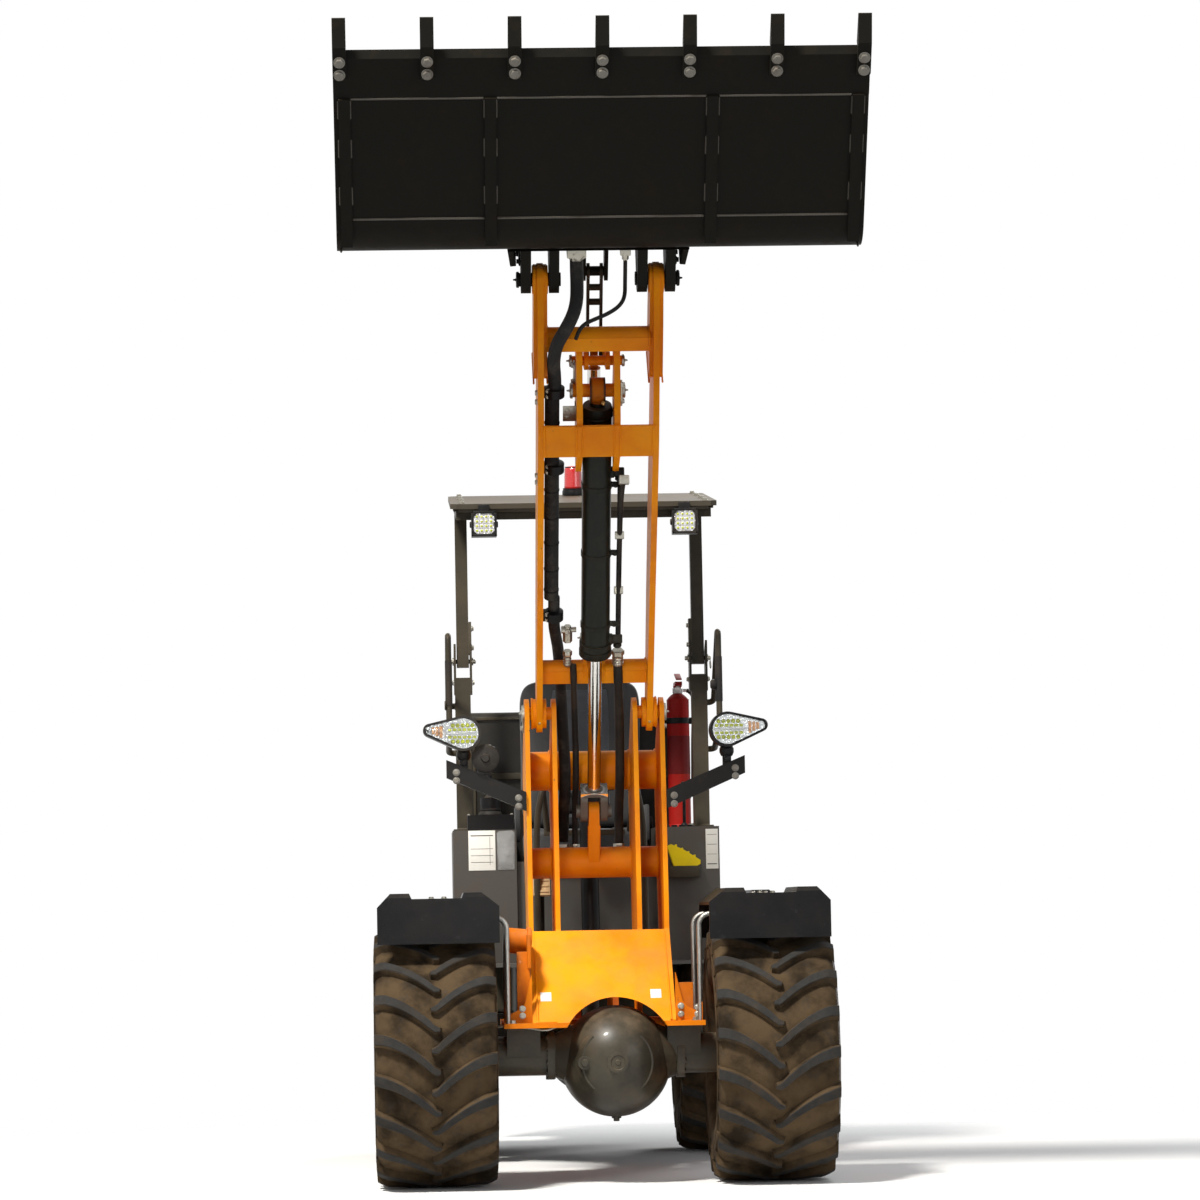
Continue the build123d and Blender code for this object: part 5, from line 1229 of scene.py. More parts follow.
def crossing_hose(name, points, radius, finish, bodies, span):
    """A hose between two bodies, declared with its real length."""
    path = spline_points(points)
    length = sum((b - a).length for a, b in zip(path, path[1:]))
    tube(path, radius)
    mesh = bench.take(name)
    mesh.materials.append(finish)
    mesh.shade_smooth()
    hose = bpy.data.objects.new(name, mesh)
    scene.collection.objects.link(hose)
    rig.blend(hose, bodies[0], bodies[1], start=span[0], end=span[1])
    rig.slot(hose, "hose_rubber")
    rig.cord(
        hose,
        exit=path[0],
        length=length,
        diameter=radius * 2,
        far_end="object",
        stiffness="stiff",
        lay="taut",
        path=path,
    )
    pieces.append(name)
    print(name, round(length, 3), "m")


def ferrule(place, way, radius):
    """A crimped hose end with its hexagon nut."""
    crimp = [(-0.004, radius * 0.9), (0, radius * 1.22)]
    for ring in range(3):
        crimp += [(0.006 + ring * 0.009, radius * 1.28), (0.010 + ring * 0.009, radius * 1.12)]
    turned(place, way, crimp + [(0.034, radius * 1.2), (0.036, radius * 0.8)], 18)
    corner = radius * 1.45
    nut = [(0, corner * 0.9), (0.002, corner), (0.016, corner), (0.018, corner * 0.88)]
    turned(place + way * 0.036, way, nut, 6)


# %% The bundle up the arm
COUPLER_TURN = across(TO_EDGE)
ARM_TURN = across(ARM_WAY)
upper_run = [in_bucket(-0.044, 0.140, -0.070), in_bucket(-0.085, 0.134, -0.070)]
upper_run += run_of(
    on_arm,
    (1.630, -0.040, -0.068), (1.590, -0.078, -0.070), (1.560, -0.118, -0.082),
    (1.510, -0.128, -0.108), (1.455, -0.128, -0.138), (1.385, -0.112, -0.146),
    (1.320, -0.080, -0.140), (1.270, -0.075, -0.139),
)
crossing_hose(
    "bundle_to_coupler", upper_run[::-1], 0.0215, SLEEVE, ("lift_arm", "bucket"),
    (on_arm(1.50, -0.12, 0), on_arm(1.66, -0.04, 0)),
)
nodes["arm_hoses"].data.materials[0] = SLEEVE
lower_run = run_of(
    on_arm,
    (0.490, -0.062, -0.139), (0.440, -0.055, -0.139), (0.350, -0.010, -0.137),
    (0.270, 0.058, -0.128), (0.195, 0.096, -0.118), (0.110, 0.104, -0.112),
    (-0.010, 0.084, -0.106), (-0.140, 0.040, -0.100), (-0.260, -0.014, -0.095),
)
lower_run += line_of((-0.100, back(0.545), 1.215), (-0.103, back(0.545), 1.138))
crossing_hose(
    "bundle_to_tower", lower_run, 0.0195, SLEEVE, ("lift_arm", "front_frame"),
    (on_arm(0.16, 0.02, -0.11), on_arm(-0.16, 0.02, -0.1)),
)
tell("bundle laid")

# %% Ports on the coupler
port_nut = [(0, 0.023), (0.004, 0.027), (0.014, 0.027)]
turned(in_bucket(-0.058, 0.138, -0.070), TO_EDGE, port_nut, 6)
box((0.062, 0.030, 0.052), in_bucket(-0.031, 0.140, -0.070), 0.004, COUPLER_TURN)
piece("coupler_ports", ZINC, "bucket", "dark_steel")
tell("coupler ports screwed in")

# %% Clamps and ties along the arm
CLAMPS = ((0.985, -0.074), (0.420, -0.060), (1.262, -0.075))  # along the arm, up
BUNDLE_X = -0.139
for distance, rise in CLAMPS:
    place = on_arm(distance, rise, BUNDLE_X)
    band = [(-0.017, 0.027), (-0.015, 0.0315), (0.015, 0.0315), (0.017, 0.027)]
    turned(place, ARM_WAY, band, 28)
    box((0.030, 0.034, 0.030), place - X_WAY * 0.027, 0.003, ARM_TURN)
piece("hose_clamps", "black_plastic", "lift_arm")

for distance, rise in CLAMPS:
    for end in (-0.010, 0.010):
        place = on_arm(distance + end, rise - 0.015, BUNDLE_X - 0.022)
        bolt(place, -ARM_UP, 0.011, end * 40)
# a pale bracket holds the sleeve beside the inner plate
box((0.040, 0.055, 0.004), on_arm(1.194, -0.098, -0.094), 0.0015, ARM_TURN)
box((0.004, 0.055, 0.040), on_arm(1.194, -0.080, -0.073), 0.0015, ARM_TURN)
for end in (-0.014, 0.014):
    bolt(on_arm(1.194 + end, -0.100, -0.100), -ARM_UP, 0.011, end * 20)
piece("clamp_bolts", ZINC, "lift_arm", "dark_steel")

# ties keep the sleeve round
for distance in (1.15, 1.08, 0.90, 0.80, 0.70, 0.60, 0.52):
    rise = -0.075 + 0.013 * (1.12 - min(distance, 1.12)) / 0.63
    tie = [(-0.003, 0.0242), (-0.0025, 0.0255), (0.0025, 0.0255), (0.003, 0.0242)]
    turned(on_arm(distance, rise, -0.148), ARM_WAY, tie, 24)
piece("sleeve_ties", "black_plastic", "lift_arm")
tell("bundle clamped")

# %% The thin hose
thin_run = [in_bucket(-0.040, 0.138, 0.086), in_bucket(-0.085, 0.132, 0.086)]
thin_run += run_of(
    on_arm,
    (1.630, -0.030, 0.086), (1.597, -0.070, 0.084), (1.578, -0.098, 0.066),
    (1.560, -0.114, 0.030), (1.545, -0.120, -0.010), (1.528, -0.122, -0.048),
    (1.500, -0.118, -0.066), (1.470, -0.112, -0.074),
)
crossing_hose(
    "thin_hose", thin_run[::-1], 0.0065, RUBBER, ("lift_arm", "bucket"),
    (on_arm(1.53, -0.12, 0), on_arm(1.66, -0.03, 0)),
)
turned(in_bucket(-0.060, 0.135, 0.086), TO_EDGE, [(0, 0.009), (0.003, 0.011), (0.030, 0.011)], 6)
box((0.034, 0.026, 0.034), in_bucket(-0.029, 0.138, 0.086), 0.004, COUPLER_TURN)
piece("coupler_port_right", ZINC, "bucket", "dark_steel")
tell("thin hose laid")

# %% The lift cylinder's fittings and pipe
LIFT_FRONT = Vector((0, -LIFT_WAY.z, LIFT_WAY.y))
if LIFT_FRONT.y > 0:
    LIFT_FRONT = -LIFT_FRONT
PORTS = (0.30, 0.93)
BARREL_END = 0.985


def on_lift(distance, out, x):
    """A point down the lift cylinder from its eye, out from its axis towards the front."""
    return at_x(x, LIFT_EYE + LIFT_WAY * distance + LIFT_FRONT * out)


gland = [
    (-0.050, 0.0485), (-0.048, 0.0535), (-0.028, 0.0535), (-0.026, 0.050), (-0.022, 0.050),
    (-0.020, 0.0545), (0.000, 0.0545), (0.003, 0.052), (0.003, 0.026), (0.009, 0.0255),
    (0.010, 0.0232),
]
turned(on_lift(BARREL_END, 0, 0), LIFT_WAY, gland, 40)
cap = [(-0.012, 0.030), (-0.010, 0.047), (0.004, 0.0505), (0.016, 0.0505), (0.018, 0.0485)]
turned(on_lift(0.064, 0, 0), LIFT_WAY, cap, 40)
ring_weld(on_lift(0.088, 0, 0), LIFT_WAY, 0.0485, 0.003)
for distance in PORTS:
    port = [(0.040, 0.020), (0.056, 0.019), (0.058, 0.016), (0.064, 0.016)]
    turned(on_lift(distance, 0, 0), X_WAY, port, 20)
piece("lift_barrel_fittings", "cylinder_paint", "lift_barrel")
for distance in PORTS:
    place = on_lift(distance, 0, 0.074)
    box((0.032, 0.030, 0.030), place, 0.004)
    elbow = [(0, 0.013), (0.002, 0.014), (0.014, 0.014), (0.016, 0.012)]
    turned(place + LIFT_WAY * 0.014, LIFT_WAY, elbow, 6)
for distance in (0.345, 0.60, 0.87):
    band = [(-0.009, 0.0486), (-0.008, 0.0505), (0.008, 0.0505), (0.009, 0.0486)]
    turned(on_lift(distance, 0, 0), LIFT_WAY, band, 36, closed=False)
    box((0.030, 0.018, 0.018), on_lift(distance, 0, 0.062))
    bolt(on_lift(distance, 0.010, 0.062), LIFT_FRONT, 0.010)
piece("lift_port_blocks", "cylinder_paint", "lift_barrel")
pipe_run = run_of(
    on_lift,
    (0.318, 0, 0.074), (0.345, 0, 0.075), (0.600, 0, 0.075),
    (0.760, 0, 0.075), (0.880, 0, 0.074), (0.925, -0.004, 0.074),
)
pipe("lift_pipe", pipe_run, 0.0065, RUBBER, "lift_barrel")
tell("lift cylinder dressed")

# %% Hoses and pipes at the arm's foot
for side_x, side_name, radius in ((0.0905, "right", 0.0155), (-0.060, "left", 0.011)):
    low_run = [
        on_arm(distance, rise, side_x + aside)
        for distance, rise, aside in (
            (0.194, -0.004, -0.012), (0.150, -0.010, -0.010), (0.080, 0.000, -0.008),
            (-0.020, 0.012, -0.004), (-0.150, 0.010, 0.0), (-0.260, -0.020, 0.0),
        )
    ]
    low_run += line_of((side_x, back(0.535), 1.225), (side_x, back(0.540), 1.128))
    crossing_hose(
        f"arm_hose_{side_name}", low_run, radius, RUBBER, ("lift_arm", "front_frame"),
        (on_arm(0.14, 0, side_x), on_arm(-0.16, 0, side_x)),
    )
for x, radius in ((0.0785, 0.0155), (-0.091, 0.011)):
    ferrule(on_arm(0.194, -0.004, x), ARM_WAY, radius)
tee = [(0, 0.016), (0.050, 0.016), (0.052, 0.012), (0.060, 0.012)]
turned(on_arm(0.285, -0.004, -0.091), ARM_WAY, tee, 6)
stub = [(0, 0.013), (0.018, 0.013), (0.018, 0.009), (0.05, 0.009)]
turned(on_arm(0.330, -0.004, -0.112), X_WAY, stub, 8)
piece("arm_hose_ends", ZINC, "lift_arm", "dark_steel")
arm_pipe_run = run_of(
    on_arm,
    (0.262, -0.004, 0.0785), (0.330, -0.010, 0.0785), (0.50, -0.040, 0.0765),
    (0.72, -0.060, 0.0765), (0.88, -0.078, 0.0785), (0.93, -0.090, 0.084),
)
pipe("arm_pipe_right", arm_pipe_run, 0.009, RUBBER, "lift_arm")
box((0.034, 0.040, 0.030), on_arm(0.945, -0.094, 0.087), 0.004)
for distance in (0.50, 0.72):
    box((0.030, 0.022, 0.026), on_arm(distance, -0.040 - 0.09 * (distance - 0.5), 0.0765))
piece("arm_pipe_blocks", ZINC, "lift_arm", "dark_steel")
for x, size in ((-0.103, 0.050), (0.0905, 0.040), (-0.060, 0.030)):
    nut = [(-0.045, size * 0.4), (-0.004, size * 0.42), (0.0, size * 0.5), (0.012, size * 0.5)]
    turned((x, back(0.541), 1.118), UP, nut, 6)
piece("tower_hose_ends", ZINC, "front_frame", "dark_steel")
tell("hoses laid")


# %% [markdown]
# ## Lamps
# A lamp is read by its depth: a silvered bowl, rows of small yellow-green domes with a clear bar
# between them, an amber tip, and a clear cover in front that picks up one soft highlight.  The CAD
# lamp already has its rim and recess, so the bowl, the domes and the cover only fill it.

# %% Lens finishes
silver_bowl = Finish("silver_bowl", metallic=1.0)
bowl_cells = silver_bowl.cells(95)
SILVER = silver_bowl.use(
    Base_Color=silver_bowl.mix((0.78, 0.79, 0.78), (0.42, 0.43, 0.44), bowl_cells),
    Roughness=0.16 + bowl_cells * 0.2,
    Normal=silver_bowl.bump(bowl_cells, 0.002),
)


def lens_finish(name, colour, deeper):
    """Moulded lens plastic: fine prisms under a glossy skin."""
    finish = Finish(name, coat=1.0)
    prisms = finish.cells(240)
    return finish.use(
        Coat_Roughness=0.04,
        Base_Color=finish.mix(colour, deeper, prisms),
        Roughness=0.1 + prisms * 0.1,
        Normal=finish.bump(prisms, 0.0005),
    )


LED_GLOW = lens_finish("led_phosphor", from_bytes(206, 214, 40), from_bytes(150, 156, 16))
AMBER = lens_finish("amber_lens", from_bytes(236, 176, 110), from_bytes(190, 120, 60))
RED_LENS = lens_finish("red_lens", (0.60, 0.012, 0.010), (0.32, 0.006, 0.006))
WHITE_LENS = lens_finish("white_lens", (0.72, 0.73, 0.72), (0.45, 0.46, 0.46))
ORANGE_LENS = lens_finish("orange_lens", (0.80, 0.22, 0.01), (0.5, 0.12, 0.005))
print("lens finishes ready")

# %% Lamp glass
glass = Finish("lamp_glass", specular=0.6)
glass_smear = glass.noise(25, 5, 0.6).between(0.5, 0.8)
GLASS = glass.use(
    Transmission_Weight=1.0,
    IOR=1.3,
    Base_Color=(0.97, 0.98, 0.98),
    Roughness=0.02 + glass_smear * 0.08,
)
print("lamp glass ready")

# %% Domes and teardrop slabs
def dome(place, way, radius, high, finish=0, segments=14):
    """A small lens dome."""
    rows = [(0, radius), (high * 0.45, radius * 0.92), (high * 0.8, radius * 0.62)]
    turned(place, way, rows + [(high, radius * 0.2)], segments, finish=finish)


BIG_ARC, SMALL_ARC = 14, 7  # steps round the teardrop's two ends


def drop_outline(inner_x, tip_x, big, small, lift):
    """The teardrop of a lamp: a large arc, then a small one at its outer tip."""
    reach = tip_x - inner_x
    lean = math.acos((big - small) / math.hypot(reach, lift))
    rise = math.atan2(lift, reach)
    points = []
    for n in range(BIG_ARC + 1):
        angle = rise + lean + (2 * math.pi - 2 * lean) * n / BIG_ARC
        points.append((inner_x + big * math.cos(angle), big * math.sin(angle)))
    for n in range(SMALL_ARC + 1):
        angle = rise - lean + 2 * lean * n / SMALL_ARC
        points.append((tip_x + small * math.cos(angle), lift + small * math.sin(angle)))
    return points


def slab(outline, y_front, y_back, crown=0.0):
    """An upright slab from an X, Z outline, its front edge broken and its face crowned."""
    middle_x = sum(x for x, _ in outline) / len(outline)
    middle_z = sum(z for _, z in outline) / len(outline)
    cuts = [(y_back, 1.0), (y_front + crown + 0.0012, 1.0), (y_front + crown, 0.985)]
    if crown:
        cuts += [(y_front + crown * 0.35, 0.72), (y_front, 0.35)]
    rings = []
    for y, shrink in cuts:
        rings.append([])
        for x, z in outline:
            place = (middle_x + (x - middle_x) * shrink, y, middle_z + (z - middle_z) * shrink)
            rings[-1].append(bench.corner(place))
    bench.skin(rings)
    bench.face(rings[0])
    bench.face(rings[-1])


print("domes and slabs ready")


# %% Headlamps
LAMP_BAR = back(0.190)
LAMP_FACE = LAMP_BAR - 0.070
LAMP_Z = 1.502
DOME_ROW, CELL_ROW, LAMP_PITCH = 0.027, 0.0125, 0.0165
BOWL_DEEP = 0.0068


def in_lamp(hand, x, up, deep=BOWL_DEEP):
    """A place in a bowl, out from the machine's middle and up from the lamp's."""
    return (hand * x, LAMP_FACE + deep, LAMP_Z + up)


for hand, side_name in SIDES:
    bowl = [(hand * x, LAMP_Z + z) for x, z in drop_outline(0.444, 0.558, 0.0515, 0.0145, 0.012)]
    slab(bowl, LAMP_FACE + BOWL_DEEP, LAMP_FACE + 0.0088)
    # two rows of domes, the clear bar between them and the amber tip
    for row in (-DOME_ROW, DOME_ROW):
        for n in range(5):
            dome(in_lamp(hand, 0.414 + n * LAMP_PITCH, row), AHEAD, 0.0074, 0.0042, 1)
    for row in (-CELL_ROW, CELL_ROW):
        for n in range(6):
            place = in_lamp(hand, 0.408 + n * LAMP_PITCH, row)
            box((0.0135, 0.004, 0.010), place, 0.0012, finish=1)
    box((0.100, 0.005, 0.0085), in_lamp(hand, 0.450, 0, 0.0058), 0.0015, finish=2)
    for n in range(3):
        place = in_lamp(hand, 0.520 + n * 0.013, 0.006 + n * 0.002)
        box((0.0105, 0.004, 0.040 - n * 0.008), place, 0.0012, finish=3)
    finish_list = [SILVER, LED_GLOW, WHITE_LENS, AMBER]
    piece(f"headlamp_bowl_{side_name}", finish_list, "front_frame", "lamp_body")
    slab(bowl, LAMP_FACE - 0.0010, LAMP_FACE + 0.0018, 0.0022)
    piece(f"headlamp_cover_{side_name}", GLASS, "front_frame", "lamp_body")
    ball = [(-0.022, 0.010), (-0.018, 0.019), (-0.006, 0.0245)]
    ball += [(-along, radius) for along, radius in reversed(ball)]
    turned((hand * 0.444, LAMP_BAR, 1.432), UP, ball)
    cap = [(0, 0.012), (0.010, 0.012), (0.012, 0.009)]
    turned((hand * 0.444, LAMP_BAR - 0.016, 1.405), AHEAD, cap, 6)
    # cooling ribs on the back
    for n in range(7):
        place = (hand * (0.405 + n * 0.015), LAMP_BAR + 0.018, LAMP_Z + 0.002)
        box((0.0035, 0.014, 0.070), place, 0.001)
    piece(f"headlamp_mount_{side_name}", "lamp_body", "front_frame")
tell("headlamps filled")

# %% Horn and lamp bolts
horn_rows = [(0, 0.030), (0.004, 0.046), (0.016, 0.047), (0.020, 0.040), (0.022, 0.016)]
turned((-0.372, LAMP_BAR - 0.030, 1.418), AHEAD, horn_rows + [(0.030, 0.012)], 32)
box((0.050, 0.030, 0.020), (-0.376, LAMP_BAR - 0.016, 1.372))
piece("horn", "lamp_body", "front_frame")
for hand in HANDS:
    for x, z in ((0.262, 1.283), (0.262, 1.255), (0.47, 1.372), (0.47, 1.345)):
        bolt((hand * x, LAMP_BAR - 0.030, z), AHEAD, 0.016, x * 9)
piece("lamp_bar_bolts", WORN_BOLTS, "front_frame", "dark_steel")
tell("horn fitted")

# %% Work lamps
ROOF_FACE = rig.box("roof_lamps")[0].y
WORK_LAMP_HALF = 0.037
ROOF_SLOPE = math.radians(7.5)
ROOF_WAY = Vector((0, -math.sin(ROOF_SLOPE), math.cos(ROOF_SLOPE)))
BEACON = Vector((-0.010, back(1.450), 2.335 + 0.680 * math.tan(ROOF_SLOPE)))
for hand, side_name in SIDES:
    centre = Vector((hand * 0.353, ROOF_FACE, 2.261))
    for x, z in ((0, 1), (0, -1), (1, 0), (-1, 0)):
        size = (0.009, 0.010, 0.090) if x else (0.090, 0.010, 0.009)
        box(size, centre + Vector((x * 0.0405, -0.003, z * 0.0405)), 0.0025)
    for x in HANDS:
        for z in HANDS:
            place = centre + Vector((x * 0.034, -0.003, z * 0.034))
            box((0.024, 0.009, 0.010), place, 0.002, tilted(45 * x * z, "Y"))
    # bracket up to the roof, and its bolt
    box((0.040, 0.030, 0.030), centre + Vector((0, 0.040, 0.055)))
    stud = [(0, 0.009), (0.002, 0.011), (0.098, 0.011), (0.100, 0.009)]
    turned(centre + Vector((-0.050, 0.035, 0.0)), X_WAY, stud, 16)
    piece(f"work_lamp_rim_{side_name}", "lamp_body", "canopy")
    panel = [(-1, -0.7), (-0.7, -1), (0.7, -1), (1, -0.7), (1, 0.7), (0.7, 1), (-0.7, 1), (-1, 0.7)]
    panel = [(centre.x + x * WORK_LAMP_HALF, centre.z + z * WORK_LAMP_HALF) for x, z in panel]
    slab(panel, ROOF_FACE - 0.0016, ROOF_FACE + 0.001)
    for row in range(4):
        for column in range(4):
            aside, up = (column - 1.5) * LAMP_PITCH, (row - 1.5) * LAMP_PITCH
            place = centre + Vector((aside, -0.0016, up))
            box((0.0138, 0.0022, 0.0138), place, 0.0009, finish=1)
            dome(place + AHEAD * 0.0011, AHEAD, 0.0042, 0.0022, 2, 10)
    finish_list = [SILVER, WHITE_LENS, LED_GLOW]
    piece(f"work_lamp_lens_{side_name}", finish_list, "canopy", "lamp_body")
tell("work lamps filled")

# %% Beacon
base = [(0.001, 0.0385), (0.003, 0.041), (0.016, 0.041), (0.020, 0.0385), (0.027, 0.0385)]
turned(BEACON, ROOF_WAY, base, 40)
piece("beacon_base", "black_plastic", "canopy", "lamp_body")
cup = [(0.027, 0.033), (0.030, 0.0345)]
for n in range(8):
    cup += [(0.036 + n * 0.007, 0.0345 - n * 0.0002), (0.0385 + n * 0.007, 0.0333 - n * 0.0002)]
cup += [(0.096, 0.0325), (0.104, 0.029), (0.108, 0.021), (0.1095, 0.008)]
turned(BEACON, ROOF_WAY, cup, 40)
piece("beacon_cup", RED_LENS, "canopy", "lamp_body")
tell("beacon fitted")

# %% Tail lamps
TAIL_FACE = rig.box("tail_lamps")[1].y
for hand, side_name in SIDES:
    for index, (z, tall) in enumerate(((0.834, 0.031), (0.800, 0.025), (0.765, 0.033))):
        box((0.052, 0.006, tall), (hand * 0.330, TAIL_FACE + 0.001, z), 0.002, finish=index)
        for column in range(4):
            place = (hand * 0.330 + (column - 1.5) * 0.012, TAIL_FACE + 0.004, z)
            dome(place, REARWARD, 0.0045, 0.0015, index, 10)
    finish_list = [ORANGE_LENS, WHITE_LENS, RED_LENS]
    piece(f"tail_lens_{side_name}", finish_list, "rear_frame", "lamp_body")
tell("lamps fitted")


# %% [markdown]
# ## The operator's seat
# A loader's seat is a black moulded shell with a fabric panel up its middle.  A flat-sided box
# would look like a crate, so each pad starts as a finely divided cube that is pushed towards a
# rounded form: full in the middle, drawn in between its corners, pressed in along its channels.

# %% Seat fabric and leathercloth
fabric = Finish("seat_fabric", sheen=0.4)
weave_x, weave_z, weave_y = (fabric.waves(direction, 130.0) for direction in "XZY")
weave = (weave_x + weave_z + weave_y) * 0.33
fabric_tone = fabric.noise(8, 4, 0.6) * 0.7 + weave * 0.3
FABRIC = fabric.use(
    Base_Color=fabric.mix(from_bytes(96, 98, 102), from_bytes(70, 72, 76), fabric_tone),
    Roughness=0.85 + weave * 0.1,
    Normal=fabric.bump(weave, 0.0012),
)
leather = Finish("seat_leathercloth", specular=0.45, sheen=0.15)
grain_cells = leather.cells(520)
crease = leather.noise(14, 5, 0.65)
LEATHER = leather.use(
    Base_Color=leather.mix((0.013, 0.013, 0.014), (0.030, 0.029, 0.028), crease),
    Roughness=0.46 + crease * 0.18,
    Normal=leather.bump(grain_cells + crease * 0.8, 0.0007),
)
print("seat fabric and leathercloth ready")

# %% Seat pads with sewn channels
PANEL_HALF = 0.46  # the fabric panel's half width, as a share of the pad's
CROWN, WING, SEAM, CHANNEL, SUNK = 0.16, 0.20, 0.11, 0.12, 0.20
TOP_FROM = 0.35  # where the top's forms begin, as a share of the pad's half height


def hump(at, centre, width):
    """A smooth hump, 1 at its centre."""
    return math.exp(-(((at - centre) / width) ** 2))


def pad(name, body_node, up_axis, channels):
    """A crowned cushion in a node's box; up_axis is the way it is sat on, channels run across."""
    edit = bench.edit
    bmesh.ops.create_cube(edit, size=2.0)
    bmesh.ops.subdivide_edges(edit, edges=edit.edges, cuts=29, use_grid_fill=True)
    low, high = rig.box(body_node)
    centre, half = (low + high) / 2, (high - low) / 2
    run_axis = 1 if up_axis == 2 else 2
    sat_way = 1 if up_axis == 2 else -1
    for vert in edit.verts:
        place = vert.co / sum(abs(c) ** 7 for c in vert.co) ** (1 / 7)
        # drawn in between the corners
        place.x *= 1 - 0.030 * (1 - place[run_axis] ** 2) * abs(place.x) ** 4
        out = place[up_axis] * sat_way
        if out > TOP_FROM:
            aside = abs(place.x)
            rise = CROWN * (1 - aside**2) * (1 - place[run_axis] ** 2) - SUNK
            rise += WING * hump(aside, 0.80, 0.16) - SEAM * hump(aside, PANEL_HALF, 0.020)
            if aside < PANEL_HALF:
                rise -= sum(CHANNEL * hump(place[run_axis], at, 0.030) for at in channels)
            place[up_axis] = sat_way * (out + rise * (out - TOP_FROM) / (1 - TOP_FROM))
        vert.co = Vector(c + p * h for c, p, h in zip(centre, place, half))
    edit.normal_update()
    for face in edit.faces:
        place = face.calc_center_median() - centre
        shares = [p / h for p, h in zip(place, half)]
        on_panel = abs(shares[0]) < PANEL_HALF and shares[up_axis] * sat_way > 0.3
        face.material_index = 1 if on_panel and abs(shares[run_axis]) < 0.86 else 0
    made = piece(name, [LEATHER, FABRIC], "rear_frame", "seat_cover", angle=180)
    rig.replaces(made, body_node)
    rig.padded(made, fill=0.75)


pad("seat_cushion_pad", "seat_cushion", 2, (-0.35, 0.15, 0.6))
pad("seat_back_pad", "seat_backrest", 1, (-0.45, 0.05, 0.52))
tell("seat padded")

# %% Seat piping, recliner covers and levers
seat_low, seat_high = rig.box("seat_cushion")
RECLINER_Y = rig.box("seat_backrest")[0].y + 0.010
RECLINER_Z = seat_high.z + 0.020
for hand in HANDS:
    x = hand * PANEL_HALF * (seat_high.x - seat_low.x) / 2
    piping = line_of(
        (x, seat_low.y + 0.012, seat_high.z - 0.045), (x, seat_low.y + 0.020, seat_high.z - 0.015),
        (x, seat_low.y + 0.120, seat_high.z - 0.004), (x, seat_high.y - 0.120, seat_high.z - 0.004),
        (x, seat_high.y - 0.030, seat_high.z - 0.014),
    )
    tube(spline_points(piping, 6), 0.0032, 8)
    box((0.020, 0.110, 0.130), (hand * 0.236, RECLINER_Y, RECLINER_Z), 0.008)
piece("seat_trim", LEATHER, "rear_frame", "seat_cover")
for hand in HANDS:
    knob = [(0, 0.022), (0.010, 0.022), (0.013, 0.017)]
    turned((hand * 0.246, RECLINER_Y, RECLINER_Z), (hand, 0, 0), knob)
slide_bar = [(0, 0.006), (0.05, 0.006), (0.052, 0.011), (0.10, 0.011), (0.104, 0.008)]
turned((0.120, seat_low.y + 0.04, seat_low.z - 0.030), AHEAD, slide_bar, 16)
piece("seat_levers", "black_plastic", "rear_frame", "seat_cover")
tell("seat sewn")


# %% [markdown]
# ## The tower and the chassis in front
# Blank plates, the deck's bolts, pins at the arm's foot and the round tube at the tower's side all
# ride on the front frame.  The gussets there take a darker, browner orange that is painted shade.

# %% Tower seams
BIG_TUBE = Vector((0, back(0.520), 1.383))
LOW_TUBE = Vector((0, back(0.490), 1.066))
DECK_EDGE = back(-0.150)
for tube_centre, radius in ((BIG_TUBE, 0.067), (LOW_TUBE, 0.053)):
    for hand in HANDS:
        for x in (0.219, 0.146, 0.128):
            ring_weld(at_x(hand * x, tube_centre), X_WAY, radius + 0.001, 0.0045)
for hand in HANDS:
    apron_x, deck_x, clevis_x = hand * 0.219, hand * 0.238, hand * 0.019
    weld((apron_x, DECK_EDGE - 0.002, 0.540), (apron_x, back(0.150) - 0.002, 0.830), 0.004)
    weld((deck_x, back(-0.12), 0.538), (deck_x, back(0.42), 0.538), 0.005)
    low_end = (clevis_x, LOW_TUBE.y - 0.050, LOW_TUBE.z + 0.02)
    weld(low_end, (clevis_x, CLEVIS.y - 0.010, CLEVIS.z - 0.05), 0.003)
for left, right_end in ((-0.225, -0.155), (0.235, 0.225)):
    weld((left, DECK_EDGE - 0.003, 0.538), (right_end, DECK_EDGE - 0.003, 0.538), 0.005)
piece("tower_welds", "yellow_paint", "front_frame")
tell("tower welded")

# %% Tower pins, bolts, side brackets and blank stickers
for hand in HANDS:
    pin_end(at_x(hand * 0.236, ARM_PIVOT), hand, 0.030)
    place = (hand * 0.2385, ARM_PIVOT.y + 0.046, ARM_PIVOT.z - 0.020)
    keeper(place, hand, (0, 0.4, -1))
for x, heights in ((-0.268, (0.583, 0.560)), (0.253, (0.583, 0.556)), (0.308, (0.556, 0.578))):
    for z in heights:
        bolt((x, back(-0.1275), z), AHEAD, 0.014, x * 40)
for hand in HANDS:
    for distance in (-0.14, -0.06, 0.10, 0.22, 0.34):
        bolt((hand * 0.302, back(distance), 0.536), UP, 0.020, distance * 20)
piece("tower_bolts", ZINC, "front_frame", "dark_steel")
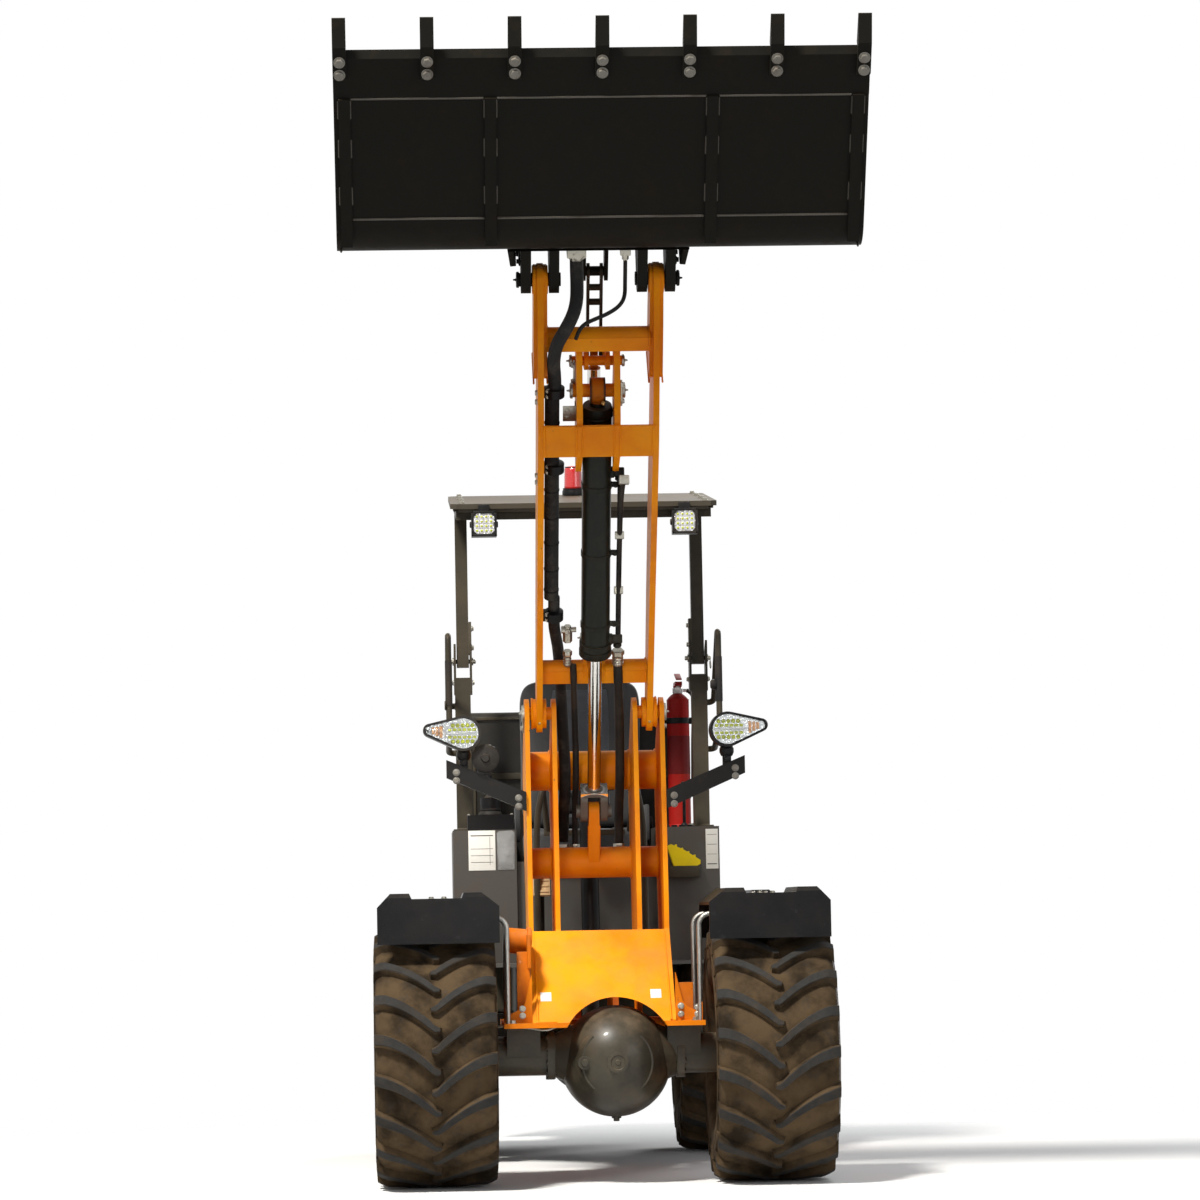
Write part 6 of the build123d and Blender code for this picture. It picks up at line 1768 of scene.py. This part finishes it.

# the round tube and plate on the right-hand side, and a flanged plate on the other
# the darker, browner orange of these brackets is painted shade; the dust and chips on it are real
PAINTED_SHADE_ORANGE = worn_paint(
    "painted_shade_orange", from_bytes(214, 112, 12), from_bytes(150, 76, 16), dust=0.5, chips=0.5
)
tube_rows = [(0, 0.047), (0.004, 0.050), (0.014, 0.050), (0.016, 0.042), (0.078, 0.042)]
tube_rows += [(0.082, 0.038), (0.082, 0.020), (0.078, 0.018)]
turned((-0.236, back(0.020), 0.800), (-1, -0.12, 0.10), tube_rows, 36)
boxes(
    ((0.044, 0.012, 0.230), (-0.262, back(-0.085), 0.655), 0.002),
    ((0.012, 0.190, 0.110), (-0.243, back(-0.02), 0.770), 0.002),
    ((0.058, 0.010, 0.120), (0.266, back(-0.112), 0.600), 0.002),
    ((0.010, 0.090, 0.060), (0.318, back(-0.112), 0.566), 0.002),
)
piece("tower_side_brackets", PAINTED_SHADE_ORANGE, "front_frame", "yellow_paint")

BLANK_WHITE = worn_paint(
    "blank_sticker", from_bytes(226, 226, 220), from_bytes(206, 206, 198), dust=0.2, chips=0.0
)
APRON_WAY = Vector((0, 0.300, 0.299)).normalized()
APRON_OUT = Vector((0, -APRON_WAY.z, APRON_WAY.y))
for x, up in ((-0.189, 0.118), (0.175, 0.124)):
    place = Vector((x, DECK_EDGE, 0.536)) + APRON_WAY * up + APRON_OUT * 0.0004
    box((0.036, 0.0012, 0.040), place, 0.0005, across(APRON_OUT))
piece("blank_stickers", BLANK_WHITE, "front_frame", "yellow_paint")
tell("tower dressed")

# %% Axle housings: flange bolts, a blank boss ring and plugs
BALL_X, BALL_R = 0.040, 0.184  # the differential's ball
PAD_IN, PAD_OUT = 0.112, 0.148
PAD_STEPS = 15
for axle_y, way, axle in ((FRONT_AXLE, -1, "front"), (REAR_AXLE, 1, "rear")):
    body = f"{axle}_frame"
    for hand in HANDS:
        outward = (hand, 0, 0)
        flange_x = BALL_X + hand * 0.215
        for n, y, z in circle(10, 0.072, 0.5):
            bolt((flange_x + hand * 0.011, axle_y + y, WHEEL_Z + z), outward, 0.013, n, False)
        ring_weld((flange_x - hand * 0.012, axle_y, WHEEL_Z), X_WAY, 0.076, 0.004)
        hub = [(0, 0.0965), (0.010, 0.100), (0.022, 0.100), (0.030, 0.0965)]
        turned((hand * 0.470, axle_y, WHEEL_Z), outward, hub, 48)
        for n, y, z in circle(12, 0.084):
            bolt((hand * 0.461, axle_y + y, WHEEL_Z + z), (-hand, 0, 0), 0.014, n, False)
    # the ball's cast collar and plugs
    boss_z = WHEEL_Z - 0.022
    ring = [(0, 0.034), (0.002, 0.034), (0.003, 0.030), (0.003, 0.024), (0.001, 0.022)]
    ring += [(0.001, 0.010), (0.003, 0.008)]
    turned((BALL_X, axle_y + way * 0.1885, boss_z), (0, way, 0), ring, 36)
    plug_y = axle_y + way * (math.sqrt(BALL_R**2 - 0.108**2) + 0.010)
    plug = [(0, 0.013), (0.007, 0.013), (0.009, 0.011)]
    turned((BALL_X - 0.108, plug_y, boss_z), (0, way, 0), plug, 6)
    plug = [(0, 0.010), (0.008, 0.010), (0.010, 0.008)]
    turned((BALL_X, axle_y, boss_z - 0.189), DOWN, plug, 6)
    # crescent pads either side of the ball
    for hand in HANDS:
        rows = []
        for n in range(PAD_STEPS):
            angle = math.radians(-48 + 96 * n / (PAD_STEPS - 1))
            rows.append([])
            for out, lift in ((PAD_IN, 0.0), (0.118, 0.0045), (0.140, 0.0045), (PAD_OUT, -0.001)):
                share = (out - PAD_IN) / (PAD_OUT - PAD_IN)
                flat = PAD_IN + (out - PAD_IN) * (1 - 0.6 * abs(n - 7) / 7 * share)
                x, z = hand * flat * math.cos(angle), flat * math.sin(angle)
                deep = math.sqrt(BALL_R**2 - x * x - z * z)
                rows[-1].append(
                    bench.corner((BALL_X + x, axle_y + way * (deep + lift), boss_z + z))
                )
        bench.skin(rows, wrap=False)
    piece(f"{axle}_axle_castings", "axle_paint", body)
    brake_run = [
        (x, axle_y + way * out, WHEEL_Z + 0.098 + rise)
        for x, out, rise in (
            (-0.42, 0.05, -0.02), (-0.36, 0.06, 0.005), (-0.27, 0.085, 0.0),
            (-0.16, 0.10, -0.02), (-0.12, 0.06, 0.03),
        )
    ]
    pipe(f"{axle}_brake_pipe", brake_run, 0.004, ZINC, body, "dark_steel")
tell("axles dressed")

# %% Wheel nuts, valves and rim lips
for wheel in WHEELS:
    centre = middle(f"{wheel}_tyre")
    hand = 1 if centre.x > 0 else -1
    outward = Vector((hand, 0, 0))
    face = centre + outward * 0.030
    for n, y, z in circle(8, 0.112, 0.3):
        place = face + Vector((0, y, z))
        turned(place, outward, [(0, 0.0165), (0.003, 0.0165), (0.005, 0.0135)], 20)
        bolt(place + outward * 0.004, outward, 0.022, n * 0.4, False)
        stud = [(0, 0.0065), (0.009, 0.0065), (0.010, 0.005)]
        turned(place + outward * 0.012, outward, stud, 12)
    valve = [(-0.02, 0.005), (0.014, 0.005), (0.015, 0.006), (0.026, 0.006), (0.028, 0.004)]
    turned(face + Vector((hand * 0.052, 0.185, 0.02)), (hand, -0.25, 0), valve, 12)
    piece(f"{wheel}_wheel_nuts", ZINC, f"{wheel}_wheel", "dark_steel")
    cap_face = face + outward * 0.055
    cap = [(0, 0.0755), (0.003, 0.073), (0.004, 0.052), (0.010, 0.046), (0.012, 0.020)]
    turned(cap_face, outward, cap + [(0.012, 0.004)], 40)
    for n, y, z in circle(6, 0.062):
        bolt(cap_face + Vector((hand * 0.0035, y, z)), outward, 0.010, n, False)
    for out, radius, thick in ((0.165, 0.2125, 0.0045), (0.1615, 0.204, 0.0028)):
        ring = [(0, radius - 0.004), (thick, radius - 0.001), (thick, radius + 0.002)]
        ring.append((0, radius + 0.0055))
        turned(centre + outward * out, outward, ring, 72, closed=False)
    piece(f"{wheel}_hub_cap", "rim_paint", f"{wheel}_wheel")
tell("wheels dressed")


# %% [markdown]
# ## Fenders, platform and controls
# The parts that a driver touches: levers, a bellows, pedals, guard tubes, an extinguisher with its
# band and gauge.  They are small, but they fill the view between the posts, so each is shaped.

# %% Fender bolts
for axle_y, axle in ((FRONT_AXLE, "front"), (REAR_AXLE, "rear")):
    for hand in HANDS:
        for distance in (-0.150, 0.150):
            for x in (0.520, 0.562):
                bolt((hand * x, axle_y + distance, 0.949), UP, 0.013, x * 30)
    piece(f"fender_bolts_{axle}", ZINC, f"{axle}_frame", "dark_steel")
tell("fenders bolted")

# %% Controls on the consoles
STICK = Vector((-0.340, back(1.180), 1.195))
CONSOLE_FACE = back(1.085)
bellows = [(0.053, 0.041), (0.056, 0.043)]
for n in range(5):
    bellows.append((0.062 + n * 0.013, 0.0415 - n * 0.0035))
    bellows.append((0.0685 + n * 0.013, 0.036 - n * 0.0045))
turned(STICK, UP, bellows + [(0.128, 0.014), (0.134, 0.0125), (0.138, 0.010)], 32)
piece("joystick_bellows", RUBBER, "rear_frame", "black_plastic")
grip = [(0.215, 0.010), (0.222, 0.015), (0.245, 0.0195), (0.262, 0.0275), (0.285, 0.029)]
turned(STICK, UP, grip + [(0.298, 0.0245), (0.303, 0.014)], 28)
box((0.030, 0.012, 0.016), STICK + Vector((0, -0.022, 0.270)))
# panel of rocker switches and a small lever on the console
for n in range(4):
    box((0.022, 0.014, 0.008), (0.290 + n * 0.028, CONSOLE_FACE + 0.040, 1.198), 0.002)
small_lever = [(0, 0.020), (0.006, 0.018), (0.020, 0.006), (0.130, 0.006), (0.134, 0.014)]
small_lever += [(0.158, 0.016), (0.168, 0.009)]
turned((0.360, CONSOLE_FACE + 0.130, 1.192), (0, -0.15, 1), small_lever, 20)
piece("console_controls", "black_plastic", "rear_frame")
for x in (-0.418, -0.264):
    for y in (0.328, 0.424):
        bolt((x, y, 1.250), UP, 0.008, x)
turned(STICK + Vector((0, -0.006, 0.303)), UP, [(0, 0.008), (0.004, 0.0075), (0.005, 0.004)], 16)
piece("console_screws", ZINC, "rear_frame", "black_plastic")
tell("controls set")

# %% Blank sheet, pouch, plate and wedge on the console fronts
SHEET_X, PLATE_X = -0.3735, 0.449
box((0.096, 0.0014, 0.142), (SHEET_X, CONSOLE_FACE - 0.0012, 1.122), 0.0005)
box((0.044, 0.0014, 0.142), (PLATE_X, CONSOLE_FACE - 0.0012, 1.114), 0.0005)
piece("blank_plates", BLANK_WHITE, "rear_frame", "khaki_paint")
THIN, THICK = 0.0012, 0.003
for x, z, wide, tall in (
    (SHEET_X, 1.175, 0.080, THICK), (SHEET_X, 1.128, 0.080, THIN), (SHEET_X, 1.104, 0.080, THIN),
    (SHEET_X, 1.080, 0.080, THIN), (PLATE_X, 1.165, 0.034, THIN), (PLATE_X, 1.130, 0.034, THIN),
    (PLATE_X, 1.095, 0.034, THIN), (-0.345, 1.120, THIN, 0.100), (PLATE_X, 1.060, 0.034, THICK),
):
    box((wide, 0.0010, tall), (x, CONSOLE_FACE - 0.0021, z), 0.0003)
piece("plate_rules", "hood_plastic", "rear_frame", "khaki_paint")
pouch = Finish("clear_pouch", specular=0.6)
wrinkle = pouch.noise(28, 4, 0.6)
POUCH = pouch.use(
    Alpha=0.35,
    Base_Color=pouch.mix((0.55, 0.56, 0.56), (0.30, 0.31, 0.31), wrinkle),
    Roughness=0.15 + wrinkle * 0.2,
    Normal=pouch.bump(wrinkle, 0.004),
)
pouch_rim = [(-0.318, 1.052), (-0.258, 1.052), (-0.256, 1.185), (-0.266, 1.192)]
pouch_rim += [(-0.312, 1.190), (-0.320, 1.184)]
slab(pouch_rim, CONSOLE_FACE - 0.010, CONSOLE_FACE - 0.0004, 0.006)
piece("document_pouch", POUCH, "rear_frame", "khaki_paint")
CHOCK_YELLOW = worn_paint(
    "chock_plastic", from_bytes(240, 214, 20), from_bytes(214, 186, 14),
    dust=0.25, chips=0.0, rough=0.5,
)
wedge_rows = [(0.285, 1.126), (0.300, 1.132), (0.345, 1.112), (0.404, 1.074), (0.404, 1.060)]
wedge_rows += [(0.330, 1.020), (0.318, 1.022)]
slab(wedge_rows, CONSOLE_FACE - 0.052, CONSOLE_FACE - 0.002)
for n in range(4):
    place = (0.318 + n * 0.022, CONSOLE_FACE - 0.026, 1.126 - n * 0.0125)
    box((0.006, 0.046, 0.010), place, 0.002)
piece("wheel_chock", CHOCK_YELLOW, "rear_frame", "khaki_paint")
box((0.110, 0.056, 0.005), (0.345, CONSOLE_FACE - 0.028, 1.016), 0.001)
box((0.110, 0.004, 0.040), (0.345, CONSOLE_FACE - 0.056, 1.034), 0.001)
piece("chock_holder", "khaki_paint", "rear_frame")
tell("console dressed")

# %% Pedals and guard tubes
FLOOR_TOP = 0.720
BEIGE = moulded("pedal_rubber", from_bytes(168, 140, 104), dust=0.5, rough=0.7)
PEDAL_X = -0.172
turn = tilted(-28)
box((0.060, 0.012, 0.125), (PEDAL_X, -0.012, 1.010), 0.005, turn)
for n in range(5):
    place = Vector((PEDAL_X, -0.020, 1.010)) + turn @ Vector((0, 0, (n - 2) * 0.022))
    box((0.050, 0.005, 0.008), place, 0.002, turn)
piece("brake_pedal_pad", BEIGE, "rear_frame", "black_plastic")
pedal_arm = ((0.045, FLOOR_TOP + 0.004), (0.040, 0.80), (0.020, 0.90), (-0.004, 0.985))
tube([Vector((PEDAL_X, y, z)) for y, z in pedal_arm], 0.010, 12)
boxes(
    ((0.070, 0.060, 0.012), (PEDAL_X, 0.045, FLOOR_TOP + 0.006)),
    ((0.075, 0.150, 0.010), (0.130, 0.060, FLOOR_TOP + 0.045), 0.003, tilted(30)),
    ((0.060, 0.030, 0.040), (0.130, 0.060, FLOOR_TOP + 0.018)),
)
piece("pedal_arms", "dark_steel", "rear_frame", "khaki_paint")
for x, side_name in ((-0.188, "right"), (0.190, "left")):
    inward = -0.018 if x > 0 else 0.018
    run = [
        (x + inward * share, y, z)
        for share, y, z in (
            (0, -0.040, FLOOR_TOP - 0.004), (0, -0.040, 0.85), (0, -0.040, 1.10),
            (0.2, -0.040, 1.225), (1, -0.038, 1.300), (1.5, -0.015, 1.338),
            (1.5, 0.030, 1.330), (2.2, 0.080, 1.225), (2.4, 0.100, 1.180),
        )
    ]
    tube_name, paint = f"guard_tube_{side_name}", "khaki_paint"
    pipe(tube_name, run, 0.011, finishes[paint], "rear_frame", paint)
for hand, size, x in ((-1, (0.02, 0.02, 0.02), -0.147), (1, (0.26, 0.02, 0.02), 0)):
    turned((hand * 0.189, -0.040, FLOOR_TOP), UP, [(0, 0.026), (0.005, 0.026), (0.007, 0.013)])
    box(size, (x, 0.098, 1.176))
piece("guard_feet", "khaki_paint", "rear_frame")
tell("pedals set")

# %% The steering wheel's hub and column
WHEEL_HUB = Vector((0, back(0.930), 1.400))
COLUMN_WAY = (WHEEL_HUB - Vector((0, back(0.800), FLOOR_TOP + 0.040))).normalized()
hub_cap = [(0.024, 0.0335), (0.027, 0.036), (0.034, 0.034), (0.038, 0.024), (0.039, 0.006)]
turned(WHEEL_HUB, COLUMN_WAY, hub_cap, 36)
boot = [(-0.156, 0.036), (-0.150, 0.050), (-0.066, 0.046), (-0.060, 0.044), (-0.025, 0.030)]
turned(WHEEL_HUB, COLUMN_WAY, boot, 28)
# display on the column, and the indicator stalk
box((0.150, 0.030, 0.085), WHEEL_HUB + Vector((0, -0.045, -0.115)), 0.008, tilted(-20))
stalk = ((0.03, 1.325), (0.09, 1.330), (0.14, 1.345), (0.17, 1.352))
tube([Vector((x, WHEEL_HUB.y - 0.02, z)) for x, z in stalk], 0.006, 10)
piece("column_fittings", "black_plastic", "rear_frame")
tell("steering column dressed")

# %% Fire extinguisher
BOTTLE = Vector((0.362, back(1.500), 1.195))
BOTTLE_R = 0.0412


def round_bottle(profile, segments=36):
    """A ring round the extinguisher, measured from its foot."""
    turned(BOTTLE, UP, profile, segments)


def at_bottle(*offset):
    """A place measured from the middle of the extinguisher's foot."""
    return BOTTLE + Vector(offset)


round_bottle([(0.462, 0.0414), (0.468, 0.0405), (0.480, 0.036), (0.490, 0.026), (0.496, 0.017)])
round_bottle([(0.0005, 0.041), (0.002, 0.0425), (0.014, 0.0425), (0.016, BOTTLE_R)])
box((0.022, 0.115, 0.006), at_bottle(0, -0.040, 0.556), 0.002, tilted(12))
box((0.020, 0.095, 0.006), at_bottle(0, -0.034, 0.531), 0.002)
piece("extinguisher_levers", "red_paint", "rear_frame")
round_bottle([(0.497, 0.0175), (0.500, 0.019), (0.516, 0.019), (0.520, 0.014)], 24)
turned(at_bottle(0, -0.018, 0.512), AHEAD, [(0, 0.012), (0.008, 0.012), (0.010, 0.010)])
turned(at_bottle(0.020, 0, 0.508), X_WAY, [(0, 0.006), (0.030, 0.006), (0.034, 0.004)], 12)
piece("extinguisher_neck", WHITE_LENS, "rear_frame", "red_paint")
for z in (0.385, 0.110):
    band = [(z, BOTTLE_R), (z + 0.001, 0.0428), (z + 0.021, 0.0428), (z + 0.022, BOTTLE_R)]
    round_bottle(band)
box((0.030, 0.008, 0.350), at_bottle(0, 0.046, 0.250), 0.002)
box((0.014, 0.012, 0.024), at_bottle(0.048, 0, 0.396), 0.002)
piece("extinguisher_bands", "black_plastic", "rear_frame")
round_bottle([(0.200, 0.04105), (0.2005, 0.0417), (0.340, 0.0417), (0.3405, 0.04105)])
LABEL_RED = worn_paint("label_red", (0.16, 0.010, 0.012), (0.11, 0.008, 0.009), dust=0.1, chips=0.3)
piece("extinguisher_blank_label", LABEL_RED, "rear_frame", "red_paint")
hose_run = run_of(
    at_bottle,
    (0.034, 0, 0.508), (0.056, 0, 0.500), (0.060, 0.004, 0.450),
    (0.054, 0.006, 0.330), (0.052, 0.004, 0.200), (0.050, 0.002, 0.150),
)
pipe("extinguisher_hose", hose_run, 0.0075, RUBBER, "rear_frame")
tell("driver's place dressed")


# %% [markdown]
# ## Canopy
# A folded-sheet roof on four bars.  Its underside has a lighter panel, its edge is bolted, and the
# posts are hinged just above the driver's handles, where pins and brackets show.

# %% Roof bolts, panel and hinge plates
ROOF_START = Vector((0, back(0.770), 2.335))
ROOF_RUN = Vector((0, math.cos(ROOF_SLOPE), math.sin(ROOF_SLOPE)))
ROOF_TURN = across(ROOF_RUN)
POST_Y = back(1.330)


def on_roof(run, x, out):
    """A place up the roof's slope, at a crosswise x, out from its skin."""
    return ROOF_START + ROOF_RUN * run + X_WAY * x + ROOF_WAY * out


for x in (-0.43, 0.43):
    for run in (0.05, 0.25, 0.50, 0.72):
        bolt(on_roof(run, x, 0.0004), ROOF_WAY, 0.016, run * 9)
for hand in HANDS:
    for z in (1.931, 1.861):
        bolt((hand * 0.395, POST_Y - 0.012, z), (-hand, 0, 0), 0.015, z)
piece("roof_bolts", ZINC, "canopy", "dark_steel")
boxes(
    ((0.560, 0.460, 0.005), on_roof(0.390, 0, -0.0205), 0.002, ROOF_TURN),
    ((0.010, 0.700, 0.012), on_roof(0.39, -0.455, -0.022), 0.003, ROOF_TURN),
    ((0.010, 0.700, 0.012), on_roof(0.39, 0.455, -0.022), 0.003, ROOF_TURN),
    ((0.880, 0.012, 0.014), on_roof(0.012, 0, -0.023), 0.003, ROOF_TURN),
)
for hand in HANDS:
    # knuckle plates at the hinge
    box((0.010, 0.044, 0.120), (hand * 0.4005, POST_Y, 1.896), 0.002)
    for y in (POST_Y - 0.020, POST_Y + 0.020):
        weld((hand * 0.406, y, 1.842), (hand * 0.406, y, 1.950), 0.003)
for run in (0.05, 0.56, 0.72):
    for hand in HANDS:
        weld(on_roof(run, hand * 0.404, -0.026), on_roof(run, hand * 0.404, -0.056), 0.003)
piece("roof_panel", "roof_paint", "canopy", "khaki_paint")
tell("roof dressed")

# %% Hinge pins, post seams and handle grips
for hand in HANDS:
    for step in HANDS:
        knob = [(0, 0.014), (0.004, 0.014), (0.005, 0.008), (0.012, 0.008), (0.014, 0.006)]
        turned((hand * 0.428 + step * 0.0335, POST_Y, 1.812), (step, 0, 0), knob, 20)
    for y in (-0.020, 0.020):
        bolt((hand * 0.4625, POST_Y + y, 1.735), (hand, 0, 0), 0.013, y * 90)
        bolt((hand * 0.3935, POST_Y + y, 1.735), (-hand, 0, 0), 0.013, y * 50)
    for y in (-0.030, 0.030):
        bolt((hand * 0.392, POST_Y + y, 1.203), UP, 0.014, y)
# spring clip in the hinge pin
clip = line_of(
    (0.472, 0.526, 1.812), (0.474, 0.524, 1.800), (0.476, 0.520, 1.780),
    (0.474, 0.528, 1.772), (0.472, 0.534, 1.785), (0.472, 0.530, 1.800),
)
tube(spline_points(clip, 8), 0.0018, 8)
piece("hinge_pins", ZINC, "rear_frame", "dark_steel")
for hand in HANDS:
    for z in (1.480, 1.650):
        ring_weld((hand * 0.4575, POST_Y, z), X_WAY, 0.0115, 0.003)
    box((0.086, 0.110, 0.008), (hand * 0.428, POST_Y, 1.1995), 0.002)
    for y in (POST_Y - 0.035, POST_Y + 0.035):
        weld((hand * 0.402, y, 1.204), (hand * 0.458, y, 1.204), 0.004)
# an eye beside the handle
HANDLE_X, HANDLE_Y = 0.483, 0.238
eye = [Vector((-0.4955, HANDLE_Y + y, 1.640 + z)) for _, y, z in circle(16, 0.014)]
tube(eye + eye[:1], 0.0035, 8)
piece("post_seams", "khaki_paint", "rear_frame")
knob = [(0, 0.012), (0.006, 0.018), (0.016, 0.019), (0.022, 0.012)]
turned((0.474, HANDLE_Y, 1.700), -X_WAY, knob, 20)
for hand in HANDS:
    tube([Vector((hand * HANDLE_X, HANDLE_Y, z)) for z in (1.64, 1.69, 1.75, 1.80)], 0.0128)
piece("handle_grips", RUBBER, "rear_frame", "black_plastic")
tell("canopy dressed")


# %% [markdown]
# ## Hood, counterweight and steps
# The back of the machine: a wire mesh behind the louvres, a latch, rails and seams on the hood,
# bolts that hold the counterweight, a pin in the towing jaw and tread bars on the steps.

# %% Hood mesh
HOOD_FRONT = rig.box("engine_hood")[0].y
HOOD_REAR = back(2.800)
WIRE, REAR_PITCH, WIRE_EDGE = 0.0024, 0.024, 0.0006
for n in range(23):
    box((WIRE, WIRE, 0.290), ((n - 11) * REAR_PITCH, HOOD_REAR - 0.018, 1.214), WIRE_EDGE)
for n in range(12):
    box((0.550, WIRE, WIRE), (0, HOOD_REAR - 0.0205, 1.080 + n * REAR_PITCH), WIRE_EDGE)
for hand in HANDS:
    for n in range(8):
        place = (hand * 0.392, HOOD_REAR - 0.364, 1.160 + n * 0.026)
        box((WIRE, 0.270, WIRE), place, WIRE_EDGE)
    for n in range(11):
        box((WIRE, WIRE, 0.200), (hand * 0.394, HOOD_REAR - 0.240 - n * 0.025, 1.250), WIRE_EDGE)
piece("hood_mesh", "dark_steel", "hood", "hood_plastic")
tell("hood mesh woven")

# %% Hood rails and latch
boxes(
    ((0.790, 0.014, 0.024), (-0.004, HOOD_FRONT - 0.0065, 1.402), 0.004),
    ((0.760, 0.010, 0.012), (0, HOOD_FRONT - 0.004, 1.616)),
)
for hand in HANDS:
    box((0.010, 0.010, 0.560), (hand * 0.388, HOOD_FRONT - 0.004, 1.310))
    run = [Vector((hand * 0.4115, HOOD_FRONT + y, 1.045)) for y in (0.02, 0.30, 0.60, 0.90, 1.10)]
    tube(run, 0.004, 8)
piece("hood_rails", "khaki_paint", "hood", "hood_plastic")
box((0.100, 0.016, 0.030), (0, HOOD_FRONT - 0.008, 1.120), 0.005)
turned((0, HOOD_FRONT - 0.016, 1.120), AHEAD, [(0, 0.014), (0.004, 0.014), (0.005, 0.010)], 20)
for hand in HANDS:
    box((0.012, 0.090, 0.022), (hand * 0.414, HOOD_FRONT + 0.20, 1.090), 0.004)
    barrel = [(0, 0.008), (0.0, 0.0135), (0.003, 0.0135), (0.069, 0.0135), (0.072, 0.0135)]
    hinge_x = hand * 0.280
    turned((hinge_x - 0.036, HOOD_REAR, 1.010), X_WAY, barrel + [(0.072, 0.006)], 16)
    for x in (-0.022, 0.022):
        bolt((hinge_x + x, HOOD_REAR + 0.0005, 1.048), REARWARD, 0.013, x * 30)
piece("hood_latch", "black_plastic", "hood", "hood_plastic")
tell("hood dressed")

# %% Counterweight bolts and drawbar pin
WEIGHT_REAR = back(2.860)
JAW_Y = back(2.895)
WEIGHT_TOP_Y = (back(2.74) + WEIGHT_REAR) / 2
for hand in HANDS:
    for z in (0.600, 0.880):
        place = Vector((hand * 0.180, WEIGHT_REAR, z))
        turned(place, REARWARD, [(0, 0.024), (0.004, 0.024), (0.005, 0.020)])
        bolt(place + REARWARD * 0.004, REARWARD, 0.030, z, False)
    plug = [(0, 0.018), (0.004, 0.018), (0.005, 0.012)]
    turned((hand * 0.300, WEIGHT_TOP_Y, 0.980), UP, plug, 20)
pin = [(-0.120, 0.010), (-0.116, 0.0145), (0.0, 0.0145), (0.004, 0.022), (0.014, 0.022)]
turned((0, JAW_Y, 0.700), UP, pin + [(0.016, 0.012), (0.030, 0.012)])
pull_ring = [Vector((x, JAW_Y, 0.742 + z)) for _, x, z in circle(16, 0.020)]
tube(pull_ring + pull_ring[:1], 0.0035, 8)
piece("drawbar_pin", ZINC, "rear_frame", "dark_steel")
tell("counterweight dressed")

# %% Step and floor treads, pivot cap
STEP_Y = back(1.230)
for hand in HANDS:
    for n in range(9):
        box((0.004, 0.220, 0.006), (hand * (0.390 + n * 0.015), STEP_Y, 0.443), 0.0015)
    for way in HANDS:
        for x, z in ((0.404, 0.660), (0.472, 0.700)):
            place = (hand * 0.437, STEP_Y + way * 0.108, z)
            bolt(place, (0, -way, 0), 0.014, x * 20)
TREAD_ROWS, TREAD_COLUMNS = 17, 13
for n in range(TREAD_ROWS):
    for column in range(TREAD_COLUMNS):
        x = (column - 6) * 0.034 + (0.017 if n % 2 else 0)
        if abs(x) < 0.19:
            turn = tilted(40 if (n + column) % 2 else -40, "Z")
            place = (x, -0.055 + n * 0.018, FLOOR_TOP + 0.0006)
            box((0.020, 0.005, 0.0022), place, 0.0008, turn)
piece("floor_treads", "floor_steel", "rear_frame", "khaki_paint")
for hand in HANDS:
    for z in (0.64, 0.78):
        box((0.010, 0.10, 0.012), (hand * 0.4105, 1.990, z))
ring_weld((0.0, 0.161, 0.685), UP, 0.030, 0.003)
pivot_cap = [(0, 0.030), (0.008, 0.030), (0.010, 0.026), (0.010, 0.004)]
turned((0.0, 0.161, 0.683), UP, pivot_cap, 30)
piece("pivot_cap", "khaki_paint", "rear_frame")
tell("back dressed")


# %% [markdown]
# ## Floor and finish
# The floor reaches far past the view and stays out of the machine's own pieces.

# %% Floor
bmesh.ops.create_grid(bench.edit, x_segments=8, y_segments=8, size=90)
floor = bpy.data.objects.new("studio_floor", bench.take("studio_floor"))
scene.collection.objects.link(floor)
pale = Finish("pale_floor", specular=0.1)
pale.use(
    Base_Color=pale.mix((0.80, 0.80, 0.80), (0.79, 0.79, 0.785), pale.noise(2, 3)),
    Roughness=0.9,
    Alpha=1 - pale.distance().between(1.6, 4.2),
)
floor.data.materials.append(pale.material)
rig.stage(floor)
print(len(pieces), "pieces")

# %% Write the sizes and close the scene
size = {
    "cad": [list(corner) for corner in cad_box],
    "visual": [list(corner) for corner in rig.bounds()],
}
with open("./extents.json", "w") as out:
    json.dump(size, out)
print("visual box", [[round(v, 3) for v in corner] for corner in size["visual"]])
